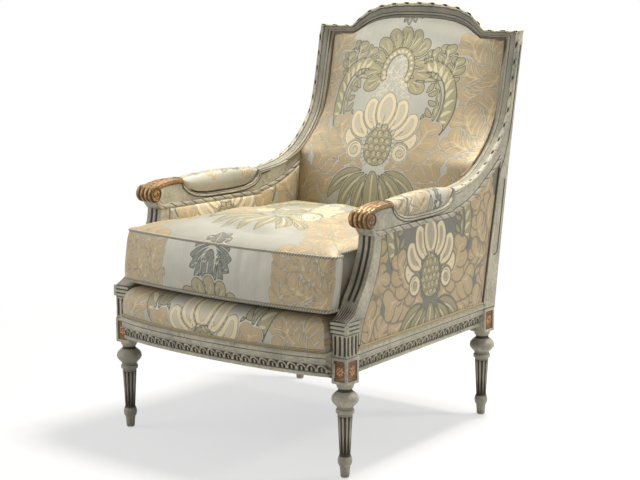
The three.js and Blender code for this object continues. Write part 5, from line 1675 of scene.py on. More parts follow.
def arm_rail(name):
    """The arm from its scroll through the pad's bed to the sweep that meets the stile."""
    y = np.arange(SCROLL_Y, SWEEP_START_Y, ARM_STEP)
    share = np.linspace(0, 1, 100)
    steps = np.linspace(0, 1, len(ARM_SWEEP))
    edges = []
    for height, sweep in ((arm_top_z, ARM_SWEEP), (arm_under_z, ARM_SWEEP_UNDER)):
        swept = np.column_stack([np.interp(share, steps, way) for way in sweep.T])
        edges.append(np.concatenate((np.column_stack((y, height(y))), swept)))
    front, back = edges
    fall = np.concatenate((np.zeros(len(y)), share))
    run = np.concatenate((np.zeros(len(y)), lengths_along(front[len(y) :])))
    across = np.linspace(0, 1, FACE_STEPS)
    inward = unit(back - front)
    reeded = (1 - smooth_step(front[:, 0], PAD_START_Y - 2, PAD_START_Y + 4))[:, None]
    groove = face_groove(across)[None] * GROOVE_DEPTH
    reeds = (1 - np.abs(np.sin(math.pi * 4 * across))[None] ** 0.6) * 2.2
    drop = lerp(groove, reeds, reeded) + face_fall(across)[None] * INNER_FALL * fall[:, None]
    sweeping = smooth_step(run, 0.5, 8)[:, None]
    depth, dark = ribbon_carving(run[:, None], across[None], size_of("ribbon_pitch"))
    drop = drop + depth * sweeping
    glaze = face_glaze(across)[None] * (1 - reeded) + (reeds / 2.4) ** 2 * reeded
    glaze = np.maximum(glaze, dark * sweeping)
    face_y = front[:, :1] + inward[:, :1] * drop
    face_z = front[:, 1:] + inward[:, 1:] * drop
    face = laid(lerp(outer_x(face_y), inner_x(face_y), across[None]), face_y, face_z)
    step = (1 - np.cos(np.linspace(0, math.pi, ARM_SIDE_STEPS + 2)[1:-1])) / 2
    inner = between_lines(face[:, -1, 1:], back, step)
    outer = between_lines(back, face[:, 0, 1:], step)
    fade = smooth_step(run, 5.0, 60.0)[:, None]
    inner_rise, inner_glaze, inner_gold = arm_side(inner, front, back, fade)
    outer_rise, outer_glaze, outer_gold = arm_side(outer, front, back, fade)
    neck = smooth_step(front[:, 0], *NECK_ENDS)[:, None]
    rings = np.concatenate((
        face,
        laid(inner_x(inner[..., 0]) - inner_rise * neck, inner[..., 0], inner[..., 1]),
        laid(inner_x(back[:, :1]), back[:, :1], back[:, 1:]),
        laid(outer_x(back[:, :1]), back[:, :1], back[:, 1:]),
        laid(outer_x(outer[..., 0]) + outer_rise * neck, outer[..., 0], outer[..., 1]),
    ), axis=1)
    blank = np.zeros((len(front), 2))
    shades = np.concatenate((glaze, inner_glaze, blank, outer_glaze), axis=1)
    gold_top = np.broadcast_to(reeded, face_y.shape)
    gilded = np.concatenate((gold_top, inner_gold, blank, outer_gold), axis=1)
    return sleeve(name, rings, {"glaze": shades, "gild": gilded})


ROLL_REEDS = 4
ROLL_STEPS = 72
ROLL_END_SHARES = np.linspace(0.03, 0.8, 14)
ROLL_BODY_SHARES = np.linspace(0, 1, 61)
SPIRAL_TURNS = 2.1
SPIRAL_DEPTH = 1.8


def roll_end(shares, side, angle):
    """How far an end of the roll stands out round its sunk spiral, and its glaze."""
    share = shares[:, None]
    winding = (angle / TURN - share * SPIRAL_TURNS * side) % 1.0
    line = np.clip(1 - np.abs(winding - 0.5) / 0.17, 0, 1) * (share < 0.78) * (share > 0.12)
    boss = 1.2 * bump_at(share, 0.0, 0.14) + 0.8 * bump_at(share, 0.8, 0.08)
    return side * (boss - line * SPIRAL_DEPTH), line * 0.9 + 0.3 * bump_at(share, 0.68, 0.06)


def scroll_roll(name):
    """The gilded roll at the front of the arm: four reeds, and a sunk spiral on each end."""
    reed = np.abs(np.sin(math.pi * ROLL_REEDS * ROLL_BODY_SHARES)) ** 0.5
    x_outer = float(outer_x(SCROLL_Y)) + (SCROLL_WIDTH - ARM_WIDTH) / 2
    angle = np.linspace(0, TURN, ROLL_STEPS, endpoint=False)
    outer, outer_glaze = roll_end(ROLL_END_SHARES, 1, angle)
    inner, inner_glaze = roll_end(ROLL_END_SHARES[::-1], -1, angle)
    body_x = np.repeat(x_outer - ROLL_BODY_SHARES[:, None] * SCROLL_WIDTH, ROLL_STEPS, axis=1)
    body_glaze = np.repeat((1 - reed[:, None]) * 0.9, ROLL_STEPS, axis=1)
    x = np.concatenate((x_outer + outer, body_x, x_outer - SCROLL_WIDTH + inner))
    radius = np.concatenate((ROLL_END_SHARES, 0.86 + 0.16 * reed, ROLL_END_SHARES[::-1]))[:, None]
    radius = radius * SCROLL_RADIUS
    rings = laid(x, SCROLL_Y + np.cos(angle) * radius, SCROLL_Z + np.sin(angle) * radius)
    glaze = np.clip(np.concatenate((outer_glaze, body_glaze, inner_glaze)), 0, 1)
    return sleeve(name, rings, {"glaze": glaze, "gild": np.ones(glaze.shape)})


def build_arms(materials):
    parts = [arm_rail("arm_rail"), scroll_roll("arm_roll")]
    for part in parts:
        dress(part, materials["paint"])
    arm = join("arm_right_carved", parts)
    settle_pair(arm, "arm", "carved", "painted_wood")


# Crest rail

CREST_SHARES = np.array([
    (0.86, 0, 0.94, 0), (0.672, 0, 0.752, 0), (0.636, 0.12, 0.695, 0.12), (0.592, 0.32, 0.639, 0.32),
    (0.541, 0.522, 0.576, 0.525), (0.465, 0.71, 0.497, 0.707), (0.375, 0.855, 0.403, 0.848),
    (0.255, 0.945, 0.271, 0.949), (0.126, 0.987, 0.135, 0.99), (0, 1, 0, 1),
])


def crest_edges():
    """Outer and inner edges of the crest, from one side to the other."""
    outer = [(REAR_OUTER_X, CREST_SEAT), (REAR_OUTER_X, SHOULDER_TOP)]
    inner = [(REAR_INNER_X, CREST_SEAT), (REAR_INNER_X, INNER_SHOULDER)]
    outer += [(x * REAR_OUTER_X, SHOULDER_TOP + z * CROWN_RISE) for x, z in CREST_SHARES[:, :2]]
    inner += [(x * REAR_INNER_X, INNER_SHOULDER + z * INNER_RISE) for x, z in CREST_SHARES[:, 2:]]
    outer += [(-x, z) for x, z in outer[-2::-1]]
    inner += [(-x, z) for x, z in inner[-2::-1]]
    return np.array(outer, float), np.array(inner, float)


def crest_stations(spacing=3.0):
    """The crest's edges in close steps: straight to the arch, and curved along it."""
    outer, inner = crest_edges()
    both = np.concatenate((outer, inner), axis=1)
    start, end = 4, len(both) - 5
    arch = smooth_curve(both[start - 1 : end + 2], (end - start + 2) * 12)
    path = np.concatenate((both[: start - 1], arch, both[end + 2 :]))
    along = lengths_along(path[:, :2])
    pieces = []
    for i in range(len(path) - 1):
        count = max(1, int(round((along[i + 1] - along[i]) / spacing)))
        share = np.arange(count)[:, None] / count
        pieces.append(path[i] + (path[i + 1] - path[i]) * share)
    pieces.append(path[-1:])
    path = np.concatenate(pieces)
    return path[:, :2], path[:, 2:]


def build_crest(materials):
    outer, inner = crest_stations()
    along = lengths_along(outer)
    along = along - along[-1] / 2
    pitch = size_of("ribbon_pitch")
    scallop = (0.5 + 0.5 * np.cos(TURN * along / pitch)) * 2.2
    way = unit(outer - inner)
    outer = outer + way * scallop[:, None] - way * 1.1
    across = np.linspace(0, 1, FACE_STEPS)
    x = lerp(outer[:, :1], inner[:, :1], across[None])
    z = lerp(outer[:, 1:], inner[:, 1:], across[None])
    depth, dark = ribbon_carving(along[:, None], across[None], pitch)
    drop = face_groove(across)[None] * GROOVE_DEPTH + face_fall(across)[None] * INNER_FALL + depth
    glaze = np.maximum(face_glaze(across)[None], dark)
    face = laid(x, stile_front_y(z) + drop, z)
    share = np.linspace(0, 1, 7)
    back_in, back_out = [laid(edge[:, 0], stile_back_y(edge[:, 1]), edge[:, 1]) for edge in (inner, outer)]
    rings = np.concatenate((
        face,
        between_lines(face[:, -1], back_in, share[1:-1]),
        between_lines(back_in, back_out, share),
        between_lines(back_out, face[:, 0], share[1:-1]),
    ), axis=1)
    blank = np.zeros((len(outer), rings.shape[1] - FACE_STEPS))
    crest = sleeve("crest_rail_carved", rings, {"glaze": np.concatenate((glaze, blank), axis=1)})
    dress(crest, materials["paint"])
    settle(crest, "frame", "painted_wood", "crest_rail")


# Seat rails

ARCH_BAND = (0.18, 0.52)
ARCH_HEIGHT = 16.0
ARCH_RIM = 1.5
ARCH_RISE = 1.9
RAIL_ROWS = 74
STEPS_PER_ARCH = 12


def arch_carving(along, height_share):
    """A row of round arches with a leaf in each: rise and glaze."""
    pitch = size_of("arch_pitch")
    a = (along / pitch - np.round(along / pitch)) * pitch
    low, high = ARCH_BAND
    b = (height_share - low) / (high - low) * ARCH_HEIGHT
    radius = np.hypot(a, np.maximum(b - 2.5, 0))
    reach = pitch / 2 - 1.2
    rim = hump(radius - reach + ARCH_RIM, ARCH_RIM)
    inside = smooth_step(reach - ARCH_RIM * 1.8 - radius, -0.4, 0.8)
    leaf_width = 3.4 * np.sin(math.pi * np.clip((b + 1.5) / 12.0, 0, 1)) ** 0.8
    leaf = smooth_step(leaf_width - np.abs(a), -0.3, 1.6)
    spandrel = smooth_step(radius - reach - 0.2, 0, 1.2)
    band = (height_share > low) & (height_share < high)
    rise = (rim * ARCH_RISE - inside * (1 - leaf) * 1.5 + leaf * 1.1 - spandrel * 0.9) * band
    glaze = (inside * (1 - leaf) + spandrel * 0.75) * band
    return rise, glaze


RAIL_QUIRKS = ((0.165, 0.012, 0.95), (0.545, 0.01, 0.8), (0.625, 0.012, 0.5), (0.81, 0.028, 0.9))


def rail_section(along):
    """Reach of the rail's moulding and its carving, by height, with their glaze."""
    share = np.linspace(0, 1, RAIL_ROWS)
    shares = np.array(RAIL_MOULDING_SHARES)
    reach = np.interp(share, shares[:, 0], shares[:, 1])
    cove = -0.05 * np.sin(math.pi * np.clip((share - 0.64) / 0.18, 0, 1))
    rise, glaze = arch_carving(along[:, None], share[None])
    lines = sum(strength * bump_at(share, at, width) for at, width, strength in RAIL_QUIRKS)
    rise = rise - lines[None] * 0.8
    glaze = np.clip(glaze + lines[None], 0, 1)
    return share, reach + cove, rise, glaze


def bow_share(x):
    return hump(x, FRONT_OUTER_X)


def front_rail_y(x, reach):
    bow = bow_share(x)
    out = RAIL_REACH * lerp(RAIL_END_REACH_SHARE, 1.0, bow)
    return FRONT_BOW_START_Y - FRONT_BOW * bow - out * reach + RAIL_REACH * RAIL_SET_SHARE


def rail_steps(path):
    return spaced(path, size_of("arch_pitch") / STEPS_PER_ARCH)


def front_rail_path(reach, end_x):
    x = end_x * np.sin(np.linspace(-math.pi / 2, math.pi / 2, 400))
    return np.column_stack((x, front_rail_y(x, reach)))


def rail_piece(name, face, back_x, back_y, glaze, materials):
    """A rail from its carved face and the two lower and upper edges of its back."""
    back = laid(back_x, back_y, (RAIL_TOP, RAIL_BOTTOM))
    shades = np.concatenate((glaze, np.zeros((len(glaze), 2))), axis=1)
    rail = sleeve(name, np.concatenate((face, back), axis=1), {"glaze": shades})
    return dress(rail, materials["paint"])


def build_rails(materials):
    path = rail_steps(front_rail_path(0.6, FRONT_INNER_X - SEAT_GAP))
    along = lengths_along(path)
    share, reach, rise, glaze = rail_section(along - along[-1] / 2)
    x = path[:, :1]
    height = RAIL_BOTTOM + share * RAIL_HEIGHT
    slope = np.gradient(path[:, 1]) / np.gradient(path[:, 0])
    out = unit(np.column_stack((slope, -np.ones_like(slope))))
    y = front_rail_y(x, reach[None]) + rise * out[:, 1:]
    face = laid(x + rise * out[:, :1] * bow_share(x), y, height)
    front = rail_piece("front_rail_carved", face, x, FRONT_RAIL_INNER_Y, glaze, materials)
    settle(front, "frame", "painted_wood", "front_rail")

    y = rail_steps([(FRONT_BACK_Y + SEAT_GAP, 0), (REAR_FRONT_Y - SEAT_GAP, 0)])[:, :1]
    share, reach, rise, glaze = rail_section((y - y[0])[:, 0] + size_of("arch_pitch") / 2)
    face = laid(outer_x(y) - RAIL_REACH * (1 - reach[None]) * SIDE_REACH_SHARE + rise, y, height)
    back_x = outer_x(y) - SIDE_RAIL_THICKNESS
    side = rail_piece("side_rail_right_carved", face, back_x, y, glaze, materials)
    settle_pair(side, "side_rail", "carved", "painted_wood")


KEPT_FINISHES = {
    "paint": ("rear_rail",),
    "plain_wood": (
        "lower_back_rail", "front_corner_block_right", "front_corner_block_left",
        "rear_corner_block_right", "rear_corner_block_left",
    ),
    "steel": ("front_glide_right", "front_glide_left", "rear_glide_right", "rear_glide_left"),
    "webbing": tuple(f"webbing_{way}_{i}" for way in ("long", "cross") for i in range(1, 6)),
    "lining": ("dust_cover",),
}


def dress_kept_parts(materials):
    for finish, names in KEPT_FINISHES.items():
        for name in names:
            dress(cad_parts[name], materials[finish])


# Upholstery

LOWER_RAIL_BOTTOM = RAIL_TOP + 12.0
LOWER_RAIL_THICKNESS = 20.0
LOWER_RAIL_FRONT_Y = (
    float(stile_back_y(LOWER_RAIL_BOTTOM)) - BACK_PANEL_RECESS - BACK_PANEL_THICKNESS - CAVITY
    - LOWER_RAIL_THICKNESS
)
CLOTH_STEP = 3.0
BACK_ROUND_POWER = 2.6
BACK_PATTERN_STRETCH = 0.948
EDGE_EASE = 8.0
BACK_CENTRE_SHARES = [
    (0, 0), (0.02, 0.22), (0.1, 0.38), (0.265, 0.53), (0.49, 0.685), (0.735, 0.84), (0.9, 0.94), (1, 1),
]


def steps_for(length, spacing=CLOTH_STEP):
    return np.linspace(0, 1, max(2, int(round(length / spacing)) + 1))


def corner_line_y(z):
    return CORNER_LINE_Y + (z - CORNER_LINE_HEIGHT) * CORNER_LINE_SLOPE


def back_edge_y(z):
    z = np.asarray(z, float)
    sweep = np.where(z > SWEEP[0, 1], read_y(SWEEP, np.minimum(z, CREST_SEAT)), 0.0)
    upper = np.where(z > CREST_SEAT, stile_front_y(z), sweep)
    inner_edge = upper + GROOVE_DEPTH + INNER_FALL
    return np.logaddexp(corner_line_y(z) / EDGE_EASE, inner_edge / EDGE_EASE) * EDGE_EASE


def crest_inner_z(x):
    _, inner = crest_edges()
    right = inner[1 : len(CREST_SHARES) + 2][::-1]
    path = smooth_curve(right, len(right) * 8)
    path = path[np.argsort(path[:, 0])]
    return np.minimum(
        np.interp(np.abs(x), path[:, 0], path[:, 1]),
        np.interp(np.abs(x), right[:, 0], right[:, 1]) + 1.0,
    )


def back_pad(name, columns, rows, bottom, front, back, few_rows):
    """A padded panel between the stiles, from its front and back over a grid of places."""
    end = REAR_INNER_X - SEAT_GAP
    rings = []
    for x in columns * end:
        top = float(crest_inner_z(x)) - 2 * SEAT_GAP
        z = lerp(bottom, top, rows)
        z_back = lerp(bottom, top, few_rows)[::-1]
        rings.append(np.concatenate((laid(x, front(abs(x) / end, z), z), laid(x, back(z_back), z_back))))
    return sleeve(name, rings)


def centre_and_edges(step):
    """Columns across a panel, closer together near its edges."""
    angle = np.linspace(-1, 1, int(round(2 / step)) + 1)
    return np.sin(angle * math.pi / 2) * 0.35 + angle * 0.65


BACK_EASE = 110.0
BACK_FLOWER = (-22.0, 332.0)
# The soft roll under the crest: its depth, its fall towards the sides, its drop and half height
BACK_ROLL = 5.0
BACK_ROLL_FALL = 46.0
BACK_ROLL_DROP = 24
BACK_ROLL_HALF = 22
COLUMN_STEP = 0.0104
FEW_ROWS = np.linspace(0, 1, 6)


def build_inside_back(materials):
    bottom = DECK_TOP + SEAT_GAP
    head_z = INNER_SHOULDER + INNER_RISE
    head_y = float(stile_front_y(head_z)) + GROOVE_DEPTH + INNER_FALL
    centre = smooth_curve(
        scaled(BACK_CENTRE_SHARES, (BACK_FOOT_Y, bottom), (head_y, head_z)), len(BACK_CENTRE_SHARES) * 8,
    )

    heights = np.arange(bottom - BACK_EASE, head_z + BACK_EASE)
    clamped = np.minimum(read_y(centre, np.clip(heights, bottom, head_z)), back_edge_y(heights) - SEAT_GAP)
    window = np.ones(int(BACK_EASE)) / int(BACK_EASE)
    padded = np.pad(clamped, int(BACK_EASE), mode="reflect", reflect_type="odd")
    eased = np.convolve(padded, window, "same")[int(BACK_EASE) : -int(BACK_EASE)]

    def front(u, z):
        edge = back_edge_y(z)
        middle = np.minimum(np.interp(z, heights, eased), edge - SEAT_GAP)
        roll_z = head_z - BACK_ROLL_FALL * u - BACK_ROLL_DROP
        roll = BACK_ROLL * (1 - u**4) * bump_at(z, roll_z, BACK_ROLL_HALF)
        return lerp(middle, edge, u**BACK_ROUND_POWER) - roll

    def back(z):
        return stile_back_y(z) - BACK_PANEL_RECESS - BACK_PANEL_THICKNESS - SEAT_GAP

    piece = back_pad(
        "inside_back_upholstered", centre_and_edges(COLUMN_STEP), steps_for(head_z - bottom), bottom,
        front, back, FEW_ROWS,
    )
    points = plan_points(piece)
    cloth = Cloth(points[:, 0], (points[:, 2] - DECK_TOP) / BACK_PATTERN_STRETCH)
    repeat(cloth, BACK_FLOWER)
    lay_cloth(piece, cloth)
    dress(piece, materials["damask"])
    settle(piece, "frame", "damask", "inside_back")


def build_outside_back(materials):
    bottom = RAIL_TOP - 3.0 + SEAT_GAP

    def front(u, z):
        return stile_back_y(z) - BACK_PANEL_RECESS - BACK_PANEL_THICKNESS

    def back(z):
        return stile_back_y(z) - BACK_PANEL_RECESS

    piece = back_pad(
        "outside_back_upholstered", centre_and_edges(COLUMN_STEP * 2), FEW_ROWS, bottom, front, back,
        steps_for(INNER_SHOULDER + INNER_RISE - bottom),
    )
    points = plan_points(piece)
    cloth = Cloth(points[:, 0], (points[:, 2] - DECK_TOP) / BACK_PATTERN_STRETCH)
    repeat(cloth, (0.0, BACK_FLOWER[1]))
    lay_cloth(piece, cloth)
    dress(piece, materials["outer_damask"])
    settle(piece, "frame", "damask", "outside_back")


PANEL_COLUMNS = 200
PANEL_ROWS = 92
PANEL_SCAN_STEPS = 4000
OUTLINE_STEP = 8.0


def side_pad(name, rear, margin, surface, depth):
    """A pad that fills the side panel, its face at the x that surface gives."""
    heights = np.linspace(RAIL_TOP + margin, JOINT_BACK_HEIGHT, PANEL_SCAN_STEPS)
    stump = read_y(smooth_curve(STUMP_BACK, STUMP_CURVE_STEPS), heights)
    front = np.where(heights < ARM_UNDER - margin, stump, read_y(ARM_SWEEP_UNDER, heights)) + margin
    back = rear(heights)
    open_there = back > front
    y = np.linspace(front[0] + margin, back[open_there].max() - margin, PANEL_COLUMNS)
    inside_there = (front <= y[:, None]) & (back >= y[:, None]) & open_there
    low = heights[np.argmax(inside_there, axis=1)]
    high = heights[len(heights) - 1 - np.argmax(inside_there[:, ::-1], axis=1)]
    rows = np.linspace(0, 1, PANEL_ROWS)
    places = between_lines(np.column_stack((y, low)), np.column_stack((y, high)), rows)
    outline = np.concatenate((places[:, 0], places[::-1, -1], places[:1, 0]))
    inside, _ = gap_to(spaced(outline, OUTLINE_STEP), places)
    y, z = np.moveaxis(places, -1, 0)
    face = laid(surface(y, z, inside), y, z)
    ends_y = y[:, [-1, 0]]
    behind = laid(outer_x(ends_y) - depth, ends_y, z[:, [-1, 0]])
    return sleeve(name, np.concatenate((face, behind), axis=1))


OUTER_PAD_BULGE = 2.2
OUTER_PAD_EASE = 40
SIDE_PAD_EASE = 45.0
SIDE_PAD_FOOT = (DECK_TOP - 20, DECK_TOP + 10)
SIDE_FLOWER = (26.0, 432.0)
INNER_FLOWER = (0.0, 500.0)


def build_side_panels(materials):
    def outer_surface(y, z, inside):
        return outer_x(y) - PANEL_RECESS + OUTER_PAD_BULGE * smooth_step(inside, 0, OUTER_PAD_EASE)

    def inner_surface(y, z, inside):
        lift = SIDE_PAD_BULGE * hump(1 - np.clip(inside / SIDE_PAD_EASE, 0, 1), 1)
        return inner_x(y) - lift * smooth_step(z, *SIDE_PAD_FOOT)

    depth = PANEL_RECESS + PANEL_THICKNESS
    settings = (
        ("outside", stile_front_y, outer_surface, depth, SIDE_FLOWER, "outer_damask"),
        ("inside", corner_line_y, inner_surface, depth + CAVITY, INNER_FLOWER, "damask"),
    )
    for where, rear, surface, reach, flower, finish in settings:
        panel = side_pad(f"{where}_arm_right_upholstered", rear, SEAT_GAP, surface, reach)
        _, along, up = plan_points(panel).T
        cloth = Cloth(along, up)
        repeat(cloth, flower)
        lay_cloth(panel, cloth)
        dress(panel, materials[finish])
        settle_pair(panel, f"{where}_arm", "upholstered", "damask")


DECK_RING_SHARES = np.array([
    (0, 0, 0), (0.2, 0.8, 0), (0.42, 1, 0.01), (0.62, 0.7, 0.06), (0.8, 0.25, 0.22), (0.93, 0, 0.55),
    (1, 0, 1),
])
DECK_FLOWER = (-15.0, 275.0)
DECK_TOP_RINGS = 50


def deck_side_x(y):
    return np.minimum(inner_x(y), FRONT_INNER_X - CAP_OVERHANG) - SEAT_GAP


def deck_plan(roll, inset):
    """The deck's outline from its front left corner round the right side."""
    front_x = float(deck_side_x(FRONT_FACE_Y)) - inset
    angle = np.linspace(-1, 1, 181) * math.pi / 2
    x = front_x * np.sin(angle)
    front = np.column_stack((x, front_rail_y(x, 1) + DECK_RAIL_MARGIN - roll * bow_share(x) + inset))
    nose = float(stile_front_y(RAIL_TOP + SEAT_GAP + 8.0))
    y = np.linspace(FRONT_BACK_Y, nose - SEAT_GAP * 2, 60)
    side = np.column_stack((deck_side_x(y) - inset, y))
    rear_x = REAR_INNER_X - SEAT_GAP - inset
    rear = np.array([(rear_x, nose - SEAT_GAP), (rear_x, LOWER_RAIL_FRONT_Y - SEAT_GAP - inset)])
    right = np.concatenate((side, rear))
    return np.concatenate((front, right, right[::-1] * (-1, 1)))


def build_deck(materials):
    share = np.linspace(0, 1, 34)
    rolls = smooth_curve(DECK_RING_SHARES, 60)
    roll = np.interp(share, rolls[:, 0], rolls[:, 1]) * DECK_ROLL
    inset = np.interp(share, rolls[:, 0], rolls[:, 2]) * DECK_EDGE_ROUND
    rings = []
    for height, out, back in zip(lerp(RAIL_TOP + SEAT_GAP, DECK_TOP, share), roll, np.maximum(inset, 0)):
        rings.append(laid(*deck_plan(out, back).T, height))
    top = rings[-1]
    for scale in np.linspace(1, 0, DECK_TOP_RINGS)[1:-1]:
        rings.append(top * (scale, scale, 1) + (0, 0, 1.5 * (1 - scale)))
    piece = sleeve("seat_deck_upholstered", rings)
    points = plan_points(piece)
    behind_nose = np.maximum(points[:, 1] - FRONT_FACE_Y - DECK_EDGE_ROUND, 0)
    cloth = Cloth(points[:, 0], points[:, 2] + behind_nose)
    repeat(cloth, DECK_FLOWER)
    lay_cloth(piece, cloth)
    dress(piece, materials["damask"])
    settle(piece, "frame", "damask", "seat_deck")


ARM_PAD_SECTION_SHARES = [(-0.86, 0), (-1, 0.3), (-0.97, 0.6), (-0.8, 0.85), (-0.45, 0.97), (0, 1)]
ARM_PAD_END_WIDTH_SHARE = 0.72


def build_arm_pads(materials):
    share = (1 - np.cos(np.linspace(0, math.pi, 96))) / 2
    share = lerp(0.012, 0.992, share)
    y = lerp(PAD_START_Y, PAD_END_Y, share)
    ease = np.sqrt(np.sin(math.pi * share))
    half = ((outer_x(y) - inner_x(y)) / 2 + ARM_PAD_BULGE) * lerp(ARM_PAD_END_WIDTH_SHARE, 1.0, ease)
    middle = (outer_x(y) + inner_x(y)) / 2
    y, half, middle = y[:, None], half[:, None], middle[:, None]
    low = arm_top_z(y) + SEAT_GAP
    high = np.maximum(ARM_TOP - SWEEP_START_DROP + ARM_PAD_CROWN * ease[:, None], low + 6.0)
    left = np.array(ARM_PAD_SECTION_SHARES)
    across, up = smooth_curve(np.concatenate((left, left[-2::-1] * (-1, 1))), 40).T
    piece = sleeve("arm_pad_right_upholstered", laid(middle + half * across, y, low + (high - low) * up))
    x, y, z = plan_points(piece).T
    cloth = Cloth(y, x - outer_x(y) + ARM_WIDTH / 2 + (z - ARM_TOP) * 0.6)
    pad_figure(cloth, (PAD_START_Y + PAD_END_Y) / 2)
    lay_cloth(piece, cloth)
    dress(piece, materials["damask"])
    settle_pair(piece, "arm_pad", "upholstered", "damask")


# Leaves along the arm pad: dye, stalk, tip, width and curl
PAD_LEAVES = [
    ("tan", (-128, -4), (-62, 10), 44, 0.3), ("olive", (-36, 16), (-92, -14), 30, -0.3),
    ("ivory", (-18, 14), (-72, 14), 34, 0.3), ("tan", (10, 14), (-36, -16), 40, -0.3),
    ("olive", (34, 18), (6, -18), 22, 0.2), ("tan", (126, 12), (84, -18), 30, 0.3),
]
PAD_ROUNDEL = (66.0, 4.0)
PAD_PETALS = 9


def pad_figure(cloth, middle):
    """Leaves along the arm pad and a small flower near its rear end."""
    for dye, stalk, tip, width, curl in PAD_LEAVES:
        draw = cloth.acanthus if dye == "tan" else cloth.leaf
        path = draw(dye, beside(stalk, 1, (middle, 0)), beside(tip, 1, (middle, 0)), width, curl)
        cloth.stroke("line", path[2:-2] + (0, 5), 1.6)
    centre = beside(PAD_ROUNDEL, 1, (middle, 0))
    for i in range(PAD_PETALS):
        cloth.leaf("slate", centre, angled(centre, (24.0, 20.0), TURN * i / PAD_PETALS), 12, 0.0, 4, 2.0)
    cloth.disc("lace", centre, 7.0)


# The loose cushion

CUSHION_BOW_SHARES = [0, 0.18, 0.36, 0.54, 0.72, 0.88, 1]
CUSHION_SIDE_SHARES = [0.33, 0.66, 1]
BOXING_SHARES = [(0, 0), (0.04, 0.45), (0.2, 0.9), (0.5, 1), (0.8, 0.9), (0.96, 0.45), (1, 0)]
CROWN_SHARES = [
    (1, 0), (0.985, 0.2), (0.945, 0.44), (0.87, 0.7), (0.76, 0.88), (0.58, 0.98), (0.36, 1), (0.12, 1),
]
UNDER_SHARES = [(0.15, 1), (0.5, 1), (0.86, 1), (0.94, 0.8), (0.985, 0.35), (1, 0)]
CUSHION_FLOWER = (-20.0, 307.0)


def cushion_body_x(y):
    return inner_x(y) - SIDE_PAD_BULGE - CUSHION_CLEARANCE - CUSHION_BULGE


def cushion_half_plan(out, lean):
    """Right half of the cushion's plan, from the middle of its front round to its back."""
    points = []
    bend = CUSHION_HALF_WIDTH - CUSHION_CORNER
    for share in CUSHION_BOW_SHARES:
        x = share * bend
        y = CUSHION_CORNER_Y - CUSHION_BOW * (1 - share**2)
        points.append((x * (1 + out / CUSHION_HALF_WIDTH), y - out + lean))
    stump_y = float(read_y(smooth_curve(STUMP_FRONT, STUMP_CURVE_STEPS), CUSHION_LOW_WELT))
    neck = stump_y - CUSHION_CLEARANCE - CUSHION_BULGE + lean
    for step in range(1, 6):
        angle = step / 5 * math.pi / 2
        x = bend + math.sin(angle) * CUSHION_CORNER
        y = CUSHION_CORNER_Y + (1 - math.cos(angle)) * CUSHION_CORNER
        points.append((x + out, y - out * math.cos(angle) + lean))
    points.append((CUSHION_HALF_WIDTH + out, neck - EAR_ROUND))
    points.append((CUSHION_HALF_WIDTH - EAR_ROUND + out, neck))
    points.append((float(cushion_body_x(neck)) + EAR_ROUND, neck))
    points.append((float(cushion_body_x(neck + EAR_ROUND)) + out, neck + EAR_ROUND))
    back = BACK_FOOT_Y - CUSHION_CLEARANCE - CUSHION_BULGE
    for share in CUSHION_SIDE_SHARES:
        y = lerp(neck + EAR_ROUND, back - CUSHION_CORNER * 2, share)
        points.append((float(cushion_body_x(y)) + out, y))
    for step in range(1, 6):
        angle = step / 5 * math.pi / 2
        x = float(cushion_body_x(back)) - (1 - math.cos(angle)) * CUSHION_CORNER
        y = back - (1 - math.sin(angle)) * CUSHION_CORNER
        points.append((x + out * math.cos(angle), y + out * math.sin(angle)))
    points.append((0, back + out))
    return np.array(points)


CUSHION_PLAN_STEPS = 288
UNDERSIDE, BOXING, SEAM, CROWN = 0.0, 1.0, 1.5, 2.0
UNDERSIDE_SHIFT = 700
CROWN_SHIFT = 4.0
FOLD_DEPTH = 1.3


def cushion_plan(height_share, out):
    """The cushion's whole plan in even steps from the middle of its front."""
    half = cushion_half_plan(out, CUSHION_LEAN * np.clip(height_share, 0, 1))
    along = lengths_along(half)
    wanted = np.linspace(0, along[-1], CUSHION_PLAN_STEPS // 2 + 1)
    right = np.column_stack([np.interp(wanted, along, column) for column in half.T])
    return np.concatenate((right, right[-2:0:-1] * (-1, 1)))


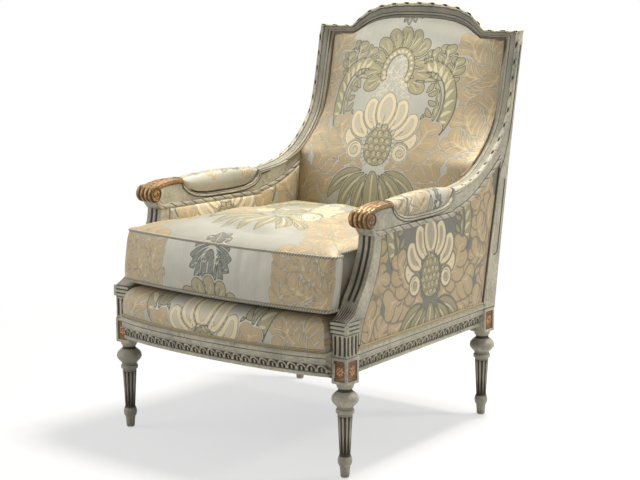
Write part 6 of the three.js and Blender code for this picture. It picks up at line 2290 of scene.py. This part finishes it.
def cushion_shape():
    """Rings of the cushion from its underside over its boxing to its crown, with cloth places."""
    middle = np.array((0.0, (CUSHION_CORNER_Y + BACK_FOOT_Y) / 2))
    floor = DECK_TOP + SEAT_GAP
    rings, places, parts = [], [], []

    def add(plan, height, part, across, along):
        rings.append(laid(*plan.T, height))
        places.append(np.stack(np.broadcast_arrays(across, along), axis=-1))
        parts.append(np.full(len(plan), part))

    low_plan, high_plan = cushion_plan(0, 0), cushion_plan(1, 0)
    sideways = (np.abs(low_plan[:, 0]) > CUSHION_HALF_WIDTH - 1.5) | (low_plan[:, 1] > CUSHION_CORNER_Y + 30)
    across_boxing = np.where(
        sideways, np.sign(low_plan[:, 0]) * (CUSHION_HALF_WIDTH + low_plan[:, 1] - CUSHION_CORNER_Y),
        low_plan[:, 0],
    )
    under = smooth_curve(UNDER_SHARES, 14)
    for scale, drop in under[:-1]:
        plan = middle + (low_plan - middle) * scale
        add(plan, lerp(CUSHION_LOW_WELT, floor, drop), UNDERSIDE, plan[:, 0], plan[:, 1] - UNDERSIDE_SHIFT)
    boxing = smooth_curve(BOXING_SHARES, 20)
    run = np.arange(CUSHION_PLAN_STEPS)
    pucker = np.sin(TURN * run / 14.0) * 0.4 + np.sin(TURN * run / 6.1 + 1.3) * 0.4
    pucker = pucker + np.sin(TURN * run / 3.3 + 0.4) * 0.3
    for share, out in boxing:
        plan = cushion_plan(share, out * CUSHION_BULGE)
        fold = FOLD_DEPTH * np.sin(math.pi * np.clip(share, 0, 1)) ** 0.35 * pucker
        plan = plan + unit(plan - middle) * fold[:, None]
        height = lerp(CUSHION_LOW_WELT, CUSHION_HIGH_WELT, share)
        part = SEAM if share > 0.99 or share < 0.01 else BOXING
        add(plan, height, part, across_boxing, height - CUSHION_HIGH_WELT)
    crown = smooth_curve(CROWN_SHARES, 42)
    for scale, rise in crown[1:]:
        plan = middle + (high_plan - middle) * scale
        along = plan[:, 1] - CUSHION_CORNER_Y + CROWN_SHIFT
        add(plan, CUSHION_HIGH_WELT + rise * CUSHION_CROWN, CROWN, plan[:, 0], along)
    return np.array(rings), np.array(places), np.array(parts)


CUSHION_REACH = 7.0
BOXING_REACH = 3.5
BOXING_SPRAYS = [(-318, -96, 1, 1.1), (-196, -140, -1, 0.8), (196, -150, 1, 1.15), (322, -92, -1, 0.9)]


def build_cushion(materials):
    rings, places, parts = cushion_shape()
    piece = sleeve("seat_cushion_upholstered", rings, {
        "cloth_across": places[..., 0], "cloth_along": places[..., 1], "part": parts,
    })
    part = read_field(piece.data, "part")
    reach = np.select([part == UNDERSIDE, part < SEAM], [0.0, BOXING_REACH], CUSHION_REACH)
    soften(piece, (part == UNDERSIDE) | (part == SEAM), reach)
    cloth = Cloth(read_field(piece.data, "cloth_across"), read_field(piece.data, "cloth_along"))
    repeat(cloth, CUSHION_FLOWER)
    cloth.clear((CUSHION_FLOWER[0], -70.0), (104.0, 104.0))
    for across, along, side, size in BOXING_SPRAYS:
        tan_spray(cloth, (across, along), side, size)
    dark_flower(cloth, (CUSHION_FLOWER[0], -14.0), 1.1)
    crown(cloth, (CUSHION_FLOWER[0], -81.0 - 334.0))
    lay_cloth(piece, cloth)
    dress(piece, materials["damask"])
    settle(piece, "cushion", "damask", "seat_cushion")


# Trimmings

CORD_SIDES = 10
CORD_GUIDES = np.array(((0.31, 0.23, 0.92), (0.9, -0.4, 0.15)))
GUIDE_LIMIT = 0.97
STRAND_SHADE = 1.2
GIMP_SPREAD = 1.9
GIMP_TWIST = 4.6
GIMP_SINK = 3.0
GIMP_DROP = 1.0
GIMP_OUT = 2.2
THIN_GIMP = 2.0
SIDE_GIMP = 2.4
FRONT_GIMP = 2.2
SIDE_CORD = 2.6
SIDE_CORD_PITCH = 9.0
SIDE_CORD_LIFT = 1.4
SIDE_STEPS = 60
STILE_STEPS = 80
FRONT_STEPS = 240
TRIM_LOW = RAIL_TOP + 4.0
CREST_TRIM_SPACING = 6.0
CREST_TRIM_INSET = 3.0
WELT_SPACING = 1.6
WELT_TWIST = 4.2
WELT_GROOVES = 0.24


def cord(name, path, radius, pitch, strands=2, depth=0.3, spacing=None, hand=1, closed=False):
    """A twisted cord along a path, with painted shade between its strands in its glaze field."""
    path = spaced(path, spacing or radius * 0.8)
    if closed:
        path = path[:-1]
        way = np.roll(path, -1, axis=0) - np.roll(path, 1, axis=0)
    else:
        way = np.gradient(path, axis=0)
    way = unit(way)
    guide, spare = CORD_GUIDES
    if np.abs(way @ guide).max() > GUIDE_LIMIT:
        guide = spare
    side = unit(np.cross(way, guide))
    up = np.cross(side, way)
    along = lengths_along(path)
    total = along[-1]
    turns = round(total / pitch) / total if closed else 1 / pitch
    angle = np.linspace(0, TURN, CORD_SIDES, endpoint=False)
    twist = hand * TURN * along * turns
    lobe = np.abs(np.cos(strands / 2 * (angle[None] - twist[:, None])))
    reach = radius * (1 - depth + depth * lobe)
    rings = (
        path[:, None] + side[:, None] * (np.cos(angle) * reach)[..., None]
        + up[:, None] * (np.sin(angle) * reach)[..., None]
    )
    if closed:
        rings = np.concatenate((rings, rings[:1]))
        lobe = np.concatenate((lobe, lobe[:1]))
    # Painted shade in the hollows between the strands
    glaze = np.clip((1 - lobe) * STRAND_SHADE, 0, 1)
    return sleeve(name, rings, {"glaze": glaze}, closed_ends=not closed, angle=math.radians(60))


def gimp(name, path, away, radius=1.7):
    """Two thin twisted rows side by side."""
    rows = []
    for i, hand in enumerate((1, -1)):
        row = path + np.asarray(away) * (i - 0.5) * radius * GIMP_SPREAD
        rows.append(cord(f"{name}_{i}", row, radius, radius * GIMP_TWIST, hand=hand))
    return join(name, rows)


def arm_inner_line():
    """The inner edge of the face moulding from the arm's sweep up the stile."""
    points = SWEEP[SWEEP_STEPS // 4 :] + (GROOVE_DEPTH + INNER_FALL - GIMP_SINK, -GIMP_DROP)
    return np.column_stack((inner_x(points[:, 0]) - GIMP_OUT, points))


def side_cord(name, y, z, materials):
    """A dark cord on an edge of the outside arm panel."""
    path = np.column_stack((outer_x(y) - PANEL_RECESS + SIDE_CORD_LIFT, y, z))
    return dress(cord(name, path, SIDE_CORD, SIDE_CORD_PITCH), materials["dark_gimp"])


def side_trimmings(materials):
    """The gimps and cords on the right side of the chair."""
    y = np.linspace(FRONT_BACK_Y + 4.0, float(stile_front_y(RAIL_TOP + 5.0)) - 2.0, SIDE_STEPS)
    low = np.column_stack((outer_x(y) - PANEL_RECESS + 1.6, y, np.full(len(y), TRIM_LOW + 0.6)))
    low_gimp = dress(gimp("side_gimp", low, (0, 0, 1), SIDE_GIMP), materials["gimp"])
    z = np.linspace(TRIM_LOW, ARM_UNDER - 2.0, SIDE_STEPS)
    stump_y = read_y(smooth_curve(STUMP_BACK, STUMP_CURVE_STEPS), z) + 2.2
    stump_line = side_cord("stump_cord", stump_y, z, materials)
    z = np.linspace(TRIM_LOW, JOINT_BACK_HEIGHT - 24.0, STILE_STEPS)
    stile_line = side_cord("stile_cord", stile_front_y(z) - 2.4, z, materials)
    sweep_gimp = gimp("sweep_gimp", arm_inner_line(), (-0.6, 0.8, 0), THIN_GIMP)
    dress(sweep_gimp, materials["gold_gimp"])
    return join("side_trimming_right", [low_gimp, stump_line, stile_line, sweep_gimp])


def crest_gimp(materials):
    """The gold gimp inside the crest's arch."""
    _, edge = crest_stations(CREST_TRIM_SPACING)
    edge = edge[edge[:, 1] > CREST_SEAT + 2]
    x, z = (edge + unit(np.array((0.0, INNER_SHOULDER - 200.0)) - edge) * CREST_TRIM_INSET).T
    arch = np.column_stack((x, stile_front_y(z) + GROOVE_DEPTH + INNER_FALL - GIMP_SINK, z))
    return dress(gimp("crest_gimp", arch, (0, 0.6, 0.8), THIN_GIMP), materials["gold_gimp"])


def build_trimmings(materials):
    x = np.sin(np.linspace(-1, 1, FRONT_STEPS) * math.pi / 2) * (FRONT_INNER_X - 2.0)
    y = front_rail_y(x, 1) + DECK_RAIL_MARGIN - 2.6
    front = np.column_stack((x, y, np.full(len(x), TRIM_LOW)))
    front_gimp = dress(gimp("front_gimp", front, (0, 0, 1), FRONT_GIMP), materials["gimp"])
    right = side_trimmings(materials)
    left = mirror_copy(right, "side_trimming_left")
    trimmed = join("frame_trimming", [front_gimp, crest_gimp(materials)])
    for piece in (trimmed, right, left):
        settle(piece, "frame", "damask")

    welts = []
    radius = size_of("welt_radius")
    for name, share, height in (("low", 0, CUSHION_LOW_WELT), ("high", 1, CUSHION_HIGH_WELT)):
        plan = cushion_plan(share, WELT_SPACING)
        plan = np.concatenate((plan, plan[:1]))
        path = np.column_stack((plan, np.full(len(plan), height)))
        welts.append(cord(f"{name}_welt", path, radius, radius * WELT_TWIST, depth=WELT_GROOVES, closed=True))
    welt = join("cushion_welts", welts)
    dress(welt, materials["welt"])
    settle(welt, "cushion", "damask")


# The room

CAMERA_PLACE = (2.64673, -3.42687, 1.23884)
CAMERA_AZIMUTH = math.radians(37.735)
CAMERA_ELEVATION = math.radians(9.895)
CAMERA_LENS = 94.41
SENSOR_WIDTH = 36.0
FADE_LENGTH = 2.2
LAMP_TARGET = (0.0, 0.0, 0.6)
LAMPS = [
    ("top_lamp", (0.3, 0.75, 3.1), 0.7, (1.0, 0.97, 0.9)),
    ("side_lamp", (1.9, 1.5, 1.75), 0.3, (1.0, 0.96, 0.88)),
    ("fill_lamp", (-2.8, -2.5, 2.1), 2.8, (1, 1, 1)),
]


def aim(piece, way):
    piece.rotation_euler = way.to_track_quat("-Z", "Y").to_euler()


def soft_lamp(name, location, size, colour, power):
    bpy.ops.object.light_add(type="AREA", location=location)
    lamp = bpy.context.object
    lamp.name = name
    lamp.data.shape = "DISK"
    lamp.data.size = size
    lamp.data.energy = power
    lamp.data.color = colour
    aim(lamp, Vector(LAMP_TARGET) - lamp.location)
    return lamp


def seen_directly(tree):
    """One for rays from the camera, in gloss and through glass, and nought for light."""
    path = tree.nodes.new("ShaderNodeLightPath")
    seen = path.outputs["Is Camera Ray"]
    for kind in ("Is Glossy Ray", "Is Transmission Ray"):
        most = tree.nodes.new("ShaderNodeMath")
        most.operation = "MAXIMUM"
        tree.links.new(seen, most.inputs[0])
        tree.links.new(path.outputs[kind], most.inputs[1])
        seen = most.outputs[0]
    return seen


def build_floor(stage):
    """A pale floor that turns to plain white away from the chair."""
    bpy.ops.mesh.primitive_plane_add(size=stage.floor_size)
    floor = bpy.context.object
    floor.name = "floor"
    recipe = Recipe("pale_floor")
    tree = recipe.tree
    place_there = recipe.own_place()
    reach = recipe.node("ShaderNodeVectorMath", {"operation": "LENGTH"}, {0: place_there}, output=1)
    diffuse = tree.nodes.new("ShaderNodeBsdfDiffuse")
    diffuse.inputs["Color"].default_value = (*stage.floor_colour, 1.0)
    glow = tree.nodes.new("ShaderNodeEmission")
    glow.inputs["Color"].default_value = (1, 1, 1, 1)
    seen = Wire(recipe, seen_directly(tree))
    fade = reach.between(stage.floor_fade, stage.floor_fade * FADE_LENGTH)
    blend = tree.nodes.new("ShaderNodeMixShader")
    factor = (fade * (1.0 - stage.floor_glow) + stage.floor_glow) * seen
    tree.links.new(factor.socket, blend.inputs[0])
    tree.links.new(diffuse.outputs[0], blend.inputs[1])
    tree.links.new(glow.outputs[0], blend.inputs[2])
    tree.links.new(blend.outputs[0], recipe.output.inputs["Surface"])
    floor.data.materials.append(recipe.material)
    return floor


def light_room(scene, strength):
    """A white room whose light is weaker than it looks."""
    world = scene.world or bpy.data.worlds.new("room")
    scene.world = world
    world.use_nodes = True
    tree = world.node_tree
    back = tree.nodes["Background"]
    mixed = tree.nodes.new("ShaderNodeMix")
    mixed.data_type = "FLOAT"
    mixed.inputs["A"].default_value = strength
    mixed.inputs["B"].default_value = 1.0
    tree.links.new(seen_directly(tree), mixed.inputs["Factor"])
    tree.links.new(mixed.outputs[0], back.inputs["Strength"])
    back.inputs["Color"].default_value = (1, 1, 1, 1)


def place_camera(scene):
    bpy.ops.object.camera_add(location=CAMERA_PLACE)
    camera = bpy.context.object
    camera.name = "photo_camera"
    aim(camera, Vector((
        -math.sin(CAMERA_AZIMUTH) * math.cos(CAMERA_ELEVATION),
        math.cos(CAMERA_AZIMUTH) * math.cos(CAMERA_ELEVATION),
        -math.sin(CAMERA_ELEVATION),
    )))
    camera.data.sensor_width = SENSOR_WIDTH
    camera.data.lens = CAMERA_LENS
    scene.camera = camera
    return camera


def build_stage(scene):
    stage = scene.armchair_stage
    leave_edit_mode()
    floor = build_floor(stage)
    light_room(scene, stage.room_light)
    powers = (stage.top_power, stage.side_power, stage.fill_power)
    lamps = [soft_lamp(*lamp, power) for lamp, power in zip(LAMPS, powers)]
    camera = place_camera(scene)
    scene.view_settings.view_transform = "Standard"


# Settings


def colour_setting(name, value, description):
    return bpy.props.FloatVectorProperty(
        name=name, description=description, default=value, size=3, min=0, max=1, subtype="COLOR",
    )


def measure_setting(subtype, unit):
    """A maker of settings that hold a measure of one kind."""
    def setting(name, value, description):
        return bpy.props.FloatProperty(
            name=name, description=description, default=value, min=0, subtype=subtype, unit=unit,
        )

    return setting


length_setting = measure_setting("DISTANCE", "LENGTH")
power_setting = measure_setting("POWER", "POWER")


def share_setting(name, value, description):
    return bpy.props.FloatProperty(
        name=name, description=description, default=value, min=0, max=1, subtype="FACTOR",
    )


class ArmchairColours(bpy.types.PropertyGroup):
    paint: colour_setting("Paint", (0.245, 0.24, 0.19), "Old paint on the wooden frame")
    paint_light: colour_setting("Worn Paint", (0.58, 0.53, 0.41), "Paint rubbed on the crests")
    paint_dark: colour_setting("Dirty Paint", (0.09, 0.082, 0.055), "Soiled paint")
    # The glaze colour is also the painted shade between the strands of the trimmings and welts
    glaze: colour_setting("Glaze", (0.035, 0.027, 0.016), "Dark glaze in the hollows")
    gilding: colour_setting("Gilding", (0.5, 0.3, 0.13), "Gilding on the arm's front")
    gilding_dark: colour_setting("Worn Gilding", (0.1, 0.055, 0.022), "Gilding worn to its ground")
    bronze: colour_setting("Bronze", (0.72, 0.4, 0.19), "Bright metal of the rosettes")
    bronze_dark: colour_setting("Dark Bronze", (0.17, 0.085, 0.04), "Metal in the hollows")
    ground: colour_setting("Ground", (0.33, 0.32, 0.265), "Satin ground of the silk")
    ground_light: colour_setting("Light Ground", (0.5, 0.48, 0.4), "Satin ground where it shines")
    tan: colour_setting("Tan", (0.37, 0.27, 0.14), "Large leaves")
    tan_light: colour_setting("Light Tan", (0.54, 0.42, 0.25), "Lit threads of the large leaves")
    olive: colour_setting("Olive", (0.26, 0.235, 0.12), "Bands and leaves round the flower")
    olive_light: colour_setting("Light Olive", (0.4, 0.365, 0.22), "Hatching on the olive bands")
    ivory: colour_setting("Ivory", (0.76, 0.67, 0.46), "Petals and seeds")
    slate: colour_setting("Slate", (0.07, 0.08, 0.062), "Small dark flowers")
    line: colour_setting("Outline", (0.07, 0.06, 0.03), "Outlines of the leaves")
    gimp: colour_setting("Pale Gimp", (0.66, 0.54, 0.31), "Trimming over the rails")
    gimp_gold: colour_setting("Gold Gimp", (0.3, 0.2, 0.09), "Trimming inside the crest")
    gimp_dark: colour_setting("Dark Gimp", (0.12, 0.095, 0.055), "Trimming round the side panels")
    welt: colour_setting("Welt", (0.5, 0.46, 0.35), "Welts of the cushion")


class ArmchairSizes(bpy.types.PropertyGroup):
    ribbon_pitch: length_setting("Ribbon Pitch", 0.043, "Distance between the eyes of the carved ribbon")
    arch_pitch: length_setting("Arch Pitch", 0.0265, "Distance between the arches on the seat rails")
    welt_radius: length_setting("Welt Radius", 0.0036, "Half the thickness of the cushion's welts")


class ArmchairStage(bpy.types.PropertyGroup):
    floor_size: length_setting("Floor Size", 30.0, "Width of the floor")
    floor_fade: length_setting("Floor Fade", 0.8, "Distance at which the floor starts to turn white")
    floor_glow: share_setting("Floor Glow", 0.62, "Share of white over the floor near the chair")
    floor_colour: colour_setting("Floor Colour", (0.8, 0.8, 0.8), "Colour of the floor")
    room_light: bpy.props.FloatProperty(
        name="Room Light", description="Strength of the light from all round", default=0.24, min=0,
    )
    top_power: power_setting("Top Power", 128.0, "Power of the lamp above")
    side_power: power_setting("Side Power", 22.0, "Power of the lamp at the right")
    fill_power: power_setting("Fill Power", 48.0, "Power of the lamp at the front left")


# Steps


def made(context, *builders):
    """Runs builders with the finishes."""
    materials = finishes(context.scene.armchair_colours)
    for builder in builders:
        builder(materials)
    return {"FINISHED"}


class ARMCHAIR_OT_legs(bpy.types.Operator):
    """Builds the turned legs, their blocks and the stiles"""
    bl_idname = "armchair.legs"
    bl_label = "Legs and Stiles"

    def execute(self, context):
        return made(context, build_front_legs, build_rear_legs)


class ARMCHAIR_OT_arms(bpy.types.Operator):
    """Builds the arms and the posts under them"""
    bl_idname = "armchair.arms"
    bl_label = "Arms and Posts"

    def execute(self, context):
        return made(context, build_stumps, build_arms)


class ARMCHAIR_OT_rails(bpy.types.Operator):
    """Builds the crest rail and the carved seat rails"""
    bl_idname = "armchair.rails"
    bl_label = "Crest and Seat Rails"

    def execute(self, context):
        return made(context, build_crest, build_rails)


class ARMCHAIR_OT_kept(bpy.types.Operator):
    """Gives the frame's plain parts their finishes"""
    bl_idname = "armchair.kept"
    bl_label = "Plain Parts"

    def execute(self, context):
        return made(context, dress_kept_parts)


class ARMCHAIR_OT_upholstery(bpy.types.Operator):
    """Builds the fixed upholstery"""
    bl_idname = "armchair.upholstery"
    bl_label = "Fixed Upholstery"

    def execute(self, context):
        return made(
            context, build_inside_back, build_outside_back, build_side_panels, build_deck, build_arm_pads,
        )


class ARMCHAIR_OT_cushion(bpy.types.Operator):
    """Builds the loose seat cushion"""
    bl_idname = "armchair.cushion"
    bl_label = "Seat Cushion"

    def execute(self, context):
        return made(context, build_cushion)


class ARMCHAIR_OT_trimmings(bpy.types.Operator):
    """Builds the gimps and the cushion's welts"""
    bl_idname = "armchair.trimmings"
    bl_label = "Trimmings"

    def execute(self, context):
        return made(context, build_trimmings)


class ARMCHAIR_OT_stage(bpy.types.Operator):
    """Builds the floor, the lamps and the camera"""
    bl_idname = "armchair.stage"
    bl_label = "Stage"

    def execute(self, context):
        build_stage(context.scene)
        return {"FINISHED"}


OPERATORS = (
    ARMCHAIR_OT_legs, ARMCHAIR_OT_arms, ARMCHAIR_OT_rails, ARMCHAIR_OT_kept, ARMCHAIR_OT_upholstery,
    ARMCHAIR_OT_cushion, ARMCHAIR_OT_trimmings, ARMCHAIR_OT_stage,
)


class ARMCHAIR_PT_panel(bpy.types.Panel):
    """Lists the steps and settings of the armchair"""
    bl_label = "Bergere Armchair"
    bl_idname = "ARMCHAIR_PT_panel"
    bl_space_type = "VIEW_3D"
    bl_region_type = "UI"
    bl_category = "Armchair"

    def draw(self, context):
        layout = self.layout
        for operator in OPERATORS:
            layout.operator(operator.bl_idname)
        scene = context.scene
        for group in (scene.armchair_sizes, scene.armchair_colours, scene.armchair_stage):
            box = layout.box()
            for name in group.__annotations__:
                box.prop(group, name)


GROUPS = {
    "armchair_colours": ArmchairColours,
    "armchair_sizes": ArmchairSizes,
    "armchair_stage": ArmchairStage,
}


def register():
    for group in GROUPS.values():
        bpy.utils.register_class(group)
    for operator in OPERATORS:
        bpy.utils.register_class(operator)
    bpy.utils.register_class(ARMCHAIR_PT_panel)
    for name, group in GROUPS.items():
        setattr(bpy.types.Scene, name, bpy.props.PointerProperty(type=group))


def unregister():
    for name in GROUPS:
        delattr(bpy.types.Scene, name)
    bpy.utils.unregister_class(ARMCHAIR_PT_panel)
    for operator in OPERATORS[::-1]:
        bpy.utils.unregister_class(operator)
    for group in GROUPS.values():
        bpy.utils.unregister_class(group)


def main():
    register()
    bpy.ops.object.select_all(action="DESELECT")
    for operator in OPERATORS:
        group, step = operator.bl_idname.split(".")
        getattr(getattr(bpy.ops, group), step)()


if __name__ == "__main__":
    main()
